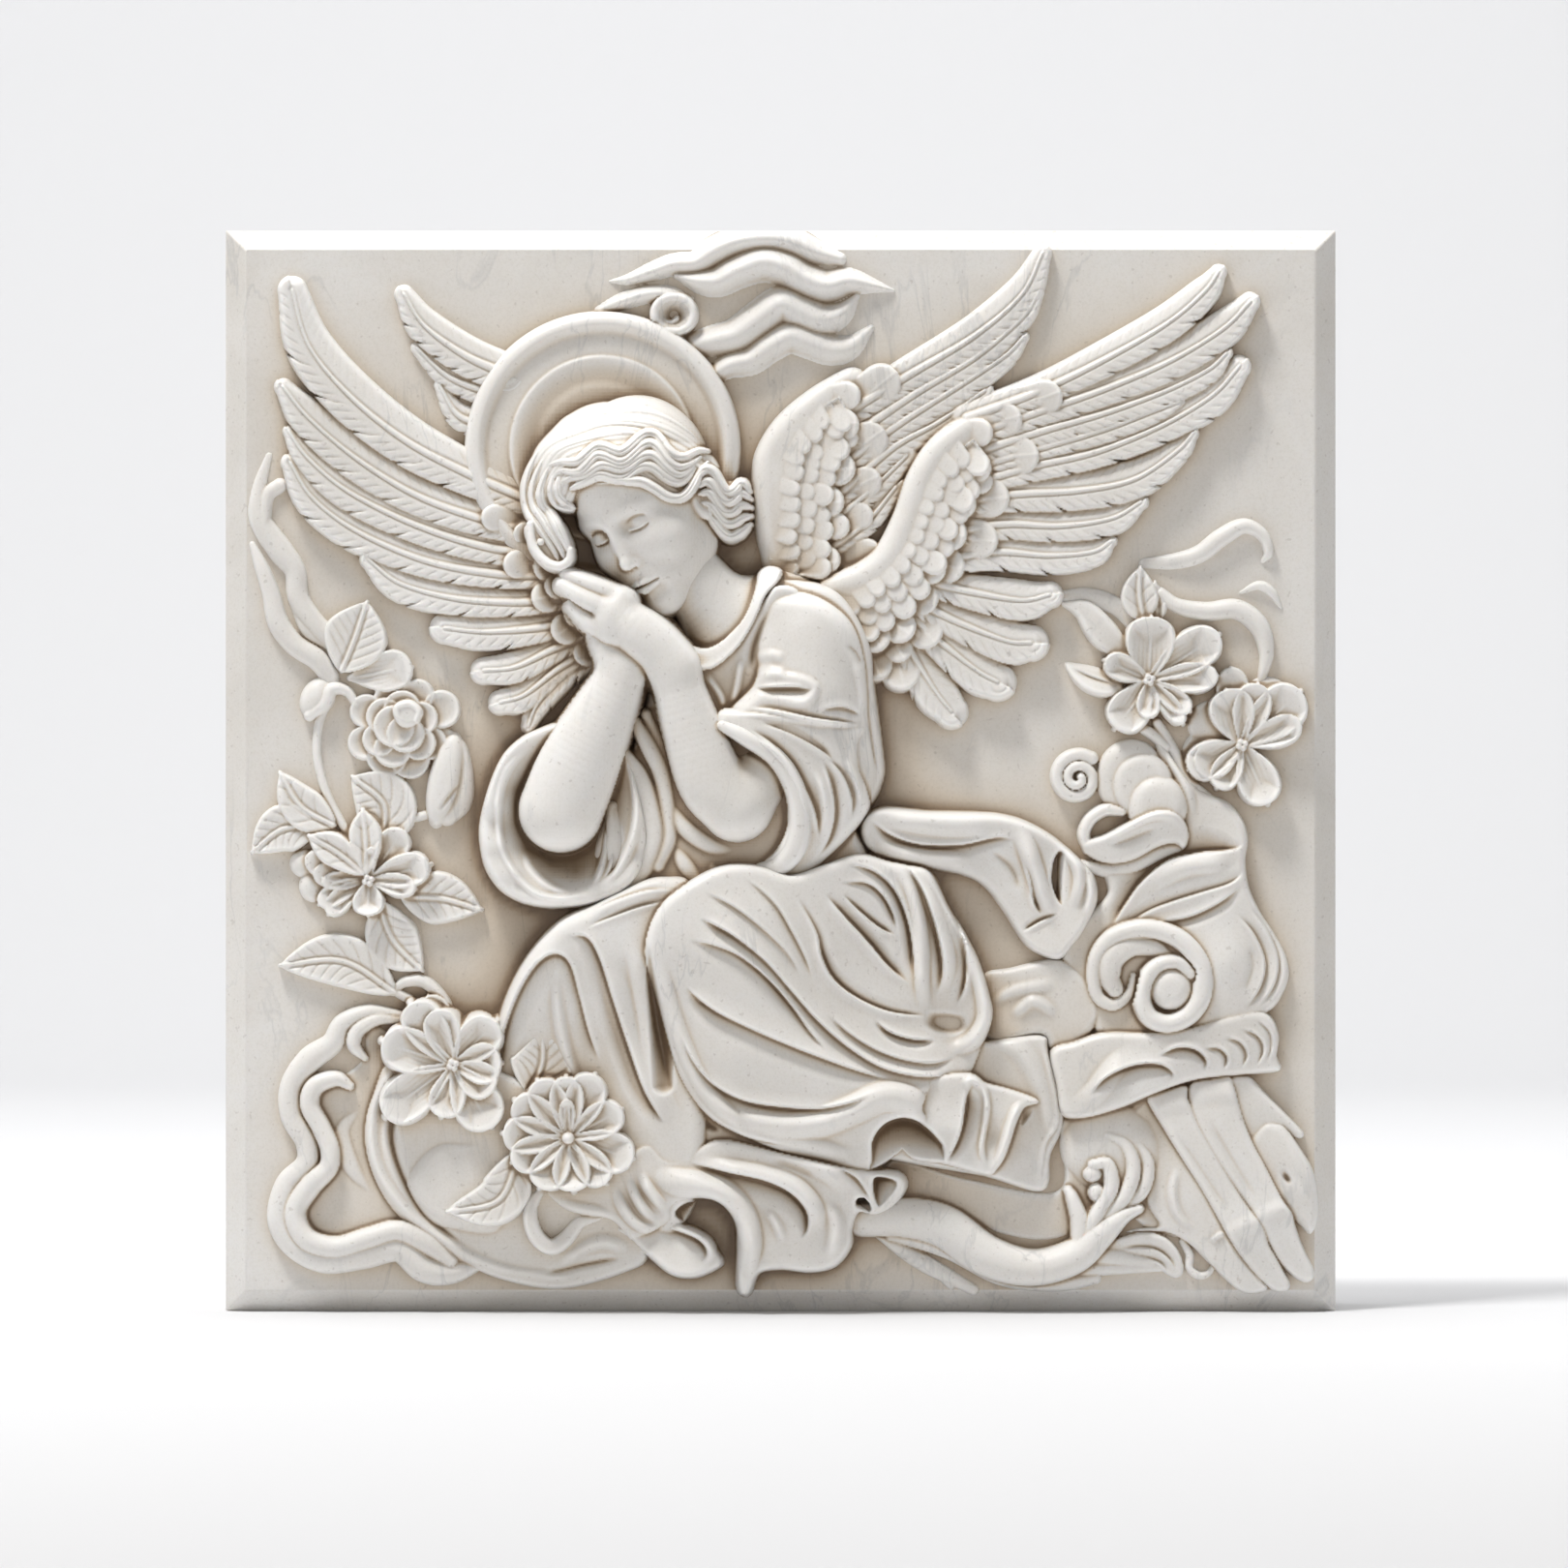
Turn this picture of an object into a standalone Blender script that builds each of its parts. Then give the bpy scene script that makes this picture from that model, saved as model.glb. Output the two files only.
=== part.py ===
"""An upright headstone of white marble: a square tablet whose front is carved with a seated angel.

The tablet has a raised field inside a mitred border that slopes away to its edges. The carving stands up to
RELIEF_DEPTH over that field. It is drawn on a sheet of SHEET_WIDTH by SHEET_HEIGHT units,
    where x runs to the
right from the middle, z runs up from the foot,
    and heights are over the field. The sheet is stretched to the
tablet's own size, so the carving keeps its shares of it.
"""

import bmesh
import bpy
import numpy as np

# Driving dimensions, in metres
WIDTH = 0.600
HEIGHT = 0.584
THICKNESS = 0.080
BORDER_WIDTH = 0.0115
BORDER_DROP = 0.010
RELIEF_DEPTH = 0.060

# The sheet the carving is drawn on, and how finely it is cut
SHEET_WIDTH = 600.0
SHEET_HEIGHT = 584.0
SHEET_DEPTH = 60.0
GRID_STEP = 2.5
SUNK = (BORDER_DROP + 0.002) * SHEET_DEPTH / RELIEF_DEPTH
BLOCK_ROOT = 0.25
RELIEF_TRIANGLES = 8200

# The edges of a carved form, in sheet units
PATH_STEP = 2.0
STEEPEST_EDGE = 6.0
WALL_SLOPE = 7.0
WALL_SPREAD = 2.2


class Relief:
    def __init__(self, x0, z0, x1, z1, cell, floor=0.0):
        self.x = np.arange(x0, x1 + cell / 2, cell)
        self.z = np.arange(z0, z1 + cell / 2, cell)
        self.cell = cell
        self.height = np.full((len(self.z), len(self.x)), float(floor))

    def window(self, low, high, margin):
        i0, i1 = np.searchsorted(self.x, [low[0] - margin, high[0] + margin])
        j0, j1 = np.searchsorted(self.z, [low[1] - margin, high[1] + margin])
        box = (slice(j0, j1), slice(i0, i1))
        return box, *np.meshgrid(self.x[i0:i1], self.z[j0:j1])

    def put(self, box, made, mode="max", blend=0.0):
        under = self.height[box]
        if mode == "max":
            if blend:
                gap = np.clip(0.5 + 0.5 * (made - under) / blend, 0, 1)
                soft = under + (made - under) * gap + blend * gap * (1 - gap)
                made = soft
            self.height[box] = np.maximum(under, made)
        elif mode == "add":
            self.height[box] = under + made
        elif mode == "min":
            self.height[box] = np.minimum(under, made)


def smooth(t):
    t = np.clip(t, 0, 1)
    return t * t * (3 - 2 * t)


def curve(rows, step=2.0):
    """A smooth curve through rows of (x, z, ...), sampled densely."""
    p = np.array(rows, float)
    if len(p) == 2:
        n = max(2, int(np.hypot(*(p[1] - p[0])[:2]) / step) + 1)
        return p[0] + (p[1] - p[0]) * np.linspace(0, 1, n)[:, None]
    q = np.vstack([2 * p[0] - p[1], p, 2 * p[-1] - p[-2]])
    out = []
    for a, b, c, d in zip(q, q[1:], q[2:], q[3:]):
        n = max(2, int(np.hypot(*(c - b)[:2]) / step) + 1)
        t = np.linspace(0, 1, n, endpoint=False)[:, None]
        bend = (2 * a - 5 * b + 4 * c - d) * t**2 + (3 * b - a - 3 * c + d) * t**3
        out.append(0.5 * (2 * b + (c - a) * t + bend))
    return np.vstack(out + [p[-1:]])


def along(x, z, path):
    """Nearest place on a path: share of its length, signed offset (left is positive),
        and the other columns there."""
    steps = np.diff(path[:, :2], axis=0)
    run = np.hypot(*steps.T)
    start = np.concatenate([[0], np.cumsum(run)])
    near = np.full(x.shape, np.inf)
    place, side = np.zeros(x.shape), np.ones(x.shape)
    for i, (dx, dz) in enumerate(steps):
        if run[i] < 1e-9:
            continue
        px, pz = x - path[i, 0], z - path[i, 1]
        t = np.clip((px * dx + pz * dz) / run[i] ** 2, 0, 1)
        gap = (px - t * dx) ** 2 + (pz - t * dz) ** 2
        closer = gap < near
        near[closer] = gap[closer]
        place[closer] = (start[i] + t * run[i])[closer]
        side[closer] = np.sign(dx * pz - dz * px + 1e-12)[closer]
    columns = [np.interp(place, start, path[:, k]) for k in range(2, path.shape[1])]
    return place, side * np.sqrt(near), start[-1], columns


def rise(d, r, h, full=1.15):
    """Height of a rounded edge: d is how far inside the outline, r the edge's radius,
        h the height of the top."""
    crown = np.minimum(h, full * r)
    wall = h - crown
    t = np.clip(d / r, 0, 1)
    inside = wall + np.minimum(crown * np.sqrt(1 - (1 - t) ** 2), STEEPEST_EDGE * np.maximum(d, 0))
    return np.where(d >= 0, inside, wall + np.maximum(WALL_SLOPE, wall / WALL_SPREAD) * d)


def stroke(c, rows, edge=None, base=0.0, mode="max", blend=0.0, shape=None, step=PATH_STEP, reach=2.5):
    """A band along a curve. rows are (x, z, half width,
        height). edge is the edge radius; round if None."""
    path = curve(rows, step)
    width = path[:, 2].max()
    box, x, z = c.window(path[:, :2].min(0), path[:, :2].max(0), width + reach + blend)
    if x.size == 0:
        return
    place, off, length, (w, h) = along(x, z, path)
    w = np.maximum(w, 0.05)
    d = w - np.abs(off)
    u = np.clip(off / w, -1.5, 1.5)
    if mode == "add":
        inside = np.clip(1 - np.abs(u), 0, 1)
        made = (shape or bump)(u, place, length, h) * (inside > 0)
        c.put(box, made, "add")
        return
    top = h if shape is None else shape(u, place, length, h, w)
    r = w if edge is None else np.minimum(edge, w)
    made = base + rise(d, np.maximum(r, 0.3), top)
    c.put(box, made, "max", blend)


def bump(u, place, length, h):
    """A soft ridge (or, with a negative height, a valley) that fades at both ends."""
    ends = smooth(np.minimum(place, length - place) / (0.22 * length + 1e-9))
    return h * np.cos(np.clip(u, -1, 1) * np.pi / 2) ** 2 * ends


def dome(c, x0, z0, rx, rz, h, turn=0.0, base=0.0, blend=0.0, edge=1.0, mode="max"):
    """An ellipse with a domed top; edge < 1 gives it a flatter top."""
    a = np.radians(turn)
    reach = max(rx, rz)
    box, x, z = c.window((x0 - reach, z0 - reach), (x0 + reach, z0 + reach), 2.5 + blend)
    if x.size == 0:
        return
    px = (x - x0) * np.cos(a) + (z - z0) * np.sin(a)
    pz = -(x - x0) * np.sin(a) + (z - z0) * np.cos(a)
    q = np.hypot(px / rx, pz / rz)
    d = (1 - q) * min(rx, rz)
    if mode == "add":
        c.put(box, h * np.cos(np.clip(q, 0, 1) * np.pi / 2) ** 2, "add")
        return
    c.put(box, base + rise(d, min(rx, rz) * edge, h), "max", blend)


def closed_curve(points, step=2.5):
    """A smooth closed curve through (x, z) points."""
    p = np.array(points, float)[:, :2]
    n = len(p)
    out = []
    for i in range(n):
        a, b, c, d = p[i - 1], p[i], p[(i + 1) % n], p[(i + 2) % n]
        m = max(2, int(np.hypot(*(c - b)) / step) + 1)
        t = np.linspace(0, 1, m, endpoint=False)[:, None]
        bend = (2 * a - 5 * b + 4 * c - d) * t**2 + (3 * b - a - 3 * c + d) * t**3
        out.append(0.5 * (2 * b + (c - a) * t + bend))
    out = np.vstack(out)
    return np.vstack([out, out[:1]])


def inside_of(x, z, path):
    hit = np.zeros(x.shape, bool)
    for (x0, z0), (x1, z1) in zip(path[:-1], path[1:]):
        if z0 == z1:
            continue
        spans = (z0 > z) != (z1 > z)
        hit ^= spans & (x < (x1 - x0) * (z - z0) / (z1 - z0) + x0)
    return hit


def through(x, z, knots):
    """A smooth surface through knots (x, z, height): a thin-plate spline."""
    k = np.array(knots, float)
    if len(k) == 1:
        return np.full(x.shape, k[0, 2])

    def kernel(r2):
        return 0.5 * r2 * np.log(r2 + 1e-9)

    scale = 100.0
    px, pz = k[:, 0] / scale, k[:, 1] / scale
    gaps = (px[:, None] - px) ** 2 + (pz[:, None] - pz) ** 2
    n = len(k)
    line = np.column_stack([np.ones(n), px, pz])
    system = np.zeros((n + 3, n + 3))
    system[:n, :n] = kernel(gaps) + 0.002 * np.eye(n)
    system[:n, n:] = line
    system[n:, :n] = line.T
    solved = np.linalg.solve(system, np.concatenate([k[:, 2], np.zeros(3)]))
    gx, gz = x / scale, z / scale
    made = solved[n] + solved[n + 1] * gx + solved[n + 2] * gz
    for i in range(n):
        made += solved[i] * kernel((gx - px[i]) ** 2 + (gz - pz[i]) ** 2)
    return made


def fold(x, z, kind, rows):
    """What a fold adds to a cloth's height. rows are (x, z, half width,
        height). It fades at both ends."""
    path = curve(rows, 2.0)
    place, off, length, (w, h) = along(x, z, path)
    if kind == "roll":
        u = np.clip(off / np.maximum(1.15 * w, 0.3), -1, 1)
        fade = smooth(np.minimum(place, length - place) / np.minimum(0.40 * length, 26.0))
        return 0.95 * h * (1 - u**2) * fade
    w = np.maximum(w, 0.3)
    u = np.clip(off / w, -1, 1)
    fade = smooth(np.minimum(place, length - place) / np.minimum(0.25 * length, 14.0))
    if kind == "crease":
        lip = 0.4 * h * (1 - np.clip(u, 0, 1)) ** 2
        drop = -h * (1 - np.clip(-u, 0, 1)) ** 1.7
        side = smooth(off / 1.6 + 0.5)
        return (lip * side + drop * (1 - side)) * fade
    if kind == "ridge":
        made = h * np.cos(u * np.pi / 2) ** 2
    elif kind == "valley":
        made = -h * (1 - np.abs(u)) ** 1.7
    elif kind == "pleat":
        lip = (1 - np.clip(u, 0, 1)) ** 1.6 * np.sqrt(1 - (1 - np.clip(off / 3.0, 0, 1)) ** 2)
        dip = -0.55 * (1 - np.clip(-u, 0, 1)) ** 1.8
        side = smooth(off / 1.4 + 0.5)
        made = h * (lip * side + dip * (1 - side))
    elif kind == "pocket":
        made = -h * (1 - u**2) ** 1.4
    return made * fade * (np.abs(off) < w)


def soft_max(a, b, soft):
    """The larger of two heights, rounded over where they meet."""
    near = np.clip(1 - np.abs(a - b) / soft, 0, 1)
    return np.maximum(a, b) + soft * near**2 / 4


def folded(x, z, top, folds):
    """A cloth's height with its folds: rolls lie on it side by side, the others add up."""
    rolls = np.zeros_like(top)
    for kind, rows in folds:
        if kind == "roll":
            rolls = soft_max(rolls, fold(x, z, kind, rows), 1.2)
    made = top + rolls
    for kind, rows in folds:
        if kind != "roll":
            made = made + fold(x, z, kind, rows)
    return made


def plate(c, outline, knots, folds=(), edge=4.0, mode="max", blend=0.0, step=2.5, holes=()):
    """A form with a closed outline, its height through knots, folds on it and rounded edges."""
    path = closed_curve(outline, step)
    box, x, z = c.window(path.min(0), path.max(0), 3 + blend)
    if x.size == 0:
        return
    _, off, _, _ = along(x, z, path)
    d = np.where(inside_of(x, z, path), 1, -1) * np.abs(off)
    for hole in holes:
        rim = closed_curve(hole, step)
        _, gap, _, _ = along(x, z, rim)
        d = np.minimum(d, np.where(inside_of(x, z, rim), -1, 1) * np.abs(gap))
    top = folded(x, z, through(x, z, knots), folds)
    c.put(box, rise(d, edge, np.maximum(top, 0.5)), mode, blend)


HEAD = dict(x=-71.5, z=436.5, h=14.0, length=114.0, yaw=38.0, nod=12.0, lean=31.0)


def turned(yaw, nod, lean):
    """Rotation from the head's own axes (right, up, forward) to the tablet's (x, z, height)."""
    y, n, r = np.radians([yaw, nod, lean])
    turn = np.array([[np.cos(y), 0, -np.sin(y)], [0, 1, 0], [np.sin(y), 0, np.cos(y)]])
    dip = np.array([[1, 0, 0], [0, np.cos(n), -np.sin(n)], [0, np.sin(n), np.cos(n)]])
    roll = np.array([[np.cos(r), -np.sin(r), 0], [np.sin(r), np.cos(r), 0], [0, 0, 1]])
    return roll @ dip @ turn


def join(a, b, k):
    t = np.clip(0.5 + 0.5 * (b - a) / k, 0, 1)
    return b + (a - b) * t - k * t * (1 - t)


def carve(a, b, k):
    return -join(-a, b, k)


def ball(p, x, y, z, rx, ry=None, rz=None):
    ry, rz = ry or rx, rz or rx
    q = np.sqrt(((p[0] - x) / rx) ** 2 + ((p[1] - y) / ry) ** 2 + ((p[2] - z) / rz) ** 2)
    g = np.sqrt(((p[0] - x) / rx**2) ** 2 + ((p[1] - y) / ry**2) ** 2 + ((p[2] - z) / rz**2) ** 2)
    return q * (q - 1) / np.maximum(g, 1e-6)


def rod(p, a, b, ra, rb=None):
    rb = ra if rb is None else rb
    ab = np.subtract(b, a)
    t = np.clip(sum((p[i] - a[i]) * ab[i] for i in range(3)) / (ab @ ab), 0, 1)
    return np.sqrt(sum((p[i] - a[i] - t * ab[i]) ** 2 for i in range(3))) - (ra + (rb - ra) * t)


def head_form(p):
    """Signed distance in head lengths: right, up and forward of the head's middle."""
    q = (np.abs(p[0]), p[1], p[2])
    d = ball(p, 0, 0.13, -0.06, 0.305, 0.365, 0.415)
    d = join(d, ball(p, 0, -0.08, 0.09, 0.262, 0.30, 0.270), 0.08)
    d = join(d, ball(p, 0, -0.285, 0.13, 0.202, 0.180, 0.215), 0.09)
    d = join(d, ball(q, 0.150, -0.24, 0.01, 0.090, 0.12, 0.13), 0.09)
    d = join(d, ball(q, 0.140, -0.130, 0.215, 0.095, 0.090, 0.095), 0.08)
    d = join(d, ball(p, 0, -0.285, 0.262, 0.120, 0.085, 0.080), 0.07)
    d = join(d, ball(p, 0, -0.405, 0.272, 0.082, 0.066, 0.074), 0.09)
    # brow, eye socket, eyeball
    d = join(d, rod(q, (0.030, 0.058, 0.318), (0.190, 0.066, 0.245), 0.018, 0.014), 0.07)
    d = carve(d, ball(q, 0.118, 0.004, 0.360, 0.078, 0.044, 0.062), 0.06)
    d = join(d, ball(q, 0.118, -0.012, 0.256, 0.060, 0.050, 0.056), 0.014)
    # ear
    d = join(d, ball(q, 0.283, -0.045, -0.045, 0.030, 0.088, 0.056), 0.012)
    d = carve(d, ball(q, 0.318, -0.030, -0.030, 0.018, 0.050, 0.030), 0.012)
    # nose
    d = join(d, rod(p, (0, 0.050, 0.315), (0, -0.130, 0.372), 0.014, 0.022), 0.05)
    d = join(d, ball(p, 0, -0.150, 0.380, 0.028, 0.026, 0.030), 0.03)
    d = join(d, ball(q, 0.033, -0.162, 0.345, 0.022, 0.020, 0.028), 0.022)
    d = carve(d, ball(q, 0.016, -0.188, 0.365, 0.009, 0.010, 0.014), 0.01)
    # lips
    d = join(d, rod(q, (0.010, -0.263, 0.338), (0.074, -0.278, 0.300), 0.013, 0.005), 0.02)
    d = join(d, rod(q, (0.000, -0.301, 0.332), (0.052, -0.292, 0.308), 0.019, 0.011), 0.02)
    line = rod(q, (0.0, -0.2805, 0.350), (0.082, -0.2790, 0.300), 0.0)
    d = d + 0.011 * np.exp(-(line / 0.007) ** 2)
    # the closed lids: the lash line low on the eyeball and a soft crease over it
    across = q[0] - 0.118
    on_eye = smooth((0.060 - np.abs(across)) / 0.02) * (p[2] > 0.2)
    lash = p[1] + 0.036 - 3.2 * across**2
    d = d + (0.010 * np.exp(-(lash / 0.006) ** 2) - 0.006 * np.exp(-((lash - 0.011) / 0.008) ** 2)) * on_eye
    crease = p[1] - 0.028 + 5.0 * across**2
    d = d + 0.006 * np.exp(-(crease / 0.007) ** 2) * on_eye
    # ears
    ear = ball(q, 0.288, -0.085, -0.030, 0.028, 0.095, 0.058)
    ear = carve(ear, ball(q, 0.322, -0.070, -0.018, 0.022, 0.060, 0.034), 0.02)
    return join(d, ear, 0.02)


def march(form, x, z, place, shift=0.0):
    """Height of a form seen square on. Rays that pass by it keep falling away, which makes its wall."""
    axes = turned(place["yaw"], place["nod"], place["lean"])
    size = place["length"]
    h = np.full(x.shape, place["h"] + 0.60 * size)
    nearest = np.full(x.shape, 1e3)
    best = h.copy()
    dx, dz = (x - place["x"]) / size, (z - place["z"]) / size
    for _ in range(46):
        dh = (h - place["h"]) / size
        p = [axes[0, i] * dx + axes[1, i] * dz + axes[2, i] * dh for i in range(3)]
        d = (form(p) - shift) * size
        closer = d < nearest
        nearest = np.where(closer, d, nearest)
        best = np.where(closer, h, best)
        h = h - np.maximum(d, 0.03) * 0.85 * (d > 0.02)
        h = np.maximum(h, place["h"] - 0.1 * size)
    hit = nearest < 0.25
    return np.where(hit, best, best - 9 * nearest), hit


def head(c, place=HEAD):
    reach = 0.62 * place["length"]
    box, x, z = c.window((place["x"] - reach, place["z"] - reach),
        (place["x"] + reach, place["z"] + reach), 0)
    if x.size == 0:
        return
    made, _ = march(head_form, x, z, place)
    c.put(box, made)


def limb(p, rows):
    """Rods end to end through (x, z, height, radius), in sheet units."""
    q = [SHEET["length"] * v for v in p]
    spine = curve(rows, 4.0)
    d = np.full(q[0].shape, 1e3)
    for a, b in zip(spine, spine[1:]):
        d = np.minimum(d, rod(q, a[:3], b[:3], a[3], b[3]))
    return d


SHEET = dict(x=0.0, z=0.0, h=0.0, length=100.0, yaw=0.0, nod=0.0, lean=0.0)


def put_form(c, form, low, high):
    """Carves a form given in sheet units."""
    box, x, z = c.window(low, high, 0)
    if x.size == 0:
        return
    made, _ = march(lambda p: form(p) / SHEET["length"], x, z, SHEET)
    c.put(box, made)


def neck_form(p):
    neck = limb(p, [(-60, 408, 14, 19), (-42, 388, 14, 19), (-26, 370, 9, 23)])
    chest = limb(p, [(-24, 362, 0, 28), (0, 374, 0, 27)])
    return join(neck, chest, 12)


def far_arm_form(p):
    arm = limb(p, [(-118, 271, 27, 22.5), (-109, 293, 28, 22), (-98, 316, 31, 18), (-88, 337, 34, 14),
        (-84, 348, 35, 12.5)])
    hand = limb(p, [(-84, 348, 35, 12), (-91, 359, 35, 10.5), (-98, 369, 33, 7), (-108, 384, 30, 5)])
    return join(arm, hand, 5)


def near_arm_form(p):
    arm = limb(p, [(-24, 273, 33, 18.5), (-37, 287, 35, 18), (-47, 314, 38, 15.5), (-54, 336, 41, 13),
        (-57, 347, 42, 12.5)])
    upper = limb(p, [(-22, 273, 31, 17.5), (-10, 289, 27, 16)])
    arm = join(arm, upper, 5)
    palm = limb(p, [(-57, 347, 42, 12.5), (-65, 357, 43, 13.5), (-76, 366, 43, 13.5), (-87, 374, 42, 11)])
    knuckles = limb(p, [(-84, 384, 44, 5.5), (-91, 376, 45, 6), (-92, 366, 44, 5.5)])
    return join(join(arm, palm, 6), knuckles, 7)


def fingers_form(p):
    first = limb(p, [(-82, 383.5, 43, 5.6), (-99, 390.6, 42, 4.7), (-114, 396.6, 38, 3.5)])
    second = limb(p, [(-86, 376, 45, 5.8), (-103, 383.2, 44, 5.0), (-117, 391.4, 39, 3.5)])
    third = limb(p, [(-86, 364.5, 43, 6.2), (-101, 371.0, 41, 5.2), (-112, 380.2, 37, 3.2)])
    return join(join(first, second, 0.8), third, 0.8)


def near_hand_form(p):
    return join(near_arm_form(p), fingers_form(p), 2.6)


HAIR_TOP = [(-88, 486, 34), (-110, 480, 34), (-60, 480, 30), (-90, 470, 50), (-118, 464, 46),
    (-65, 464, 48), (-95, 454, 58), (-75, 450, 56),
            (-45, 464, 34), (-48, 450, 44), (-128, 452, 38), (-118, 440, 48), (-134, 436, 32),
                (-58, 442, 50), (-36, 446, 34), (-25, 436, 27),
            (-30, 420, 24), (-130, 420, 34), (-120, 410, 38)]


def comb(off, place, pitch, depth):
    """Fine strands side by side, a little uneven."""
    across = off + 0.8 * np.sin(place / 17.0) + 0.5 * np.sin(place / 7.0 + off / 3.0)
    coarse = np.abs(np.sin(np.pi * across / (2.7 * pitch)))
    fine = np.abs(np.sin(np.pi * across / pitch))
    return depth * (0.7 * (coarse - 1) + 0.4 * (fine - 1))


def between(a, b, share=0.5, count=24):
    """The line part of the way from one line to another."""
    made = []
    for line in (a, b):
        p = curve(line, 2.0)
        run = np.concatenate([[0], np.cumsum(np.hypot(*np.diff(p, axis=0).T))])
        s = np.linspace(0, run[-1], count)
        made.append(np.column_stack([np.interp(s, run, p[:, 0]), np.interp(s, run, p[:, 1])]))
    return (1 - share) * made[0] + share * made[1]


def lock(c, line, width, lift, depth=0.9, taper=0.22):
    """A lock of hair lying over the cap: a rounded band with two or three strands along it."""
    p = np.array(line, float)
    under = through(p[:, 0], p[:, 1], HAIR_TOP)
    s = np.linspace(0, 1, len(p))
    ends = np.clip(np.minimum(s, 1 - s) / taper, 0, 1) ** 0.6
    rows = np.column_stack([p, width * (0.25 + 0.75 * ends), under + lift * (0.3 + 0.7 * ends)])

    def shape(u, place, length, h, w):
        strands = np.abs(np.sin(1.5 * np.pi * np.clip(u, -1, 1))) - 1
        return h + depth * strands * (1 - np.abs(u)) - 1.2 * np.clip(np.abs(u), 0, 1) ** 2
    stroke(c, rows, shape=shape, step=1.5, edge=0.8 * width)


WAVES = [
    [(-126, 457), (-115, 460), (-108, 460), (-98, 467), (-92, 467), (-86, 465), (-80, 468), (-75, 473),
        (-69, 475), (-64, 471), (-60, 465), (-54, 462), (-48, 464), (-43, 468), (-38, 465)],
    [(-125, 452), (-118, 454), (-110, 453), (-104, 457), (-99, 462), (-93, 461), (-87, 458), (-81, 461),
        (-75, 467), (-70, 470), (-65, 466), (-60, 459), (-53, 456), (-46, 459), (-41, 462)],
    [(-121, 446), (-115, 450), (-107, 449), (-102, 453), (-97, 458), (-90, 456), (-84, 454), (-78, 458),
        (-72, 463), (-67, 462), (-62, 456), (-56, 452), (-50, 453), (-45, 458)],
    [(-114, 445), (-105, 448), (-96, 453), (-90, 451), (-84, 450), (-79, 454), (-73, 458), (-68, 457),
        (-62, 452), (-55, 448), (-50, 450), (-46, 455)],
    [(-110, 440), (-104, 444), (-97, 447), (-91, 445), (-85, 445), (-79, 448), (-74, 451), (-68, 450),
        (-62, 446), (-55, 444), (-50, 447), (-46, 452)],
]
GATHERED = [
    [(-46, 448), (-42, 456), (-37, 456), (-33, 449), (-29, 444), (-25, 445), (-21, 449), (-17, 444)],
    [(-46, 445), (-41, 450), (-37, 449), (-33, 443), (-29, 439), (-25, 440), (-21, 444), (-16.5, 440)],
    [(-44, 442), (-39, 444), (-35, 438), (-31, 434), (-26, 434), (-22, 438), (-16, 436)],
    [(-43, 438), (-38, 438), (-34, 433), (-30, 428), (-25, 428), (-21, 431), (-16, 431)],
    [(-41, 433), (-37, 430), (-32, 424), (-27, 422), (-22, 424), (-16, 427)],
    [(-39, 427), (-35, 422), (-30, 416), (-26, 414), (-21, 417), (-17, 422)],
]
TEMPLE = [
    [(-112, 484), (-124, 473), (-132, 462), (-137, 450), (-138, 438), (-136, 428), (-131, 421)],
    [(-112, 480), (-122, 469), (-129, 458), (-132, 447), (-134, 438), (-132, 430), (-127, 424)],
    [(-112, 474), (-121, 463), (-126, 453), (-128, 445), (-129, 438), (-127, 432), (-122, 427)],
    [(-113, 466), (-120, 457), (-123, 450), (-124, 443), (-123, 437), (-119, 432), (-114, 429)],
    [(-114, 458), (-118, 452), (-119, 446), (-118, 440), (-115, 436), (-110, 434)],
]
CURLS = [
    [(-138, 434), (-136, 425), (-131, 417), (-125, 411), (-120, 405), (-119, 401)],
    [(-133, 432), (-130, 424), (-125, 416), (-120, 410), (-116, 405), (-116, 402)],
    [(-127, 430), (-123, 421), (-118, 413), (-113, 408), (-112, 404)],
    [(-121, 432), (-117, 423), (-112, 415), (-108, 409), (-108, 405)],
    [(-115, 433), (-110, 424), (-105, 416), (-103, 410), (-104, 406)],
]


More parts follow.
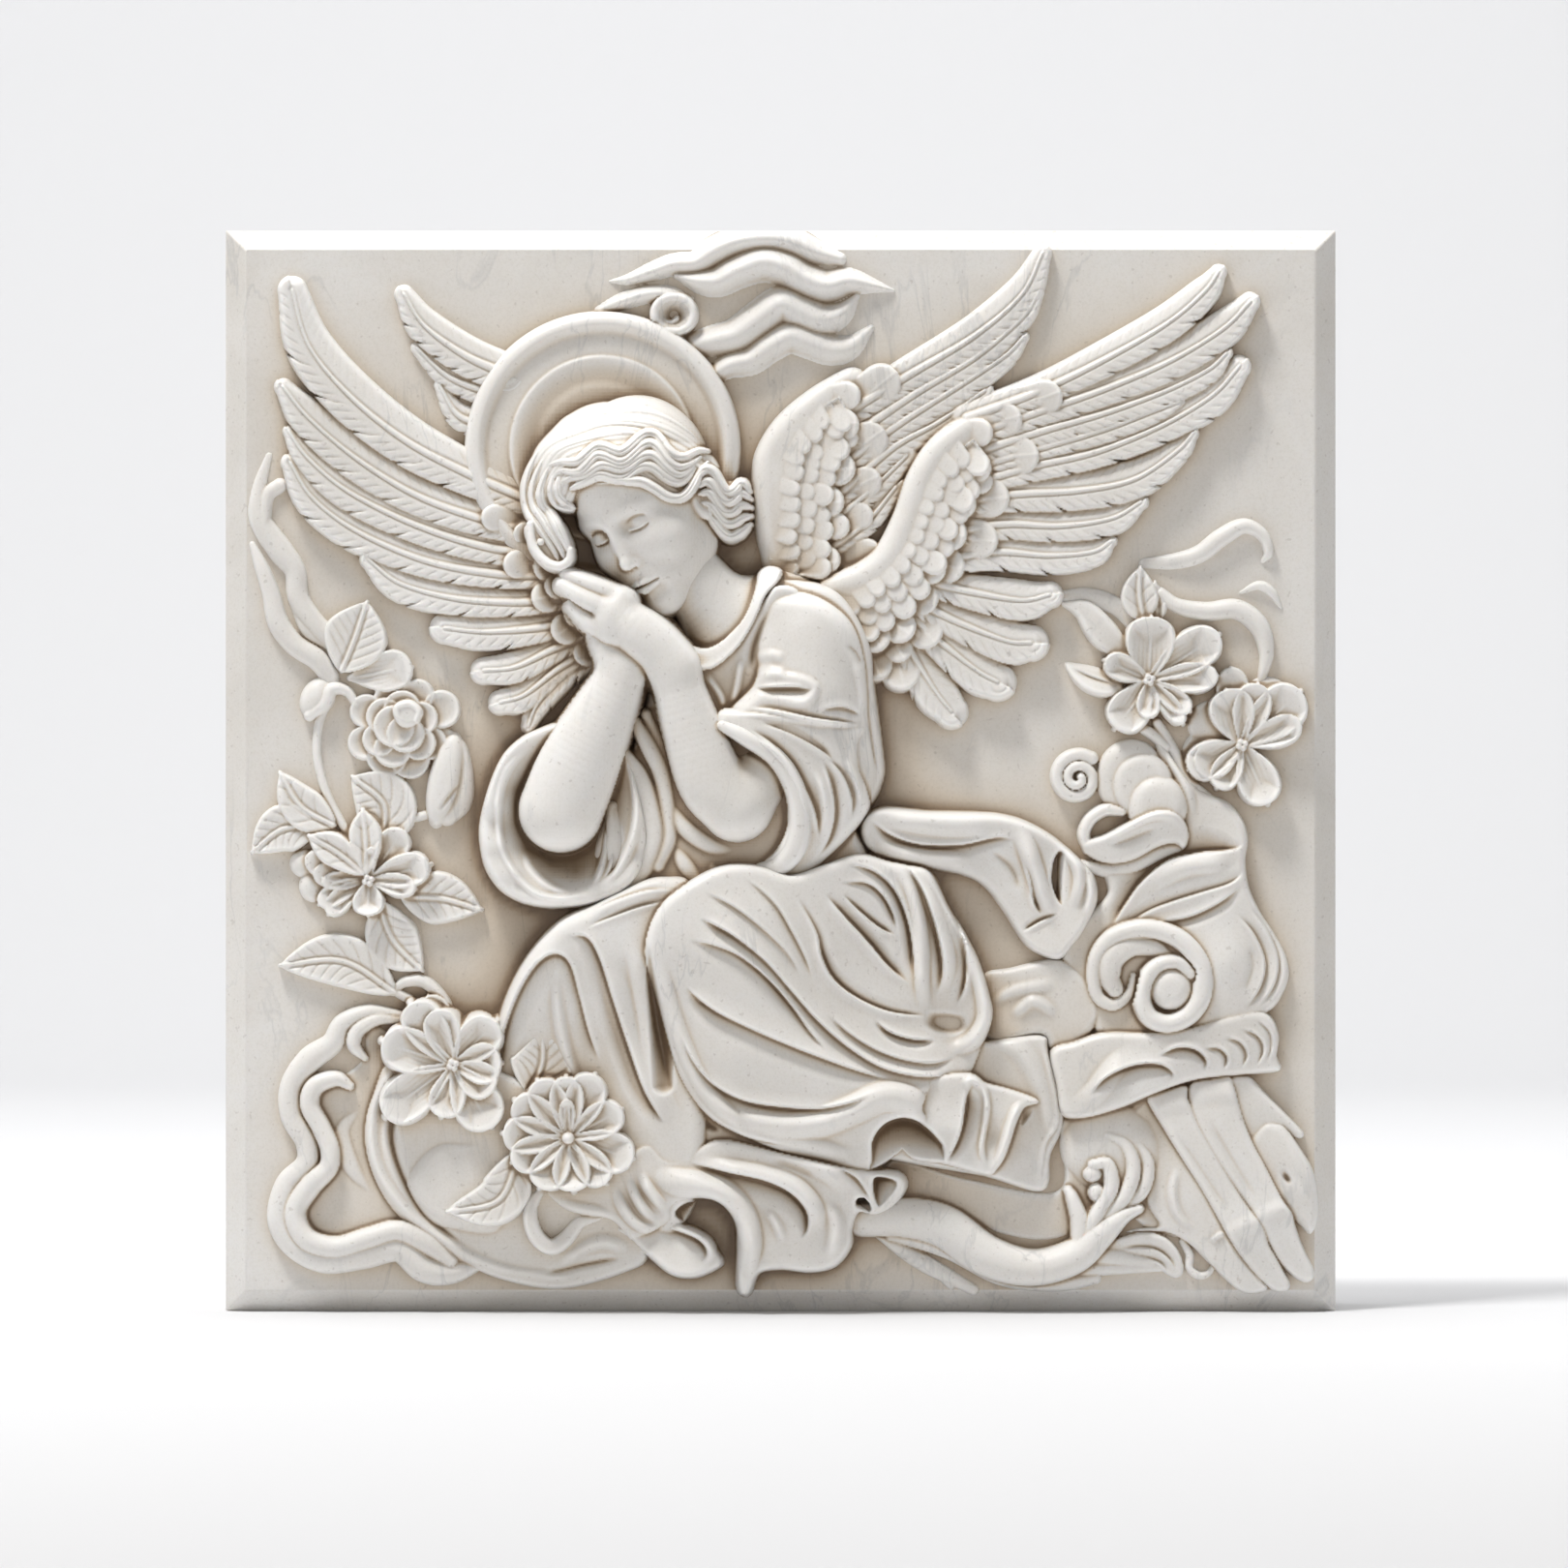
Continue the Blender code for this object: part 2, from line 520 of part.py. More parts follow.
def hair(c):
    # the cap of hair over the skull, combed along its outline
    guide = curve([(-141, 430), (-136, 446), (-125, 464), (-108, 472), (-90, 475), (-70, 474),
        (-52, 466), (-38, 456), (-26, 446)], 2.0)
    outline = [(-122, 431), (-112, 433), (-108, 440), (-104, 444), (-90, 445), (-78, 447), (-68, 444),
        (-60, 441), (-51, 441), (-47, 445), (-41, 440), (-38, 430), (-32, 420), (-26, 415),
               (-19, 419), (-16, 430), (-17, 442), (-24, 448), (-30, 449), (-34, 458), (-41, 466),
                   (-52, 477), (-68, 486), (-86, 490.5), (-102, 489.5), (-115, 483),
               (-123, 475), (-131, 466), (-136, 454), (-138, 440), (-137, 428), (-131, 416), (-122, 404),
                   (-114, 404), (-114, 416), (-116, 424)]
    path = closed_curve(outline)
    box, x, z = c.window(path.min(0), path.max(0), 3)
    if x.size:
        _, off, _, _ = along(x, z, path)
        d = np.where(inside_of(x, z, path), 1, -1) * np.abs(off)
        place, off, _, _ = along(x, z, guide)
        c.put(box, rise(d, 15, through(x, z, HAIR_TOP) + comb(off, place, 1.9, 1.3)))
    for k, (a, b) in enumerate(zip(TEMPLE, TEMPLE[1:])):
        lock(c, between(a, b), 3.0, 1.2 + 0.6 * k)
    for a, b in zip(CURLS, CURLS[1:]):
        lock(c, between(a, b), 2.9, 2.4)
    dome(c, -123, 403.5, 6.5, 6, 33)
    stroke(c, [(-117, 406, 1.5, 41), (-116, 401, 2.0, 41), (-121, 397.5, 2.3, 40),
        (-127, 399.5, 2.3, 39), (-129.5, 404.5, 2.2, 38), (-126.5, 409, 1.3, 37)])
    for k, (a, b) in enumerate(zip(GATHERED, GATHERED[1:])):
        lock(c, between(a, b), 3.1, 2.0)
    for k, (a, b) in enumerate(reversed(list(zip(WAVES, WAVES[1:])))):
        lock(c, between(a, b), 3.3, 0.8 + 0.9 * k)
    lock(c, between([(-92, 450), (-84, 448), (-76, 448), (-68, 444.5), (-61, 440.5), (-54, 440),
        (-49, 445), (-45, 453), (-40, 460)],
                    [(-90, 446), (-81, 444.5), (-73, 444), (-66, 440), (-60, 436), (-53, 435.5),
                        (-47, 440), (-42, 449), (-38, 455)]), 2.9, 2.2)


# Feathers

def feather(c, rows, trail, base=4.0, lift=6.0, crown=1.5):
    """A flight feather. rows are (x, z, half width) from root to tip,
        and trail is +1 where its trailing vane
    lies left of that."""
    path = curve(rows, 2.0)
    box, x, z = c.window(path[:, :2].min(0), path[:, :2].max(0), path[:, 2].max() + 3)
    if x.size == 0:
        return
    _, off, _, (w,) = along(x, z, path)
    u = trail * off / np.maximum(w, 0.3)
    d = w - np.abs(off)
    top = lift * (0.40 + 0.60 * np.clip(0.5 + 0.5 * u, 0, 1)) + crown * (1 - u**2)
    c.put(box, base + rise(d, 2.4, top))


def fan(c, feathers, trail, **shape):
    """Feathers from the lowest to the one on top."""
    for rows in feathers:
        feather(c, rows, trail, **shape)


def scale(c, x, z, angle, length, width, height, base, root=None):
    """A covert: a tongue whose rounded free end points along angle and stands highest. length and width are
    halves, base is the height it lies on at its free end, and root the one where it starts."""
    a = np.radians(angle)
    reach = max(length, width) + 3
    box, gx, gz = c.window((x - reach, z - reach), (x + reach, z + reach), 0)
    if gx.size == 0:
        return
    px = (gx - x) * np.cos(a) + (gz - z) * np.sin(a)
    pz = -(gx - x) * np.sin(a) + (gz - z) * np.cos(a)
    past = np.maximum(px - (length - width), 0)
    d = np.minimum(width - np.hypot(past, pz), px + length)
    to_end = np.clip((px + length) / (2 * length), 0, 1)
    top = height * (1.35 * to_end - 0.35) * (1 - 0.22 * np.clip(pz / width, -1, 1) ** 2)
    if root is not None:
        top = top - (base - root) * (1 - to_end)
    c.put(box, base + rise(d, 1.9, top))


def height_at(c, x, z):
    """The sheet's height at a place, or at its nearest edge."""
    i = int(np.clip(round((x - c.x[0]) / c.cell), 0, len(c.x) - 1))
    j = int(np.clip(round((z - c.z[0]) / c.cell), 0, len(c.z) - 1))
    return c.height[j, i]


def scale_rows(c, guide, rows, spacing, size, height, lean, grow=1.0, step_out=8.0):
    """Rows of coverts beside a guide curve, laid on what is there,
        the outermost row first. lean turns them from it."""
    path = curve(guide, 1.0)
    run = np.concatenate([[0], np.cumsum(np.hypot(*np.diff(path[:, :2], axis=0).T))])
    total = run[-1]
    made = []
    for row in reversed(range(rows)):
        big = size * grow**row
        gap = spacing * grow**row
        for k in range(int(total / gap) + 1):
            share = min((k + 0.5 * (row % 2)) * gap, total)
            x, z = (np.interp(share, run, path[:, i]) for i in (0, 1))
            dx = np.interp(min(share + 1, total), run, path[:, 0]) - np.interp(max(share - 1, 0),
                run, path[:, 0])
            dz = np.interp(min(share + 1, total), run, path[:, 1]) - np.interp(max(share - 1, 0),
                run, path[:, 1])
            heading = np.degrees(np.arctan2(dz, dx))
            across = np.radians(heading - 90)
            uneven = np.sin(2.3 * k + 1.7 * row)
            out = row * step_out + 0.9 * uneven
            x, z = x + out * np.cos(across), z + out * np.sin(across)
            angle = heading + lean + 7 * uneven
            half = big * 1.15
            ends = [height_at(c, x + s * half * np.cos(np.radians(angle)),
                z + s * half * np.sin(np.radians(angle))) for s in (-1, 1)]
            made.append((x, z, angle, half, big * (0.74 + 0.05 * uneven),
                height, max(ends[1], ends[0] - 2), ends[0]))
    for x, z, angle, half, width, lift, base, root in made:
        scale(c, x, z, angle, half, width, lift, base, root)


def left_wings(c):
    # the far wing, seen past the halo
    feather(c, [(-158, 478, 9), (-174, 484, 7), (-184, 500, 3)], 1, base=1, lift=4)
    feather(c, [(-150, 494, 9), (-178, 504, 7), (-196, 520, 3.5)], 1, base=1.5, lift=4)
    feather(c, [(-148, 506, 11), (-170, 516, 11), (-192, 532, 9.5), (-203, 549, 5)], 1, base=3, lift=5)
    # the near wing, from the lowest feather up
    fan(c, [
        [(-105, 352, 7), (-118, 343, 8), (-131, 328, 7), (-136, 316, 4)],
        [(-104, 357, 7), (-120, 347, 8), (-138, 333, 9), (-151, 329, 6.5)],
        [(-108, 364, 7), (-124, 357, 8.5), (-143, 348, 9), (-160, 346, 7)],
        [(-112, 373, 7), (-132, 369, 9), (-160, 367, 10), (-181, 369, 8)],
        [(-112, 386, 7), (-140, 383, 8), (-175, 385, 9.5), (-205, 393, 9.5), (-222, 406, 4.5)],
        [(-118, 398, 7), (-150, 398, 8), (-190, 405, 9.5), (-228, 421, 11), (-252, 439, 10),
            (-264, 458, 5)],
        [(-120, 409, 8), (-155, 412, 9), (-195, 424, 10), (-232, 442, 10.5), (-254, 460, 8),
            (-265, 475, 3)],
        [(-125, 420, 8), (-158, 427, 10), (-195, 440, 11), (-228, 460, 12), (-254, 482, 10.5),
            (-268, 499, 4.5)],
        [(-140, 440, 10), (-170, 453, 12), (-202, 470, 13.5), (-232, 494, 14), (-254, 521, 12.5),
            (-263, 551, 7.5)],
    ], 1, base=3.5, lift=7.5)
    # coverts round the root
    for x, z, turn, length, width in (
        (-148, 427, 168, 13, 7.5), (-137, 403, 178, 12, 8), (-135, 418, 150, 9, 7),
            (-124, 402, 180, 9, 9),
        (-125, 386, 200, 9, 9), (-119, 392, 205, 8, 8), (-113, 370, 215, 11, 9), (-107, 378, 215, 10, 8),
        (-103, 357, 235, 9, 8),
    ):
        scale(c, x, z, turn, length, width, 7, 9)


def right_wings(c):
    # the far wing
    fan(c, [
        [(20, 408, 6), (45, 425, 7), (62, 445, 6)],
        [(20, 420, 6), (48, 443, 8), (68, 462, 6)],
        [(30, 440, 8), (60, 466, 9), (85, 480, 8), (110, 497, 5)],
        [(30, 455, 8), (65, 480, 9), (97, 500, 10), (120, 515, 7), (131, 526, 3)],
        [(35, 470, 8), (70, 494, 9), (105, 515, 9.5), (130, 536, 6), (139, 550, 3)],
        [(35, 485, 9), (70, 506, 10), (105, 527, 11), (130, 549, 10), (141, 571, 5)],
    ], -1, base=2, lift=5.5)
    # its arm, smooth at the leading edge and clad in coverts behind it
    plate(c, [(-5, 390), (-12, 412), (-15, 432), (-15.5, 455), (-12, 468), (-3, 482), (10, 494),
        (25, 504), (38, 510), (46, 505), (42, 490), (38, 470), (30, 445), (28, 420), (25, 396),
        (10, 388)],
          [(-6, 400, 9), (-8, 430, 12), (-8, 455, 12), (4, 480, 11), (25, 498, 9), (15, 470, 11),
              (12, 440, 11), (15, 410, 9), (32, 480, 8), (25, 440, 7), (25, 405, 6)], edge=9)
    for x, z, turn, length, width in ((50, 497, 38, 16, 11), (42, 466, 35, 17, 11), (41, 445, 25, 14, 9),
        (36, 428, 10, 14, 8), (42, 408, 20, 12, 8)):
        scale(c, x, z, turn, length, width, 4, 6)
    for x, z, turn, length, width in ((29, 455, -5, 11, 9.5), (24, 437, -5, 10, 9),
        (28, 424, -5, 9, 7.5), (22, 406, -15, 10, 8.5), (31, 478, 5, 11, 9.5), (33, 493, 20, 10, 8)):
        scale(c, x, z, turn, length, width, 5, 8)
    scale_rows(c, [(2, 402), (2, 412), (2, 425), (3, 440), (4, 455), (7, 465), (13, 474), (20, 482),
        (26, 488)], 3, 8.6, 7.2, 3.0, -100, grow=1.08, step_out=8.0)
    # the near wing: flight feathers from the lowest up
    fan(c, [
        [(62, 372, 7), (74, 350, 10), (84, 334, 12), (92, 324, 9)],
        [(68, 378, 7), (88, 360, 10), (106, 346, 12), (117, 340, 10)],
        [(72, 384, 8), (96, 372, 10), (122, 362, 12), (135, 361, 9.5)],
        [(80, 394, 8), (105, 388, 10), (130, 384, 11), (145, 387, 7)],
        [(85, 405, 8), (115, 410, 10), (145, 408, 10), (168, 410, 8), (178, 416, 3)],
        [(90, 420, 8), (120, 425, 9), (150, 424, 9), (178, 428, 9), (194, 437, 4)],
        [(92, 436, 8), (125, 441, 10), (160, 443, 11), (190, 449, 11), (213, 464, 7), (222, 474, 3)],
        [(100, 446, 8), (135, 456, 9), (170, 464, 9), (205, 478, 10), (232, 494, 10.5), (247, 510, 6)],
        [(105, 456, 7), (140, 466, 7), (175, 476, 8), (202, 486, 7), (215, 491, 3)],
        [(105, 464, 8), (140, 475, 9), (175, 485, 9), (208, 497, 9), (230, 508, 8), (240, 517, 3.5)],
        [(105, 474, 8), (140, 486, 9), (175, 498, 10), (210, 513, 11), (238, 530, 10), (253, 545, 5)],
        [(100, 482, 9), (140, 497, 9), (175, 514, 10), (208, 533, 10), (228, 550, 8), (236, 561, 4)],
    ], -1, base=4, lift=7.5)
    # its arm and coverts
    plate(c, [(20, 385), (22, 396), (40, 404), (52, 414), (60, 430), (67, 450), (76, 466), (88, 478),
        (102, 486), (118, 490), (125, 482), (112, 462), (104, 445), (96, 428), (88, 408), (80, 388),
              (68, 372), (54, 362), (44, 372), (30, 380)],
          [(28, 390, 16), (48, 402, 17), (64, 428, 17), (76, 455, 17), (95, 476, 15), (112, 482, 12),
              (60, 388, 16), (80, 410, 14), (92, 440, 13), (102, 462, 12), (56, 370, 14),
              (75, 385, 13)], edge=10)
    for x, z, turn, length, width in (
        (137, 491, 20, 15, 10), (124, 461, 5, 15, 11), (108, 439, -2, 15, 11), (102, 417, -8, 15, 11),
            (118, 480, 15, 12, 10),
        (88, 403, -15, 11, 10.5), (74, 386, -30, 11, 10.5), (64, 348, -75, 13, 11),
            (76, 369, -50, 12, 10.5), (62, 360, -60, 10, 8.5), (50, 352, -70, 12, 10),
    ):
        scale(c, x, z, turn, length, width, 5, 9)
    for x, z, turn, length, width in (
        (103, 473, 15, 11, 8), (102, 455, 0, 11, 9), (94, 436, -5, 11, 9), (89, 420, -12, 11, 10),
            (78, 402, -25, 11, 9), (62, 371, -40, 11, 9.5), (48, 368, -60, 13, 10),
    ):
        scale(c, x, z, turn, length, width, 6, 11)
    scale_rows(c, [(37, 383), (50, 392), (62, 404), (69, 420), (75, 434), (82, 448), (91, 459),
        (101, 467)], 3, 8.4, 7.2, 3.2, -95, grow=1.10, step_out=7.6)


def halo(c):
    x0, z0, radius = -96.0, 465.5, 74.0
    box, x, z = c.window((x0 - radius, z0 - radius), (x0 + radius, z0 + radius), 3)
    r = np.hypot(x - x0, z - z0)
    rim = rise(radius - r, 6.5, 12.5) * (r > radius - 6.5) + np.where(r <= radius - 6.5,
        12.5 - 4.5 * smooth((radius - 6.5 - r) / 6), 0)
    inner = np.where(r < 51, 1.8 * (1 - smooth((51 - r) / 13)) * smooth((51 - r) / 2.0), 0)
    deep = np.where(r < 51, -1.2 * smooth((49 - r) / 12), 0)
    deep = deep + np.where(r < 38, 0.8 * smooth((38 - r) / 5), 0)
    c.put(box, rim + inner + deep)


# Smoke, clouds and ribbons

def swell(c, rows, base=0.0):
    """A band with a rounded crest that slopes away on both sides."""
    def shape(u, place, length, h, w):
        return h * np.cos(np.clip(u, -1, 1) * np.pi / 2) ** 1.2
    stroke(c, rows, base=base, edge=1.0, shape=shape)


def ribbons(c):
    # flames of cloud over the halo
    swell(c, [(-92, 556, 1, 1), (-82, 557, 3.5, 4), (-70, 561, 5.5, 7), (-58, 565, 6.5, 8),
        (-46, 566, 7, 8), (-36, 572, 8, 9), (-24, 577, 8, 10), (-8, 579, 8, 10), (6, 577, 8, 9),
        (18, 572, 7, 7), (32, 568, 4, 4)])
    swell(c, [(-56, 559, 2, 5), (-44, 556, 7, 9), (-34, 556, 9, 10), (-24, 561, 10, 12),
        (-10, 566, 11, 13), (2, 563.5, 10.5, 13), (12, 557.5, 10, 12), (24, 553.5, 9.5, 11),
        (36, 556, 8, 9), (48, 554, 5, 6), (61, 551, 1, 2)])
    swell(c, [(-62, 515, 3, 4), (-48, 521, 7, 6), (-36, 524, 9, 8), (-24, 527, 10, 9),
        (-12, 535.5, 10.5, 10), (0, 543.5, 10.5, 11), (10, 540, 10.5, 10), (22, 535.5, 10, 9),
        (33, 539, 7, 7), (41, 548, 2, 3)])
    swell(c, [(-38, 504, 5, 6), (-28, 510.5, 7.5, 8), (-16, 513.5, 8.5, 8), (-6, 520.5, 9, 9),
        (5, 526, 9.5, 9), (16, 523, 9.5, 8), (28, 519, 9, 7), (38, 521, 7, 5), (49, 531, 2, 2)])
    swell(c, [(-98, 540, 3, 3), (-86, 545, 5, 6), (-72, 549, 5.5, 7), (-60, 549, 5, 7), (-50, 545, 4, 6)])
    dome(c, -57.5, 538, 13, 12, 8, edge=0.35)
    dome(c, -57.5, 538, 10.5, 9.5, -9, mode="add")
    stroke(c, [(-57.5 + 10.5 * np.cos(a), 538 + 9.5 * np.sin(a),
        2.2, 9.5) for a in np.radians(np.arange(-110, 215, 25))])
    stroke(c, [(-60 + 5 * np.cos(a), 539 + 5.5 * np.sin(a),
        1.4, 5) for a in np.radians(np.arange(150, 330, 25))])
    # smoke down the left edge
    stroke(c, [(-276, 462, 2, 1), (-281, 445, 4, 3), (-281, 428, 6, 5), (-270, 411, 7, 6),
        (-262, 400, 6, 6), (-260, 385, 6, 6), (-250, 370, 6, 6), (-238, 360, 6, 5),
        (-228, 350, 4, 3)], base=0)
    stroke(c, [(-270, 446, 4, 4), (-277, 440, 4, 4), (-279, 425, 4, 5)], base=0.5)
    stroke(c, [(-285, 414, 2, 2), (-280, 402, 4, 5), (-275, 388, 5, 6), (-271, 372, 6, 7),
        (-262, 360, 6, 7), (-250, 352, 6, 7), (-243, 342, 5, 5)], base=0)
    stroke(c, [(-262, 382, 3, 2), (-255, 368, 4, 4), (-244, 360, 3, 3)], base=0)
    # ribbons right of the near wing
    stroke(c, [(196, 404, 3, 1), (212, 405, 4.5, 4), (226, 409, 5, 6), (238, 418, 5, 7),
        (250, 424, 4, 7), (260, 419, 3.2, 6), (263, 410, 2.6, 5), (260, 405, 1, 2)], base=0)
    stroke(c, [(248, 388, 1, 1), (258, 392, 2.5, 4), (265, 388, 2.5, 4), (270, 380, 1, 1)], base=0)
    stroke(c, [(205, 388, 3, 4), (214, 381, 4, 6), (230, 378, 5, 7), (246, 379, 5.5, 7),
        (258, 370, 5.5, 7), (262, 356, 4, 6), (260, 344, 2.5, 4), (258, 338, 1, 2)], base=0.5)
    stroke(c, [(150, 386, 3, 2), (166, 386, 5, 3), (182, 380, 5, 3), (194, 366, 4, 2)], base=0)


# Leaves and flowers

def leaf(c, x0, z0, x1, z1, width, height=6.0, bend=0.0, base=1.0, bluff=0.42):
    """A pointed leaf from (x0, z0) to its tip (x1, z1). bend bows it to the left of that line."""
    dx, dz = x1 - x0, z1 - z0
    mid = (x0 + dx * 0.5 - dz * bend, z0 + dz * 0.5 + dx * bend)
    path = curve([(x0, z0), mid, (x1, z1)], 1.5)
    box, x, z = c.window(path.min(0), path.max(0), width + 3)
    if x.size == 0:
        return
    place, off, length, _ = along(x, z, path)
    s = np.clip(place / length, 0, 1)
    w = width * np.where(s < bluff, np.sin(np.pi / 2 * np.clip(s / bluff, 0, 1)) ** 0.75,
                         np.cos(np.pi / 2 * np.clip((s - bluff) / (1.0001 - bluff), 0, 1)) ** 0.9)
    w = np.maximum(w, 0.6 * (s > 0.001))
    d = w - np.abs(off)
    u = np.clip(off / np.maximum(w, 0.5), -1, 1)
    top = height * (0.72 + 0.28 * np.abs(u))
    c.put(box, base + rise(d, 1.8, top))


def petal(c, x0, z0, angle, length, width, height, base, cup=0.55, notch=0.0, blunt=0.62, curl=0.0):
    """A petal from its foot at (x0, z0): narrow there, widest at blunt,
        with a raised rim and a hollow middle."""
    a = np.radians(angle)
    b = a + np.radians(curl)
    mid = (x0 + 0.5 * length * np.cos(a), z0 + 0.5 * length * np.sin(a))
    end = (mid[0] + 0.5 * length * np.cos(b), mid[1] + 0.5 * length * np.sin(b))
    path = curve([(x0, z0), mid, end], 1.5)
    box, x, z = c.window(path.min(0), path.max(0), width + 3)
    if x.size == 0:
        return
    place, off, run, _ = along(x, z, path)
    s = np.clip(place / run, 0, 1)
    w = width * np.where(s < blunt, 0.16 + 0.84 * np.sin(np.pi / 2 * s / blunt) ** 1.1,
                         np.sqrt(np.clip(1 - np.clip((s - blunt) / (1.0001 - blunt), 0, 1) ** 2.4, 0, 1)))
    w = np.maximum(w - notch * width * np.exp(-(off / (0.18 * width)) ** 2) * (s > 0.8), 0.02)
    d = w - np.abs(off)
    q = np.clip(np.abs(off) / np.maximum(w, 0.5), 0, 1)
    rim = np.maximum(q**2, smooth((s - 0.5) / 0.5) ** 1.5)
    top = height * ((1 - cup) + cup * rim) * (0.55 + 0.45 * smooth(s * 1.6))
    c.put(box, base + rise(d, 1.5, top))


def stamens(c, x, z, count, spread, height, base, dot=1.4):
    for k in range(count):
        a = 2 * np.pi * k / count + 0.4
        dome(c, x + spread * np.cos(a), z + spread * np.sin(a), dot, dot, height, base=base)


def flower(c, x, z, petals, base=4.0, height=9.0, dots=4, spread=1.8, cup=0.6):
    """petals are (angle, length, half width[, curl]), the ones beneath first."""
    for p in petals:
        angle, length, width = p[:3]
        petal(c, x, z, angle, length, width, height, base, cup=cup, curl=p[3] if len(p) > 3 else 0)
    stamens(c, x, z, dots, spread, height * 0.75, base + 1)


def disc(c, x, z, radius, height, base):
    """A round petal, hollow in the middle."""
    box, gx, gz = c.window((x - radius, z - radius), (x + radius, z + radius), 2)
    if gx.size == 0:
        return
    q = np.hypot(gx - x, gz - z) / radius
    c.put(box, base + rise((1 - q) * radius, 1.5, height * (0.55 + 0.45 * np.clip(q, 0, 1) ** 3)))


def rose(c, x, z):
    """A full rose: round petals in rings, the inner rings higher, and a rolled heart."""
    for dx, dz, radius, base in (
        (-20, -8, 9, 1), (-19, 9, 9, 1), (-6, 16, 9, 1), (8, 17, 9, 1), (21, 10, 10, 1), (15, -8, 9, 1),
            (4, -16, 11, 1), (-8, -15, 11, 1),
        (-12, -6, 9, 4), (-5, -11, 10, 4), (9, -8, 9, 4), (-9, 6, 10, 4), (10, 5, 9, 4), (0, 10, 10, 4),
        (-4, 1, 11, 6.5), (2, -3, 10, 6.5),
    ):
        disc(c, x + dx, z + dz, radius, 6, base)
    dome(c, x + 3, z + 7, 7, 7, 6, base=9, edge=0.5)
    stroke(c, [(x + 8, z + 4, 1.5, 3), (x + 9, z + 9, 1.8, 3), (x + 4, z + 13, 1.8, 3),
        (x - 2, z + 11, 1.8, 3), (x - 2, z + 6, 1.6, 3), (x + 2, z + 4, 1.2, 2)], base=13)


def left_garden(c):
    # stems
    stroke(c, [(-243, 332, 2.5, 4), (-249, 318, 2.4, 4), (-250, 300, 2.4, 4), (-245, 280, 2.4, 4),
        (-236, 262, 2.4, 4), (-228, 248, 2, 4)], base=0)
    stroke(c, [(-258, 268, 2, 3), (-244, 262, 2, 3), (-232, 250, 2, 3)], base=1)
    stroke(c, [(-200, 266, 2.5, 4), (-192, 268, 2.5, 4)], base=0)
    # drooping bud right of the rose
    stroke(c, [(-182, 313, 4, 4), (-174, 304, 5, 5), (-171, 290, 5.5, 6), (-173, 276, 7, 6),
        (-180, 268, 6, 6)], base=0)
    leaf(c, -174, 292, -190, 266, 9, 6, base=3, bend=-0.25)
    dome(c, -183, 273, 11, 10, 7, turn=60)
    # leaf pair over the rose
    leaf(c, -237, 345, -223, 383, 17, 7, base=1, bend=-0.02, bluff=0.5)
    petal(c, -232, 342, 10, 34, 11, 7, 1, cup=0.4)
    # smoke bud
    dome(c, -250, 331, 9, 12, 8, turn=-25)
    stroke(c, [(-254, 322, 3, 4), (-246, 328, 3.5, 6), (-242, 336, 3.5, 6), (-234, 335, 2.5, 4),
        (-229, 328, 2, 3)], base=3)
    rose(c, -204, 315)
    # flower with leaves
    leaf(c, -248, 262, -285, 248, 13, 6, bend=-0.15, base=1)
    leaf(c, -240, 262, -270, 291, 11, 6, bend=0.12, base=2)
    leaf(c, -216, 250, -231, 289, 17, 6, bend=-0.25, base=1, bluff=0.5)
    leaf(c, -205, 224, -161, 217, 14, 6, bend=0.06, base=1)
    leaf(c, -217, 222, -193, 184, 14, 6, bend=-0.1, base=1, bluff=0.5)
    dome(c, -256, 242, 9, 8, 6)
    dome(c, -252, 230, 8, 9, 6)
    dome(c, -208, 250, 9, 11, 7, turn=20)
    flower(c, -222, 233, [
        (160, 36, 8), (172, 30, 7), (55, 33, 9), (200, 30, 6, 12), (212, 29, 6, 16), (180, 25, 5, 4),
    ], base=3, height=8)
    leaf(c, -224, 236, -254, 257, 8.5, 8, bend=-0.04, base=6, bluff=0.6)
    leaf(c, -223, 236, -225, 271, 8.5, 8, bend=-0.02, base=6, bluff=0.6)
    flower(c, -222, 233, [(14, 34, 9), (352, 26, 6, -5), (270, 19, 8), (84, 18, 3)], base=6, height=9)
    # long leaf and its stem
    leaf(c, -207, 172, -270, 187, 14, 6, bend=-0.16, base=1, bluff=0.5)
    stroke(c, [(-206, 172, 2.5, 4), (-196, 166, 2.5, 4), (-188, 158, 2, 4)], base=1)
    stroke(c, [(-209, 172, 1.5, 3), (-203, 178, 3, 5), (-192, 178, 3.5, 5), (-182, 168, 3.5, 5),
        (-177, 156, 3, 4)], base=1)
    # two lower flowers
    petal(c, -178, 138, 110, 35, 9, 8, 3, cup=0.4)
    flower(c, -176, 134, [
        (45, 33, 11), (125, 40, 11), (162, 40, 12), (107, 31, 9.5), (2, 26, 11), (330, 26, 10),
            (302, 40, 13), (262, 29, 9.5, -10), (215, 46, 12, 5),
    ], base=17, height=10)
    leaf(c, -135, 118, -128, 152, 17, 6, bend=-0.1, base=16)
    leaf(c, -140, 88, -179, 55, 13, 6, bend=0.25, base=18)
    flower(c, -114, 95, [
        (145, 35, 10), (118, 35, 10), (176, 35, 10), (67, 37, 10.5), (92, 33, 9), (204, 33, 9.5),
            (240, 31, 10), (342, 37, 11), (310, 32, 9), (276, 29, 10), (28, 33, 9.5), (92, 21, 4),
    ], base=24, height=10, dots=1, spread=0)
    dome(c, -114, 95, 2.8, 2.8, 5, base=30)


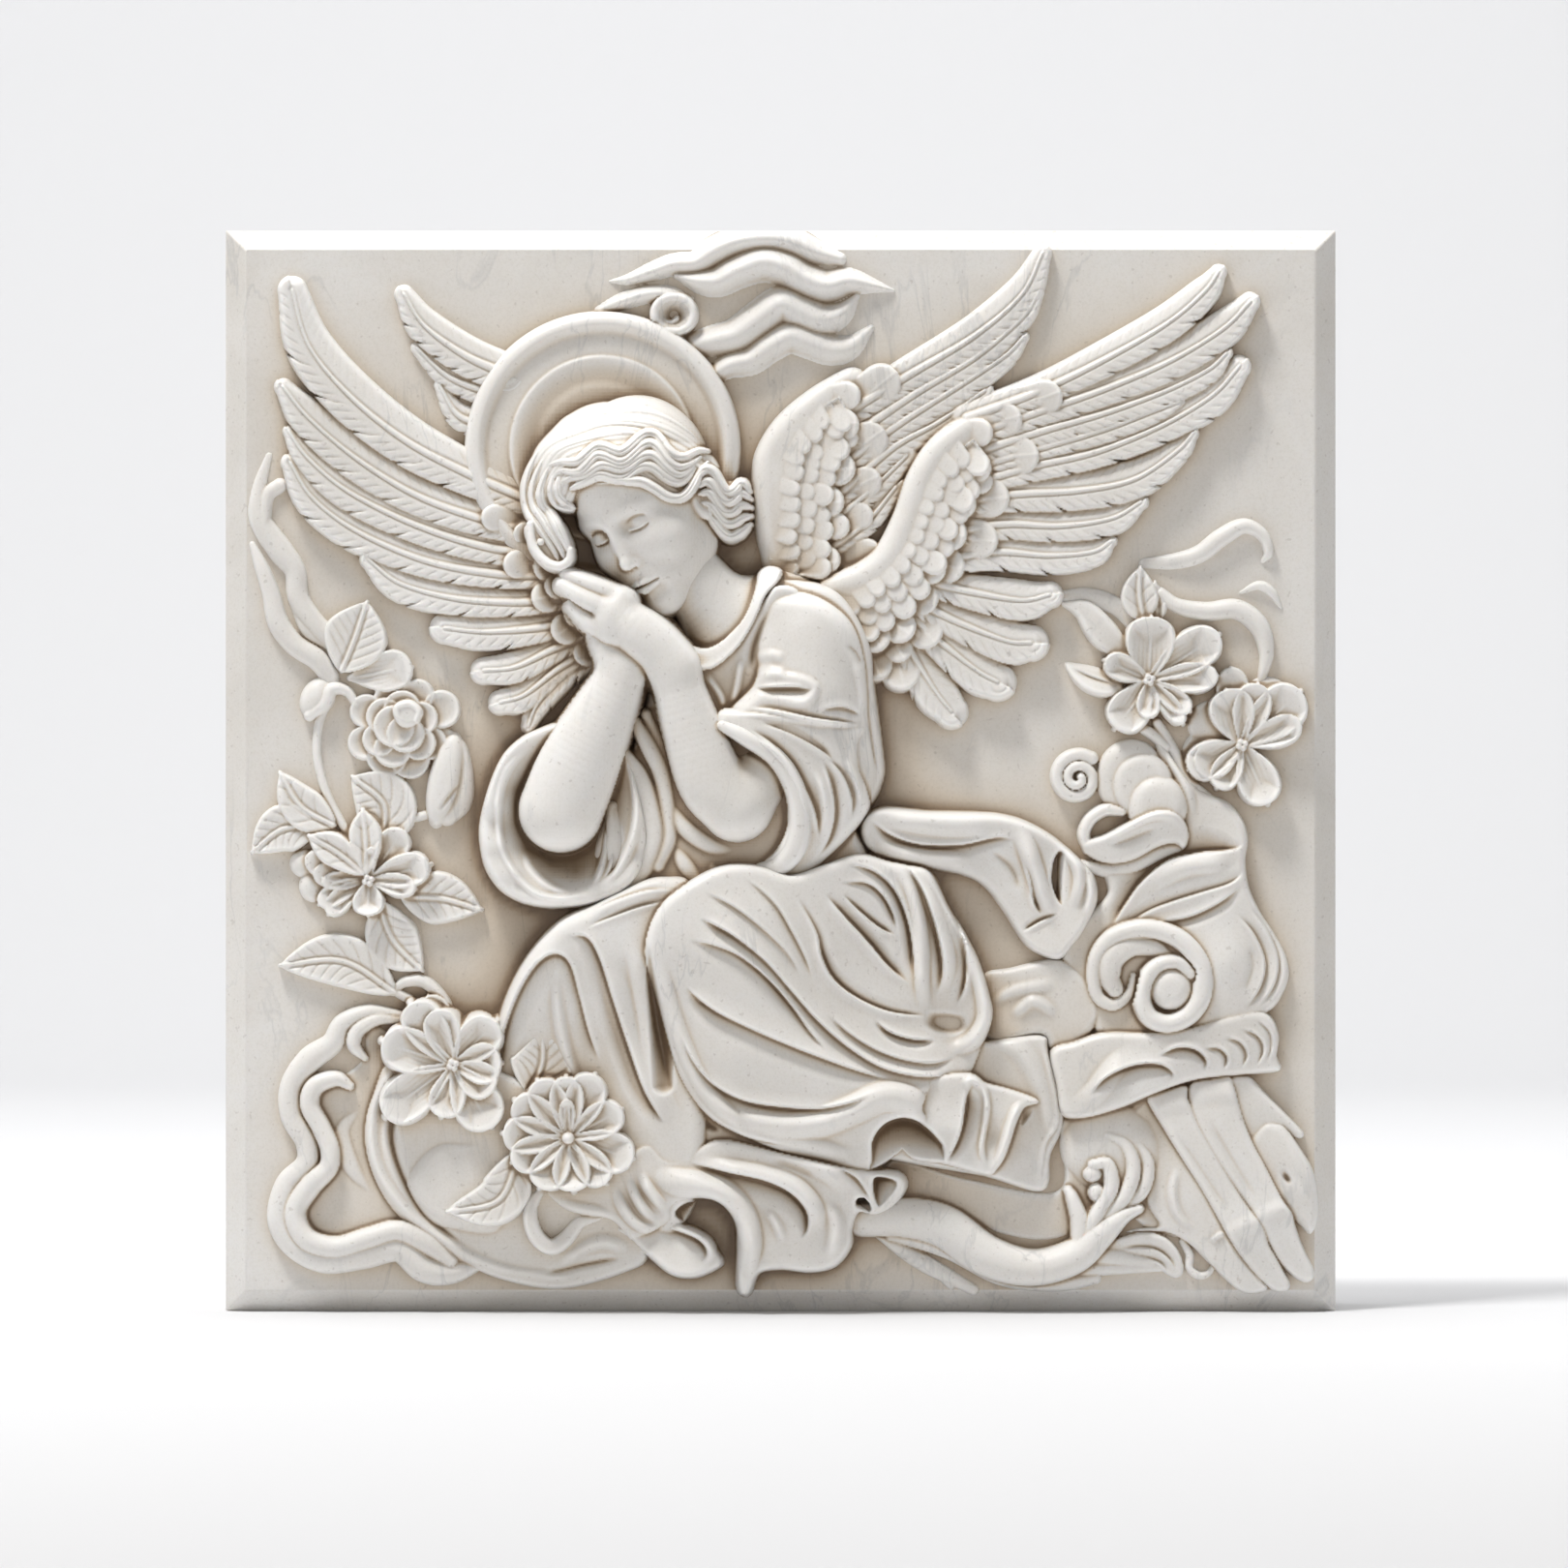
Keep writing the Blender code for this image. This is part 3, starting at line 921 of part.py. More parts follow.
def right_garden(c):
    leaf(c, 196, 372, 194, 402, 10, 6, base=1, bend=0.05)
    leaf(c, 203, 372, 202, 394, 6, 5, base=0)
    stroke(c, [(153, 382, 1.5, 3), (164, 378, 6, 6), (174, 366, 8, 7),
        (186, 355, 5, 5)], base=0.5, edge=3)
    leaf(c, 182, 338, 155, 348, 8, 6, bend=0.35, base=1)
    # stems
    stroke(c, [(203, 318, 3, 4), (212, 303, 3, 4), (222, 285, 3, 5), (238, 270, 4, 5)], base=0)
    stroke(c, [(190, 318, 3, 4), (200, 312, 3, 4), (208, 305, 3, 4)], base=1)
    dome(c, 232, 318, 13, 12, 5, turn=20)
    dome(c, 228, 300, 12, 14, 4)
    dome(c, 262, 333, 12, 10, 5)
    petal(c, 246, 310, 95, 38, 9, 6, 1, cup=0.4)
    flower(c, 198.5, 341, [
        (308, 30, 5), (322, 28, 6), (156, 26, 7), (238, 32, 11, -6), (268, 21, 6), (3, 37, 8),
            (88, 34, 13), (33, 45, 11),
    ], base=5, height=9)
    flower(c, 248.5, 306, [
        (205, 32, 10), (75, 34, 10), (240, 27, 8), (208, 28, 10), (294, 35, 11), (106, 31, 12),
            (20, 34, 8), (42, 43, 13),
    ], base=4, height=9)


# The seated figure

def back_cloth(c):
    """What lies behind the arms: the neck, the bodice and the gathered cloth at the waist."""
    plate(c, [(-46, 350), (-28, 362), (-14, 380), (-7, 394), (2, 395), (30, 388), (47, 362), (50, 335),
        (54, 305), (55, 290), (50, 277),
              (40, 262), (45, 240), (0, 225), (-60, 228), (-95, 225), (-100, 250), (-84, 290),
                  (-74, 320), (-66, 345)],
          [(-20, 374, 26), (-10, 350, 34), (30, 350, 34), (-70, 300, 22), (-75, 260, 24), (-60, 240, 26),
           (-60, 330, 20), (20, 300, 32), (45, 300, 22), (30, 250, 24), (0, 240, 30), (48, 350, 22)],
          edge=6)
    put_form(c, neck_form, (-85, 325), (40, 430))
    # neckband and the bodice under it
    stroke(c, [(-54, 353, 5, 33), (-42, 352, 5, 36), (-28, 359, 5, 38), (-15, 375, 5, 38),
        (-5, 391, 4.5, 35), (-1, 399, 4, 27)], edge=2.0, base=1)
    plate(c, [(-48, 349), (-36, 350), (-22, 360), (-8, 384), (-1, 391), (10, 386), (2, 360), (-4, 340),
        (-20, 330), (-36, 322)],
          [(-40, 340, 34), (-20, 350, 36), (-4, 375, 36), (-24, 335, 34), (0, 360, 34)],
          [("ridge", [(-21, 352, 3, 2), (-23, 338, 3, 2), (-26, 326, 3, 2)]),
              ("valley", [(-6, 378, 3, 2), (-14, 360, 4, 3), (-16, 345, 4, 2)]),
           ("ridge", [(-40, 344, 3, 1.5), (-32, 332, 3, 2), (-30, 322, 3, 1)])], edge=2.5)
    # gathered cloth between the forearms
    for rows in (
        [(-84, 300, 4, 26), (-76, 288, 6, 29), (-70, 272, 6, 31), (-68, 255, 7, 31), (-76, 238, 7, 30),
            (-92, 226, 5, 27)],
        [(-78, 318, 3, 24), (-70, 304, 5, 28), (-64, 290, 5, 29), (-61, 272, 5, 30), (-60, 256, 5, 30),
            (-66, 242, 5, 29)],
        [(-90, 272, 4, 24), (-88, 255, 6, 29), (-90, 240, 6, 29), (-100, 229, 5, 26)],
        [(-72, 322, 3, 22), (-66, 308, 4, 25), (-62, 296, 4, 26)],
        [(-60, 274, 4, 27), (-52, 262, 5, 31), (-38, 252, 5, 32), (-24, 249, 4, 30)],
        [(-58, 256, 3, 24), (-52, 243, 5, 30), (-44, 233, 5, 30)],
        [(-36, 250, 3, 26), (-36, 240, 5, 30), (-32, 232, 5, 30)],
        [(-24, 250, 3, 28), (-26, 240, 4, 31)],
    ):
        stroke(c, rows, base=0)


def upper_sleeve(c):
    """The shoulder and the wide sleeve that turns back round the near elbow."""
    plate(c, [(-8, 384), (8, 388), (24, 383), (38, 371), (45, 352), (48, 330), (52, 305), (55, 290),
        (51, 277), (40, 264), (20, 262), (10, 290), (-10, 312), (-28, 322), (-14, 340), (-14, 362)],
          [(-6, 372, 38), (10, 370, 45), (28, 360, 44), (8, 345, 47), (30, 335, 45), (44, 340, 32),
              (-10, 345, 42), (-20, 326, 46), (0, 325, 48), (28, 320, 45),
           (48, 315, 27), (52, 290, 20), (20, 290, 40), (40, 290, 34), (30, 268, 28)],
          [("ridge", [(-14, 352, 3, 2.5), (-6, 354, 3.5, 3), (3, 352, 3, 2)]),
              ("ridge", [(-15, 344, 3, 3), (-6, 345, 4, 4), (4, 344, 3, 2)]),
           ("crease", [(-15, 336, 3, 3), (-2, 336.5, 7, 6), (8, 336.5, 7, 6), (18, 335, 3, 2)]),
           ("ridge", [(-26, 330, 4, 2), (-12, 341, 3, 3), (6, 342, 3, 3), (18, 337, 3, 3),
               (14, 329, 3, 2.5), (0, 327, 4, 2)]),
           ("pleat", [(44, 317, 4, 4), (20, 320, 6, 5), (-4, 325, 6, 4), (-18, 326, 4, 2)]),
           ("crease", [(20, 324.5, 3, 2), (33, 326, 6, 4), (44, 322, 4, 3)]),
           ("valley", [(44, 348, 3, 2), (40, 356, 4, 3), (34, 360, 3, 1)]),
           ("ridge", [(40, 352, 4, 2), (44, 335, 4, 3), (44, 322, 4, 2)]),
           ("valley", [(48, 345, 3, 4), (48, 325, 3, 5), (50, 308, 3, 5), (52, 290, 2.5, 3)])],
          edge=9)
    # folds fan out from where the cuff is gathered
    stroke(c, [(-31, 323, 2.5, 44), (-10, 321, 5, 47), (15, 314, 8, 46), (34, 304, 10, 42),
        (44, 290, 9, 36), (45, 276, 6, 30)], edge=7)
    stroke(c, [(-32, 321, 2.5, 45), (-12, 316.5, 5, 48), (8, 308, 8, 47), (26, 293, 10.5, 43),
        (35, 276, 10, 38), (33, 260, 6, 31)], edge=7)
    stroke(c, [(30, 296, 2, 38), (36, 285, 4, 42), (40, 272, 4, 37)], edge=4)
    stroke(c, [(-32, 319, 2.5, 46), (-14, 312, 5, 49), (3, 301, 7.5, 48), (17, 284, 9.5, 44),
        (23, 266, 9, 39), (18, 248, 7, 33)], edge=7)
    stroke(c, [(-32, 318, 2.5, 46), (-16, 310, 4, 49), (-1, 297, 5, 48), (10, 280, 6.5, 45),
        (14, 262, 7, 41), (9, 246, 6, 36), (-4, 239, 3, 33)], edge=6)


def cuff_lip(c):
    stroke(c, [(-31, 316, 3, 50), (-20, 308.5, 4.2, 52), (-6, 298, 4.6, 51), (2.5, 283, 4.3, 50),
        (5.5, 266, 4.3, 48), (3, 250, 5, 45), (-6, 241, 3.4, 40), (-16, 246, 2, 36)], edge=4)


def arms(c):
    """Both forearms, the wide sleeve of the far one, and the hands laid together."""
    # the far sleeve: an open ring of cloth under the elbow
    plate(c, [(-136, 312), (-150, 296), (-160, 272), (-160, 245), (-148, 228), (-125, 219), (-102, 220),
        (-84, 232), (-72, 250), (-74, 275), (-90, 300)],
          [(-130, 290, 10), (-150, 262, 9), (-120, 238, 10), (-95, 238, 14), (-95, 265, 12)], edge=5)
    stroke(c, [(-133, 312, 4, 30), (-146, 298, 5.5, 34), (-155, 276, 6, 35), (-156, 252, 7, 35),
        (-143, 232, 8, 36), (-122, 223, 8, 36), (-102, 225, 8, 36), (-86, 236, 6, 34)], edge=6)
    stroke(c, [(-136, 306, 3, 28), (-147, 286, 4, 30), (-149, 262, 5, 30), (-142, 243, 6, 31),
        (-124, 233, 6, 31), (-106, 233, 5, 30), (-94, 244, 4, 28), (-90, 262, 4, 26)], edge=5)
    stroke(c, [(-96, 226, 4, 30), (-84, 236, 5, 33), (-77, 252, 5, 34), (-78, 272, 4, 32),
        (-84, 290, 3, 28)], edge=4)
    put_form(c, far_arm_form, (-148, 242), (-62, 395))


def hands(c):
    """The near forearm and its hand, laid against the far one."""
    put_form(c, near_hand_form, (-125, 248), (12, 406))


def lap(c):
    """The robe over the knees and down to its hem."""
    # the corner of cloth behind the legs
    plate(c, [(45, 245), (60, 242), (72, 228), (86, 205), (100, 190), (110, 175), (113, 160), (108, 146),
        (140, 149),
              (144, 140), (152, 105), (145, 85), (141, 66), (110, 74), (66, 82), (30, 90), (0, 130),
                  (0, 200), (20, 235)],
          [(60, 230, 18), (90, 190, 14), (105, 165, 12), (125, 145, 11), (145, 110, 9), (120, 80, 10),
              (70, 90, 14),
           (30, 180, 20), (60, 150, 18), (30, 120, 20)],
          [("ridge", [(112, 148, 4, 1), (130, 140, 8, 3), (142, 118, 8, 2.5), (146, 95, 4, 1)]),
           ("pleat", [(140, 66, 3, 1), (143, 90, 4, 2), (150, 106, 4, 2), (142, 148, 3, 1.5)])],
          edge=2.5)
    # far leg
    plate(c, [(-48, 231), (-62, 235), (-76, 232), (-100, 220), (-118, 211), (-134, 194), (-146, 172),
        (-153, 150), (-156, 120),
              (-152, 90), (-136, 68), (-100, 56), (-75, 42), (-55, 45), (-40, 90), (-45, 150),
                  (-50, 200)],
          [(-60, 226, 39), (-95, 212, 43), (-122, 200, 41), (-142, 165, 26), (-148, 120, 12),
              (-122, 165, 27), (-112, 130, 18),
           (-90, 190, 42), (-70, 160, 32), (-85, 115, 25), (-60, 100, 29), (-100, 75, 14), (-60, 60, 22),
               (-118, 182, 34)],
          [("crease", [(-152, 130, 6, 3), (-149, 150, 10, 7), (-141, 172, 13, 9), (-131, 188, 13, 10),
              (-121, 194, 11, 9), (-113, 189, 10, 7),
                       (-108, 172, 9, 5), (-103, 152, 9, 4), (-97, 135, 8, 2)]),
           ("ridge", [(-121, 184, 3, 2), (-119, 160, 5, 4), (-115, 140, 5, 4), (-108, 120, 4, 2)]),
           ("crease", [(-116, 204, 4, 2), (-104, 203, 8, 6), (-97, 192, 10, 8), (-90, 170, 11, 8),
               (-82, 145, 11, 8), (-73, 120, 10, 7), (-62, 102, 8, 4)]),
           ("roll", [(-96, 196, 5, 2), (-88, 176, 7, 4), (-80, 150, 7, 4), (-71, 125, 7, 4),
               (-60, 106, 6, 3)]),
           ("roll", [(-84, 210, 4, 1), (-77, 190, 5, 3), (-74, 165, 5, 4), (-70, 140, 6, 5),
               (-64, 118, 6, 5), (-54, 100, 5, 4)]),
           ("pleat", [(-56, 229, 4, 2), (-72, 228, 6, 4), (-88, 223, 6, 4), (-104, 216, 4, 2)]),
           ("crease", [(-60, 223, 3, 2), (-76, 219, 5, 4), (-92, 213, 5, 3), (-106, 207, 3, 1)])],
          edge=9)
    # near leg: thigh, knee and the long cloth falling from it
    plate(c, [(-30, 241), (-12, 241), (5, 236), (22, 241), (42, 247), (58, 243), (68, 241), (80, 237),
        (90, 217), (99, 202), (106, 188),
              (111, 172), (113, 160), (109, 145), (102, 129), (97, 127),
              (86, 126), (76, 112), (78, 104), (66, 90), (45, 77), (20, 83), (0, 88), (-22, 97),
                  (-40, 108), (-54, 128), (-64, 160), (-72, 190),
              (-70, 208), (-62, 222), (-46, 234)],
          [(-25, 232, 49), (-55, 215, 53), (-66, 195, 51), (-40, 205, 54), (-10, 215, 50), (10, 225, 43),
              (45, 235, 31), (20, 200, 41),
           (55, 205, 27), (70, 215, 25), (95, 200, 20), (108, 165, 16), (100, 135, 18), (88, 155, 16),
           (-62, 165, 40), (-30, 175, 50), (0, 170, 45), (40, 165, 34), (70, 170, 24), (80, 140, 26),
               (60, 140, 32), (20, 140, 42),
           (-25, 140, 46), (-48, 130, 38), (-20, 110, 38), (15, 100, 36), (50, 112, 35), (40, 88, 30)],
          [("roll", [(-66, 200, 3, 2), (-61, 174, 4.5, 4), (-53, 148, 5, 5), (-44, 128, 5, 5),
              (-33, 113, 5, 5), (-20, 103, 4.5, 4), (-4, 97, 4, 3)]),
           ("roll", [(-34, 116, 5, 2), (-18, 106, 7, 5), (0, 101, 8, 7), (20, 103, 8, 7),
               (38, 110, 8, 7), (54, 117, 8, 8), (66, 116, 8, 8),
                     (77, 108, 7, 7), (87, 98, 5, 5)]),
           ("roll", [(-34, 104, 3, 2), (-14, 97, 4.5, 4), (8, 93, 5, 4), (28, 88, 5, 4), (48, 82, 4, 3)]),
           ("crease", [(-44, 214, 4, 4), (-36, 210, 7, 7), (-24, 203, 9, 7), (-8, 190, 10, 6),
               (6, 174, 10, 6), (20, 158, 10, 6), (36, 144, 10, 6),
                       (54, 133, 9, 6), (74, 128, 8, 5), (96, 128, 5, 3)]),
           ("crease", [(-50, 202, 5, 2), (-36, 199, 9, 4), (-22, 193, 11, 6), (-7, 181, 12, 7),
               (6, 166, 12, 6), (16, 152, 10, 4), (27, 140, 7, 1)]),
           ("crease", [(-51, 178, 4, 4), (-45, 171, 8, 7), (-34, 163, 11, 7), (-18, 155, 12, 6),
               (0, 147, 12, 6), (20, 139, 11, 6), (42, 131, 9, 5),
                       (60, 126, 6, 2)]),
           ("crease", [(-54, 152, 5, 1), (-47, 137, 8, 4), (-36, 124, 9, 6), (-20, 115.5, 9, 7),
               (0, 112, 9, 7), (20, 111, 8, 6), (36, 114, 7, 4),
                       (50, 119, 5, 1)]),
           ("crease", [(-50, 110, 3, 5), (-43, 104, 6, 8), (-31, 99, 6, 8), (-16, 95, 5, 5),
               (5, 91, 4, 3)]),
           ("crease", [(80, 160, 3, 2), (58, 163, 6, 5), (40, 171, 7, 6), (28, 181, 7, 8),
               (22, 193, 6, 8), (19, 206, 5, 4), (8, 226, 3, 1)]),
           ("crease", [(70, 177, 4, 4), (58, 187, 7, 7), (47, 200, 8, 8), (35, 213, 8, 7),
               (23, 227, 4, 3)]),
           ("crease", [(34, 243, 3, 2), (50, 238, 5, 6), (61, 228, 6, 8), (68, 212, 6, 9),
               (71, 195, 6, 9), (71.5, 180, 4, 5)]),
           ("crease", [(63, 203, 3, 3), (53, 208, 5, 6), (42, 217, 5, 6), (32, 227, 3, 2)]),
           ("crease", [(31, 232, 3, 2), (45, 232, 5, 5), (54, 226, 5, 7), (60, 216, 5, 7),
               (63, 205, 3, 4)]),
           ("crease", [(66, 244, 3, 2), (76, 228, 6, 6), (82, 212, 7, 8), (86, 196, 7, 9),
               (87, 183, 6, 7), (84, 171, 4, 3)]),
           ("crease", [(78, 243, 3, 3), (90, 224, 5, 6), (97, 206, 6, 7), (100, 190, 7, 8),
               (99, 176, 6, 7), (94, 165, 4, 3)]),
           ("roll", [(70, 242, 2.5, 3), (79, 225, 3.6, 5), (86, 207, 4, 6), (90, 191, 4, 7),
               (89, 179, 3.6, 6), (84, 167, 3, 3)]),
           ("roll", [(82, 238, 3, 3), (91, 222, 4.5, 6), (100, 205, 5, 7), (106, 188, 5.5, 8),
               (110, 172, 5.5, 9), (110, 158, 5, 9), (103, 147, 5, 8),
                     (92, 143, 4, 5), (82, 144, 3, 2)]),
           ("roll", [(58, 244, 3, 3), (68, 232, 3.4, 5), (74, 214, 3.8, 6), (76, 195, 4, 7),
               (76, 177, 4.2, 8), (79, 158, 3.6, 5)]),
           ("crease", [(50, 159, 3, 4), (58, 152, 5, 7), (70, 148, 6, 7), (84, 147, 5, 4)]),
           ("crease", [(24, 163, 5, 1), (36, 152, 8, 4), (50, 143, 8, 5), (66, 137, 7, 5),
               (82, 135, 6, 4), (96, 139, 4, 1)]),
           ("pocket", [(76, 160, 4, 1), (84, 157, 6, 5), (93, 156, 6, 5), (102, 157, 4, 1)]),
           ("crease", [(-20, 236, 4, 1), (-4, 222, 7, 3), (6, 206, 7, 4), (14, 190, 6, 3),
               (18, 178, 5, 1)]),
           ("crease", [(-42, 228, 5, 1), (-26, 220, 8, 3), (-10, 208, 9, 3), (4, 194, 8, 2),
               (12, 180, 6, 1)])],
          edge=5)
    # the long spoon-shaped hollow between the knees
    groove(c, [(-71, 200, 1.5, 2), (-69, 178, 3.2, 7), (-66, 156, 4.6, 9), (-63.5, 138, 6.2, 9),
        (-63, 124, 6.0, 8)])


def groove(c, rows):
    """Cuts a round-bottomed channel. rows are (x, z, half width, depth)."""
    path = curve(rows, 2.0)
    box, x, z = c.window(path[:, :2].min(0), path[:, :2].max(0), path[:, 2].max() + 1)
    if x.size == 0:
        return
    place, off, _, (w, h) = along(x, z, path)
    u = np.clip(np.abs(off) / w, 0, 1)
    c.put(box, -h * (1 - u**2) ** 1.2 * smooth(place / 10), "add")


def hem(c):
    """The gathered lower edge of the robe."""
    # fluted end at the right
    plate(c, [(84, 128), (99, 129), (109, 122), (126, 118), (139, 113), (130, 96), (120, 77), (112, 75),
        (100, 77), (87, 81), (70, 84), (62, 100), (70, 120)],
          [(75, 118, 26), (85, 120, 25), (104, 120, 18), (120, 112, 16), (135, 110, 13), (110, 80, 14),
              (80, 88, 18)],
          [("roll", [(86, 80, 2.5, 4), (93, 88, 4, 9), (97.5, 104, 4.2, 11), (99.5, 118, 4, 10),
              (103, 128, 3, 5)]),
           ("roll", [(104, 127, 2.5, 4), (108, 116, 3.2, 9), (107.5, 102, 3.2, 10), (107, 90, 3.4, 10),
               (112, 79, 3, 7)]),
           ("roll", [(110, 79, 2.5, 4), (117, 81, 3.2, 8), (122, 92, 3.2, 9), (128, 105, 3, 8),
               (137, 114, 2.5, 4)]),
           ("pocket", [(103, 124, 2, 2), (103, 108, 4, 5), (101, 92, 3.4, 3)]),
           ("pocket", [(114, 112, 3, 1), (115, 98, 5, 3), (113, 88, 3, 2)])],
          edge=3)
    hollow(c, [(46, 70), (47.5, 84), (48.5, 94), (55, 102.5), (65, 106), (75, 103.5), (85, 95), (89, 88),
        (89, 70), (66, 66)],
           [(60, 102, 5), (80, 96, 7), (50, 84, 20), (66, 84, 19), (86, 84, 18), (66, 70, 22)])
    # the long lower layer
    plate(c, [(-72, 92), (-60, 84), (-44, 90), (-30, 94), (0, 87), (30, 80), (48, 77), (63, 75),
        (67, 68), (61, 58), (51, 53.5), (42, 55), (38, 46), (37, 36), (29, 26), (16, 23),
              (0, 24.5), (-12, 22), (-17, 11.5), (-20, 10.5), (-22.5, 15), (-22.5, 36), (-24, 50),
                  (-32, 60), (-44, 63), (-58, 58), (-60, 50), (-78, 40), (-84, 44), (-92, 51), (-106, 53),
              (-118, 57), (-128, 66), (-110, 74), (-90, 80)],
          [(-100, 65, 19), (-80, 50, 20), (-70, 80, 25), (-45, 84, 28), (-10, 82, 32), (30, 72, 32),
              (55, 70, 24), (60, 60, 17), (40, 62, 26), (20, 50, 29),
           (-10, 62, 28), (-10, 40, 26), (10, 35, 27), (30, 35, 25), (-18, 18, 20), (-40, 70, 28),
               (-28, 55, 24)],
          [("roll", [(-72, 84, 4, 3), (-60, 73, 7, 7), (-44, 69.5, 8, 9), (-31, 65, 8, 10),
              (-21, 54, 7.5, 10), (-16, 40, 6, 10), (-17, 26, 4.5, 9), (-19, 13, 3, 5)]),
           ("roll", [(-48, 84, 3, 3), (-30, 80, 4.5, 5), (-8, 75.5, 5, 6), (8, 69.5, 5, 7),
               (18.5, 58, 4.6, 7), (20, 46, 4, 6), (15, 39, 2.5, 3)]),
           ("crease", [(-50, 82, 5, 3), (-30, 77, 11, 8), (-8, 72, 13, 10), (6, 65, 12, 10),
               (14, 55, 10, 9), (14, 45, 7, 6), (9, 40, 3, 2)]),
           ("roll", [(-10, 90, 4, 3), (8, 85, 6, 4), (24, 78.5, 6.5, 5), (35, 69.5, 6, 5),
               (40, 60, 4, 4)]),
           ("crease", [(30, 80, 3, 3), (40, 74, 5, 6), (46, 66, 4, 5), (49, 60, 2, 2)]),
           ("ridge", [(24, 62, 4, 1), (30, 50, 6, 4), (29, 38, 6, 4), (22, 29, 4, 1)]),
           ("roll", [(-90, 74, 2.5, 3), (-86, 60, 3.4, 6), (-78, 49, 3.2, 6), (-68, 45.5, 3, 5),
               (-60, 49, 2, 3)]),
           ("roll", [(-83, 78, 2.5, 3), (-78, 64, 3.0, 6), (-71, 54, 3, 6), (-62, 51, 2, 4)]),
           ("roll", [(-77, 80, 2.5, 3), (-71, 68, 3.4, 6), (-63, 58, 3, 5), (-58, 54, 2, 3)]),
           ("roll", [(-126, 64, 3, 2), (-112, 57, 4, 4), (-98, 54, 4, 4), (-86, 47, 3.5, 4)]),
           ("ridge", [(-8, 58, 3, 1), (-2, 48, 4, 3), (2, 38, 4, 1)]),
           ("pocket", [(-6, 84, 3, 0.5), (8, 80, 3, 2), (20, 74, 2, 1)])],
          edge=3.5)
    hollow(c, [(39, 57), (40.5, 61.5), (44.5, 62.5), (48.5, 58), (49.5, 54), (45, 53)], [(40, 60, 9),
        (45, 57, 13), (48, 55, 17)])
    hollow(c, [(50, 74), (61, 73.5), (64, 69), (58.5, 60), (52, 56.5), (49, 64)], [(52, 72, 8),
        (61, 72, 14), (60, 64, 19), (52, 58, 18)])
    # the curl: a deep hollow with a tongue of cloth turned up in front
    hollow(c, [(-58, 54), (-52, 60), (-42, 61.5), (-33, 58), (-27, 50), (-24, 40), (-26, 31), (-34, 24),
        (-38, 30), (-36, 37), (-42, 43), (-52, 47)],
           [(-45, 58, 5), (-28, 46, 5), (-30, 30, 15), (-55, 52, 10)])
    plate(c, [(-88, 46), (-74, 49), (-60, 50.5), (-52, 47), (-44, 43.5), (-37.5, 39), (-34.5, 33),
        (-32, 27), (-40, 22), (-48, 20), (-58, 21.5), (-68, 29), (-80, 40)],
          [(-60, 40, 19), (-42, 34, 18), (-50, 24, 22), (-80, 42, 17), (-36, 26, 19)],
          [("roll", [(-64, 49.5, 2, 3), (-52, 46, 2.8, 7), (-42, 41.5, 3, 8), (-37.2, 34.5, 2.8, 7),
              (-40, 27.5, 2.2, 4), (-46, 24, 1.5, 2)]),
           ("crease", [(-66, 47, 5, 3), (-52, 43.5, 8, 6), (-43, 39, 8, 7), (-39.5, 33, 5, 5),
               (-42, 28, 3, 2)])], edge=3)
    # the small pointed turn under the lower flower
    stroke(c, [(-128, 68, 2.5, 18), (-134.5, 56, 3.6, 22), (-132, 43, 4, 23), (-124, 36, 4, 22),
        (-116, 40, 4, 20), (-108, 49, 3.4, 18), (-98, 52, 2.5, 16)], edge=3)
    plate(c, [(-130, 66), (-118, 58), (-110, 52), (-114, 42), (-122, 34), (-132, 42),
        (-136, 56)], [(-124, 50, 12)], edge=3)


def hollow(c, outline, knots):
    """Cuts down to a floor through knots inside a closed outline."""
    path = closed_curve(outline)
    box, x, z = c.window(path.min(0), path.max(0), 2)
    if x.size == 0:
        return
    _, off, _, _ = along(x, z, path)
    inside = inside_of(x, z, path)
    depth = np.where(inside, through(x, z, knots) + 30 * np.clip(1 - np.abs(off) / 2.2, 0, 1) ** 2, 1e3)
    c.put(box, depth, "min")


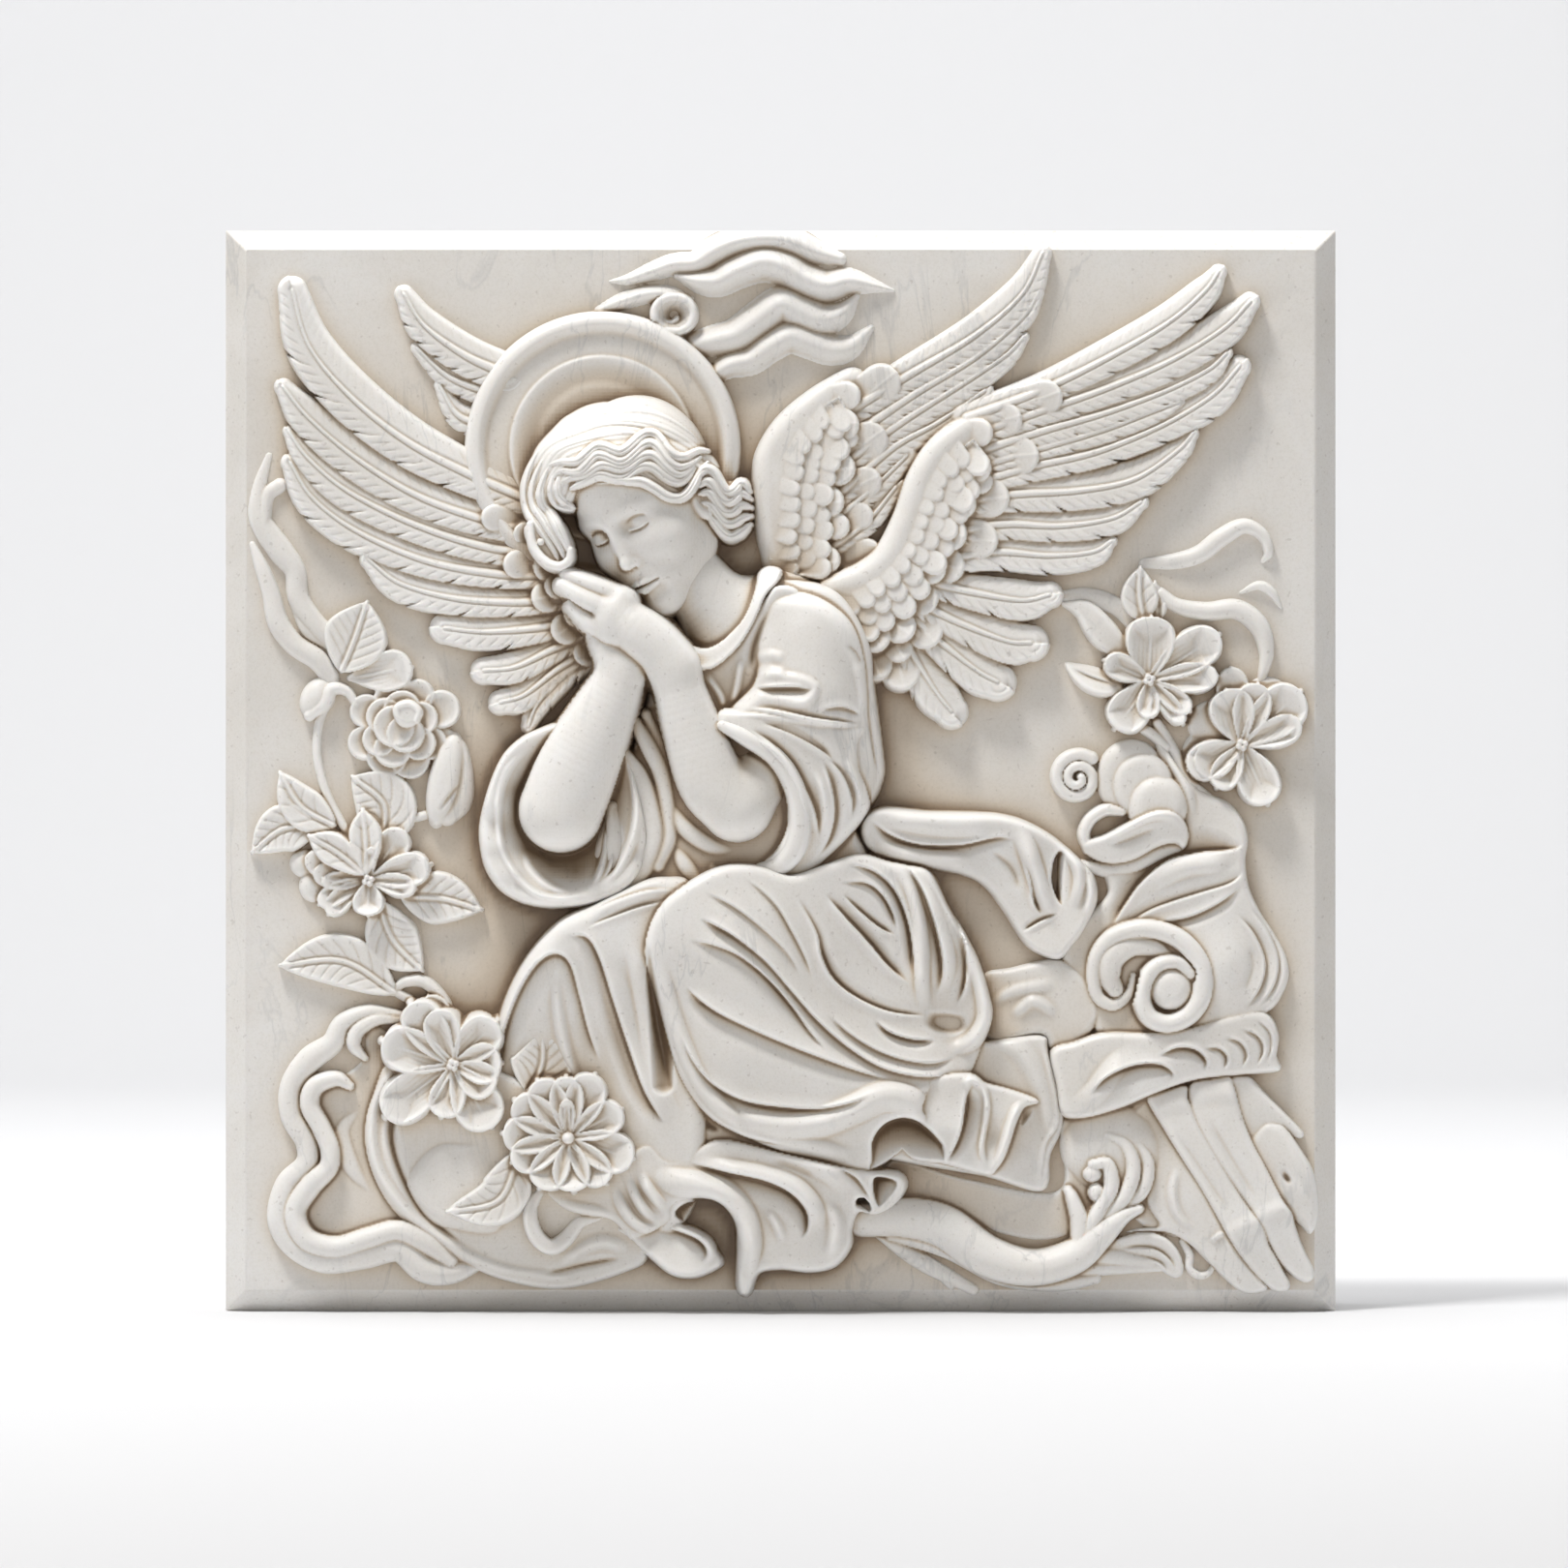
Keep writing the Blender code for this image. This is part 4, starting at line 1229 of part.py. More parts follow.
def scarf(c):
    plate(c, [(44, 262), (54, 271), (80, 269), (105, 268.5), (120, 267), (132, 263.5), (146, 256),
        (158, 246), (168, 236), (170, 222), (164, 208), (157, 198), (150, 191),
              (140, 193.5), (131, 200), (120, 217), (110, 230), (98, 236.5), (75, 241), (50, 248)],
          [(50, 258, 21), (80, 262, 18), (110, 262, 16), (130, 258, 16), (146, 250, 13), (165, 232, 11),
              (130, 240, 11), (148, 198, 12), (90, 245, 13), (118, 224, 10),
           (60, 247, 17), (135, 210, 9), (162, 215, 12)],
          [("roll", [(46, 268, 3, 3), (64, 265, 5, 5), (86, 262.5, 6, 5), (108, 262.5, 6, 5),
              (126, 260, 4, 3)]),
           ("crease", [(47, 267, 3, 2), (58, 258, 6, 6), (74, 252.5, 8, 7), (96, 252, 8, 7),
               (116, 256, 6, 6), (127, 255, 3, 3)]),
           ("roll", [(46, 258, 3, 3), (58, 250, 4.5, 5), (76, 245.5, 5, 5), (98, 243, 5, 4),
               (112, 236, 4, 2)]),
           ("roll", [(124, 265, 3, 4), (131, 254, 5, 8), (136, 240, 5.2, 9), (141, 225, 4.8, 9),
               (148, 214.5, 3.6, 6), (153, 212, 2, 3)]),
           ("roll", [(146, 255, 3, 4), (156, 247, 3.6, 6), (160.5, 236, 3.4, 7), (159, 224, 3.2, 6),
               (154, 214, 2.4, 4)]),
           ("crease", [(150, 215, 2, 3), (140, 211, 4, 6), (130, 205, 4, 3)]),
           ("crease", [(141, 213, 2, 3), (137, 220, 4, 6), (134, 234, 4, 4), (130, 244, 3, 1)]),
           ("ridge", [(164, 238, 3, 1), (167, 226, 4, 3), (163, 212, 3, 2)]),
           ("valley", [(112, 250, 3, 1), (124, 240, 5, 3), (129, 226, 4, 1)])],
          edge=3.5)
    hollow(c, [(146.5, 244), (150, 250), (155, 247), (157.5, 238), (156, 226), (152, 217.5),
        (148.5, 221), (145.5, 232)],
           [(150, 244, 3), (150, 232, 4), (152, 222, 12)])


# Clouds and the lower corners

def spiral(c, x0, z0, outer, turns, start, width, height, base, direction=1, inner=1.5):
    """A rolled scroll: a rounded band winding inwards from its outer end."""
    n = int(turns * 14)
    rows = []
    for k in range(n + 1):
        share = k / n
        a = np.radians(start + direction * share * turns * 360)
        r = outer + (inner - outer) * share
        rows.append((x0 + r * np.cos(a), z0 + r * np.sin(a), width * (1 - 0.45 * share),
            height * (0.8 + 0.3 * share)))
    stroke(c, rows, base=base, edge=width * 0.8)


def right_clouds(c):
    # small scroll
    spiral(c, 160, 288, 13, 1.9, 55, 3.6, 8, 1, inner=2)
    # three lobes, each over the one behind
    dome(c, 189, 288, 19, 21, 7, base=1, edge=0.35)
    dome(c, 195, 284, 17, 18, 7, base=4, edge=0.35)
    dome(c, 203, 273, 16.5, 17, 9, base=6, edge=0.5)
    # the ribbon wrapped round them
    stroke(c, [(166, 250, 3, 6), (163.5, 258, 3, 7), (167, 266, 3, 8), (175, 271, 3, 8),
        (184, 270, 2, 7)], base=3)
    plate(c, [(162, 252), (168, 245), (178, 242), (190, 244), (203, 251), (212, 253), (217, 250),
        (219.5, 256), (218, 263), (213, 269), (205, 271), (195, 268), (185, 262), (175, 257), (167, 255)],
          [(166, 250, 10), (190, 254, 15), (205, 263, 17), (216, 256, 13), (182, 247, 13)],
          [("roll", [(164, 253, 2.5, 2), (176, 257, 3, 4), (188, 263, 3, 4), (200, 268, 3, 4),
              (211, 267, 3, 4), (217, 260, 2.5, 3)]),
           ("valley", [(176, 251, 3, 1), (190, 256, 5, 3), (204, 262, 4, 1)])], edge=3.5)
    stroke(c, [(162, 242, 2, 3), (176, 238.5, 4, 6), (190, 241, 4, 7), (204, 248, 4, 7),
        (214, 251, 3, 5)], base=2)
    # the broad body behind, with the two bands across it
    plate(c, [(203, 314), (208, 304), (214, 294), (222, 284.5), (232, 279), (242, 274), (249, 265),
        (251.5, 255), (250, 243), (252, 229), (258, 216), (266, 204), (272, 193), (274, 182), (270, 171),
              (262, 162), (240, 153), (200, 150), (172, 150), (167, 165), (158, 178), (152, 192),
                  (160, 208), (176, 225), (176, 240), (205, 246), (216, 262), (212, 285), (203, 300)],
          [(208, 302, 5), (226, 272, 8), (246, 262, 9), (230, 255, 7), (195, 232, 9), (235, 238, 13),
              (210, 232, 12), (240, 210, 13), (262, 195, 9), (268, 180, 8), (245, 170, 15),
              (165, 195, 8), (180, 160, 10),
           (222, 212, 12), (235, 185, 17)],
          [("roll", [(205, 312, 2.5, 3), (211, 298, 3, 5), (217, 287, 3.5, 5), (221, 274, 3, 4),
              (221, 262, 2.5, 2)]),
           ("crease", [(251, 253, 4, 3), (243, 249.5, 8, 6), (226, 248, 10, 7), (209, 244, 10, 7),
               (195, 233, 9, 6), (185, 219, 7, 5), (177, 206, 4, 2)]),
           ("roll", [(250, 250, 3, 3), (236, 243, 5, 4), (218, 240, 5, 4), (203, 233, 5, 3),
               (190, 221, 4, 2)]),
           ("crease", [(184, 208, 4, 2), (198, 216.5, 7, 5), (212, 222, 8, 6), (228, 227, 8, 6),
               (243, 232, 6, 6), (251, 240, 3, 3)]),
           ("crease", [(196, 211.5, 4, 2), (208, 211, 6, 4), (222, 214, 7, 5), (237, 221.5, 7, 5),
               (249, 231, 4, 3)]),
           ("crease", [(251, 220, 3, 2), (262, 206, 5, 5), (268, 191, 5, 5), (266, 177, 5, 5),
               (257, 164, 3, 2)]),
           ("crease", [(245, 216, 3, 2), (255, 204, 6, 5), (261, 189, 7, 5), (258, 175, 6, 5),
               (249, 163, 4, 2)]),
           ("valley", [(233, 206, 3, 1), (246, 196, 5, 4), (250, 182, 5, 4), (244, 168, 4, 2)])],
          edge=4)
    # great scroll
    stroke(c, [(169, 176, 3.4, 6), (169.5, 190, 4.2, 9), (177, 201, 4.8, 11), (190, 206.5, 5, 13),
        (204, 206, 5, 14), (217, 199.5, 5.2, 15), (226, 187, 5.4, 16), (226.5, 172, 5.4, 16),
        (220, 161, 5.2, 16),
              (209, 156, 5, 16), (199, 159, 4.8, 16), (194.5, 168, 4.6, 16), (196, 179, 4.4, 16),
                  (203, 187.5, 4, 15), (213, 189, 3.6, 14), (220.5, 183, 3, 13)], edge=4, base=2)
    dome(c, 210, 174.5, 11.5, 11.5, 13, base=5, edge=0.6)
    stroke(c, [(183, 171, 6, 11), (177, 179, 6.6, 12), (178.5, 191, 6.8, 13), (188, 197.5, 6, 13),
        (200, 197, 4.6, 12), (208, 193, 3, 10)], edge=4.5, base=2)
    # the rolled cloud under it
    plate(c, [(146, 141), (158, 146), (175, 151), (200, 151), (222, 154), (240, 160), (256, 163),
        (264, 159), (268, 149), (267, 138), (269, 131), (256, 129), (238, 127.5), (220, 125),
              (200, 118), (182, 110.5), (164, 105.5), (152, 107), (149, 122)],
          [(155, 130, 14), (162, 112, 15), (190, 122, 17), (185, 143, 16), (215, 135, 17),
              (240, 140, 15), (260, 145, 12), (225, 128, 14)],
          [("crease", [(165, 116, 4, 2), (175, 127, 9, 7), (190, 133.5, 10, 9), (204, 134, 8, 8),
              (211, 129, 5, 6), (208, 124, 2, 2)]),
           ("crease", [(202, 138, 3, 2), (213, 143, 7, 7), (223, 142, 7, 8), (229, 136, 5, 6),
               (227, 129, 2, 2)]),
           ("crease", [(227, 143, 3, 2), (236, 142.5, 4, 5), (240.5, 137, 4, 5), (238, 130, 2, 2)]),
           ("crease", [(238, 149, 3, 2), (247, 146, 4, 4), (251, 139, 4, 4), (248, 131, 2, 2)]),
           ("crease", [(247, 154, 3, 2), (257, 149, 4, 4), (260, 141, 4, 4), (256, 132, 2, 2)]),
           ("crease", [(255, 159, 2, 2), (263, 152, 3, 3), (264.5, 143, 3, 3), (261, 134, 2, 1)]),
           ("roll", [(154, 108, 4, 2), (168, 118, 6, 4), (182, 135, 6, 3), (198, 143, 5, 2)])],
          edge=4)


def right_corner(c):
    # low ground behind the scroll and the cloth
    plate(c, [(108, 180), (125, 186), (150, 190), (165, 180), (172, 160), (160, 145), (146, 142),
        (140, 150), (112, 148)],
          [(112, 170, 3), (135, 168, 7), (155, 170, 8), (150, 150, 7), (120, 152, 4)],
          [("ridge", [(113, 165, 4, 1.5), (125, 173, 5, 2), (150, 178, 5, 1.5)]),
              ("ridge", [(124, 158, 4, 1.5), (136, 168, 5, 3), (150, 160, 4, 1)])], edge=4)
    plate(c, [(60, 82), (100, 72), (150, 66), (152, 104), (185, 108), (200, 116), (215, 90), (240, 50),
        (232, 38), (200, 44), (180, 56), (150, 40), (120, 42), (90, 56), (62, 62)],
          [(80, 68, 2), (120, 58, 3), (165, 90, 4), (190, 95, 5), (220, 60, 4), (150, 48, 3)], edge=4)
    dome(c, 180, 88, 30, 26, 9, base=1, turn=-20)
    # reeds across the corner
    for rows in (
        [(250, 124, 3, 5), (259, 115, 8, 8), (270, 105, 7, 8), (281, 96, 2.5, 4)],
        [(258, 100, 6, 7), (267, 87, 11, 10), (277, 71, 11.5, 10), (284, 56, 8, 8), (287, 45, 3, 4)],
        [(247, 124, 5, 9), (253, 103, 6, 11), (262, 82, 6, 12), (271, 58, 6, 12), (279, 38, 6, 11),
            (286, 21, 4, 8)],
        [(233, 122, 8, 10), (241, 100, 9, 14), (254, 75, 8.5, 14), (266, 50, 8, 14), (277, 31, 7, 12),
            (284, 19, 4.5, 8)],
        [(209, 116, 9, 10), (221, 98, 10, 14), (236, 73, 10, 14), (248, 49, 9, 14), (257, 30, 9, 13),
            (263, 15, 6.5, 9)],
    ):
        stroke(c, rows, edge=3.5, base=1)
    for x, z in ((-9, 1), (12, 5)):
        stroke(c, [(211 + x, 112 + z, 1, 1), (223 + x, 96 + z, 1.6, 2.4), (238 + x, 71 + z, 1.6, 2.4),
            (250 + x, 46 + z, 1.4, 2), (258 + x, 28 + z, 1, 1)], mode="add")
    hollow(c, [(270, 78), (276, 76), (275, 69), (270, 71)], [(272, 74, 5)])
    # the branch that ends in a hand-like spray
    for rows in (
        [(50, 52, 3, 4), (70, 36, 4, 4), (92, 14, 2, 3)], [(50, 45, 3, 4), (75, 28, 5, 6),
            (104, 12, 3, 4)],
        [(60, 42, 4, 8), (90, 34, 5, 9), (120, 20, 6, 8), (150, 16, 5, 6), (170, 18, 3, 4)],
        [(160, 30, 4, 6), (180, 30, 6, 7), (200, 26, 3, 5)], [(150, 22, 4, 6), (180, 24, 4, 5),
            (205, 24, 2, 4)],
    ):
        stroke(c, rows, base=0)
    for a in range(4):
        stroke(c, [(176 + 6 * a, 38, 2, 5), (190 + 6 * a, 36, 3, 6), (203 + 5 * a, 28, 3.2, 6),
            (210 + 3 * a, 20, 2.4, 4)], base=1)
    stroke(c, [(180, 52, 3, 6), (200, 46, 6, 9), (222, 36, 6, 9), (238, 22, 5, 7),
        (250, 14, 4, 5)], base=1)
    stroke(c, [(44, 50, 9, 13), (66, 51, 11, 15), (88, 46, 12, 16), (112, 30, 11, 17),
        (136, 24, 9.5, 17), (158, 30, 9, 17), (172, 42, 7.5, 16), (184, 52, 4, 14),
        (193, 56, 2.2, 11)], base=2)
    stroke(c, [(162, 36, 5, 13), (161, 50, 4.5, 13), (157, 62, 3, 12), (155, 66, 2, 10)], base=2)
    stroke(c, [(166, 44, 5, 13), (172, 56, 4, 14), (178, 68, 4, 14), (176, 80, 3.5, 13),
        (168, 80, 2.5, 12)], base=2)
    stroke(c, [(176, 52, 4, 12), (186, 64, 4, 13), (190, 78, 4, 12), (186, 90, 3.5, 10),
        (176, 96, 3, 8)], base=2)
    stroke(c, [(184, 56, 3, 10), (195, 66, 3.5, 11), (198, 80, 3.5, 10), (192, 92, 3, 8)], base=1)
    dome(c, 168, 75, 5, 4.5, 12, base=2)
    dome(c, 170, 65, 4, 5, 12, base=2)


def left_corner(c):
    # low swells inside the ribbon
    plate(c, [(-222, 156), (-200, 140), (-160, 100), (-140, 60), (-160, 26), (-200, 34), (-240, 36),
        (-258, 52), (-256, 66), (-244, 80), (-242, 95), (-252, 108), (-244, 122), (-226, 136)],
          [(-230, 120, 2), (-235, 60, 2), (-215, 90, 3), (-190, 60, 6)], edge=5)
    stroke(c, [(-226, 110, 2, 1), (-236, 98, 4, 2), (-232, 80, 5, 3), (-222, 66, 3, 2)], base=1)
    # the bowl of cloud under the flowers
    plate(c, [(-205, 138), (-220, 116), (-224, 92), (-216, 66), (-200, 46), (-176, 30), (-150, 18),
        (-118, 13), (-84, 22), (-72, 32), (-80, 60), (-110, 100), (-150, 130)],
          [(-210, 110, 8), (-215, 80, 8), (-190, 50, 10), (-150, 26, 10), (-100, 24, 9), (-170, 80, 16),
              (-130, 70, 18), (-100, 45, 14)],
          [("ridge", [(-206, 136, 3, 2), (-219, 112, 5, 4), (-219, 84, 5, 4), (-206, 60, 5, 4),
              (-180, 38, 5, 3), (-150, 24, 4, 2), (-110, 18, 4, 2)]),
           ("valley", [(-204, 118, 3, 3), (-210, 98, 4, 6), (-205, 76, 4, 6), (-192, 54, 3, 4),
               (-170, 36, 3, 2)]),
           ("ridge", [(-120, 26, 4, 2), (-98, 38, 6, 4), (-80, 34, 5, 3)]), ("valley", [(-130, 20, 3, 2),
               (-105, 26, 4, 4), (-84, 30, 3, 3)])], edge=3)
    plate(c, [(-202, 70), (-197, 84), (-186, 94), (-172, 97), (-150, 98), (-132, 80), (-140, 58),
        (-152, 42), (-172, 43), (-190, 50)],
          [(-190, 75, 15), (-170, 85, 17), (-150, 60, 17), (-170, 60, 17)], edge=9)
    # the long ribbon: a soft outer roll and a higher inner one
    outer = [(-206, 160, 3, 4), (-222, 162, 4, 6), (-236, 156, 5, 7), (-242, 145, 6, 7),
        (-254, 136, 7, 7), (-264, 122, 6, 7), (-264, 106, 6, 7), (-256, 92, 6, 7),
             (-256, 80, 6, 7), (-266, 68, 7, 7), (-270, 50, 7, 8), (-262, 36, 7, 8), (-246, 28, 7, 9),
                 (-226, 31, 8, 10), (-206, 35, 8, 11), (-192, 24, 8, 11), (-178, 22, 7, 9),
                 (-164, 25, 3, 6)]
    stroke(c, outer, base=1)
    stroke(c, [(-232, 122, 2, 6), (-240, 126, 4, 9), (-251, 122, 5, 10), (-254, 112, 5, 10),
        (-248, 100, 5, 10), (-243, 88, 5, 11), (-244, 78, 5, 11), (-254, 68, 6, 11), (-262, 54, 6, 11),
               (-256, 40, 6, 12), (-240, 35, 6, 12), (-222, 40, 6, 13), (-206, 44, 6, 13),
                   (-190, 38, 7, 13), (-178, 28, 4, 10)], base=1)
    stroke(c, [(-206, 158, 2, 5), (-218, 158, 3.5, 7), (-228, 152, 4, 8), (-230, 144, 3.5, 8),
        (-224, 137, 1.5, 5)], base=1)


def figure(c):
    back_cloth(c)
    lap(c)
    scarf(c)
    hem(c)
    upper_sleeve(c)
    head(c)
    hair(c)
    arms(c)
    hands(c)
    cuff_lip(c)


def carve_everything(c):
    ribbons(c)
    halo(c)
    left_wings(c)
    right_wings(c)
    left_corner(c)
    left_garden(c)
    right_garden(c)
    right_clouds(c)
    right_corner(c)
    figure(c)


# The model

def collection(name, hidden=False):
    made = bpy.data.collections.new(name)
    made.hide_render = hidden
    bpy.context.scene.collection.children.link(made)
    return made


def marble():
    material = bpy.data.materials.new("white_marble")
    material.use_nodes = True
    shader = material.node_tree.nodes["Principled BSDF"]
    shader.inputs["Base Color"].default_value = (0.80, 0.775, 0.735, 1.0)
    shader.inputs["Roughness"].default_value = 0.42
    return material


def field_y():
    """The field's plane. The origin is at the middle of the underside,
        which ends at the border's low edge."""
    return -(THICKNESS - BORDER_DROP) / 2 - BORDER_DROP


def tablet(target):
    """The slab: a box whose front face is drawn in to leave the sloping border."""
    front = field_y()
    back = front + THICKNESS
    edge = front + BORDER_DROP
    mesh = bmesh.new()
    bmesh.ops.create_cube(mesh, size=1.0)
    for corner in mesh.verts:
        corner.co.x *= WIDTH
        corner.co.y = back if corner.co.y > 0 else edge
        corner.co.z = (corner.co.z + 0.5) * HEIGHT
    face = min(mesh.faces, key=lambda f: f.calc_center_median().y)
    bmesh.ops.inset_region(mesh, faces=[face], thickness=BORDER_WIDTH, use_even_offset=True)
    for corner in face.verts:
        corner.co.y = front
    bmesh.ops.recalc_face_normals(mesh, faces=mesh.faces)
    data = bpy.data.meshes.new("angel_headstone")
    mesh.to_mesh(data)
    mesh.free()
    obj = bpy.data.objects.new("angel_headstone", data)
    target.objects.link(obj)
    return obj


def carved_sheet():
    """A fine grid laid over the field and raised to the carving's height, then thinned out."""
    sheet = Relief(-SHEET_WIDTH / 2, 0.0, SHEET_WIDTH / 2, SHEET_HEIGHT, GRID_STEP, -SUNK)
    carve_everything(sheet)
    columns, rows = len(sheet.x), len(sheet.z)
    bpy.ops.mesh.primitive_grid_add(x_subdivisions=columns - 1, y_subdivisions=rows - 1, size=1.0)
    obj = bpy.context.object
    count = len(obj.data.vertices)
    points = np.empty(count * 3)
    obj.data.vertices.foreach_get("co", points)
    points = points.reshape(count, 3)
    i = np.rint((points[:, 0] + 0.5) * (columns - 1)).astype(int)
    j = np.rint((points[:, 1] + 0.5) * (rows - 1)).astype(int)
    sheet.height[[0, -1]] = -SUNK
    sheet.height[:, [0, -1]] = -SUNK
    height = np.maximum(sheet.height, -SUNK)[j, i]
    placed = np.column_stack([
        sheet.x[i] * WIDTH / SHEET_WIDTH,
        field_y() - height * RELIEF_DEPTH / SHEET_DEPTH,
        sheet.z[j] * HEIGHT / SHEET_HEIGHT,
    ])
    obj.data.vertices.foreach_set("co", placed.ravel())
    thin = obj.modifiers.new("thin out", "DECIMATE")
    thin.ratio = RELIEF_TRIANGLES / (2 * (columns - 1) * (rows - 1))
    return obj


def relief_block(helpers):
    """The carved sheet closed to a block that reaches back into the slab."""
    sheet = carved_sheet()
    graph = bpy.context.evaluated_depsgraph_get()
    data = bpy.data.meshes.new_from_object(sheet.evaluated_get(graph))
    bpy.data.objects.remove(sheet)
    mesh = bmesh.new()
    mesh.from_mesh(data)
    root = field_y() + BLOCK_ROOT * THICKNESS
    margin = BORDER_WIDTH / 4
    for corner in mesh.verts:
        corner.co.x = min(max(corner.co.x, margin - WIDTH / 2), WIDTH / 2 - margin)
        corner.co.z = min(max(corner.co.z, margin), HEIGHT - margin)
    rim = [edge for edge in mesh.edges if edge.is_boundary]
    grown = bmesh.ops.extrude_edge_only(mesh, edges=rim)["geom"]
    for corner in (item for item in grown if isinstance(item, bmesh.types.BMVert)):
        corner.co.y = root
    back = [item for item in grown if isinstance(item, bmesh.types.BMEdge) and item.is_boundary]
    bmesh.ops.contextual_create(mesh, geom=back)
    bmesh.ops.triangulate(mesh, faces=mesh.faces)
    bmesh.ops.recalc_face_normals(mesh, faces=mesh.faces)
    mesh.to_mesh(data)
    mesh.free()
    obj = bpy.data.objects.new("relief_block", data)
    obj.display_type = "WIRE"
    obj.hide_render = True
    helpers.objects.link(obj)
    return obj


def main():
    for obj in list(bpy.data.objects):
        bpy.data.objects.remove(obj)
    parts = collection("angel_headstone")
    helpers = collection("joined_shapes", hidden=True)
    stone = tablet(parts)
    stone.data.materials.append(marble())
    join_relief = stone.modifiers.new("carving", "BOOLEAN")
    join_relief.operation = "UNION"
    join_relief.solver = "EXACT"
    join_relief.object = relief_block(helpers)


main()
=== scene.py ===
"""The looks of the angel headstone: its marble, and its carving cut finer than the solid can hold.

The carving is drawn on a sheet of SHEET_WIDTH by SHEET_HEIGHT units, where x runs to the right from the
middle, z runs up from the foot, and heights are over the slab's field. The sheet is stretched to the CAD
node's own box. Each subject is carved on a sheet of its own, whose cells are as fine as it needs.
"""

import bmesh
import bpy
import numpy as np
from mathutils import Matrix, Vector


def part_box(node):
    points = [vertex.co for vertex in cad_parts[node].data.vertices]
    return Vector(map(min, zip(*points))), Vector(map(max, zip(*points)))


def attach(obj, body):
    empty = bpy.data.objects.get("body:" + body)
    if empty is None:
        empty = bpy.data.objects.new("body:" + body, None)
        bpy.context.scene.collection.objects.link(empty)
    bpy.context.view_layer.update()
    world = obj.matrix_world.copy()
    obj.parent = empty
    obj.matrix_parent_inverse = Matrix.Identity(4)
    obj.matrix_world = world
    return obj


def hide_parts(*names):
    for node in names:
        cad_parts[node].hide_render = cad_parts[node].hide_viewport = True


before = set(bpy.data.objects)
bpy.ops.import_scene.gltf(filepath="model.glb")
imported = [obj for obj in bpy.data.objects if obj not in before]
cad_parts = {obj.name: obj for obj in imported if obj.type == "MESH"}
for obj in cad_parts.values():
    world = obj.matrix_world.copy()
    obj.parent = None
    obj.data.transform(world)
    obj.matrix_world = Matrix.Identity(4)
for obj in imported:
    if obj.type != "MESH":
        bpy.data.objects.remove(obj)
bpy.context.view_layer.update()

NODE = "angel_headstone"
LOW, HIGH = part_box(NODE)

# The slab, in metres: its outline is the CAD node's
THICKNESS = 0.080
FRONT = HIGH.y - THICKNESS
BORDER_WIDTH = 0.0115
BORDER_DROP = 0.010
EDGE_ROUND = 0.0007

# The sheet the carving is drawn on, in its own units
SHEET_WIDTH = 600.0
SHEET_HEIGHT = 584.0
UNIT = (HIGH.x - LOW.x) / SHEET_WIDTH
SUNK = (BORDER_DROP + 0.002) / UNIT
FIELD_INSET = 12
FIELD_LIFT = 0.1
COARSE_CELL = 1.5
HIDDEN_DEPTH = 2.5

# The edges of a carved form, and how far past its outline its wall is cut
PATH_STEP = 1.0
LOOSE_STEP = 2.0
OUTLINE_STEP = 2.5
CROWN = 1.15
STEEPEST_EDGE = 6.0
WALL_SLOPE = 7.0
WALL_SPREAD = 2.2
MARGIN = 2.5
WIDE_MARGIN = 3

# Folds in cloth: the length over which one fades at its ends, and how softly its two sides meet
ROLL_REACH = 1.15
ROLL_SHARE = 0.95
ROLL_FADE = 26.0
FOLD_FADE = 14.0
CREASE_SOFTNESS = 1.6
PLEAT_SOFTNESS = 1.4
ROLLS_MEET = 1.2


class Relief:
    """A sheet of heights on a square net, which forms are laid on."""

    def __init__(self, low, high, cell, floor):
        self.x = np.arange(low[0], high[0] + cell / 2, cell)
        self.z = np.arange(low[1], high[1] + cell / 2, cell)
        self.cell = cell
        self.height = np.full((len(self.z), len(self.x)), float(floor))

    def window(self, low, high, margin=0):
        """The cells in a box: their slices, and their x and z."""
        i0, i1 = np.searchsorted(self.x, [low[0] - margin, high[0] + margin])
        j0, j1 = np.searchsorted(self.z, [low[1] - margin, high[1] + margin])
        box = (slice(j0, j1), slice(i0, i1))
        return box, *np.meshgrid(self.x[i0:i1], self.z[j0:j1])

    def beside(self, path, margin):
        """The cells in the box round a path."""
        return self.window(path[:, :2].min(0), path[:, :2].max(0), margin)

    def round(self, x0, z0, reach, margin=0):
        """The cells in the square round a place."""
        return self.window((x0 - reach, z0 - reach), (x0 + reach, z0 + reach), margin)

    def put(self, box, made, how=np.maximum):
        """Lays a form on what is there: how says whether the higher of the two stays, or their sum."""
        self.height[box] = how(self.height[box], made)

    def at(self, x, z):
        """The height at a place, or at its nearest edge."""
        i = int(np.clip(round((x - self.x[0]) / self.cell), 0, len(self.x) - 1))
        j = int(np.clip(round((z - self.z[0]) / self.cell), 0, len(self.z) - 1))
        return self.height[j, i]


# Curves and distances

def smooth(t):
    t = np.clip(t, 0, 1)
    return t * t * (3 - 2 * t)


def arch(q):
    """1 in the middle, falling softly to 0 where q is 1."""
    return np.cos(np.clip(q, 0, 1) * np.pi / 2) ** 2


def span(a, b, c, d, step):
    """Points from b up to c on a smooth curve that also passes a and d."""
    n = max(2, int(np.hypot(*(c - b)[:2]) / step) + 1)
    t = np.linspace(0, 1, n, endpoint=False)[:, None]
    bend = (2 * a - 5 * b + 4 * c - d) * t**2 + (3 * b - a - 3 * c + d) * t**3
    return 0.5 * (2 * b + (c - a) * t + bend)


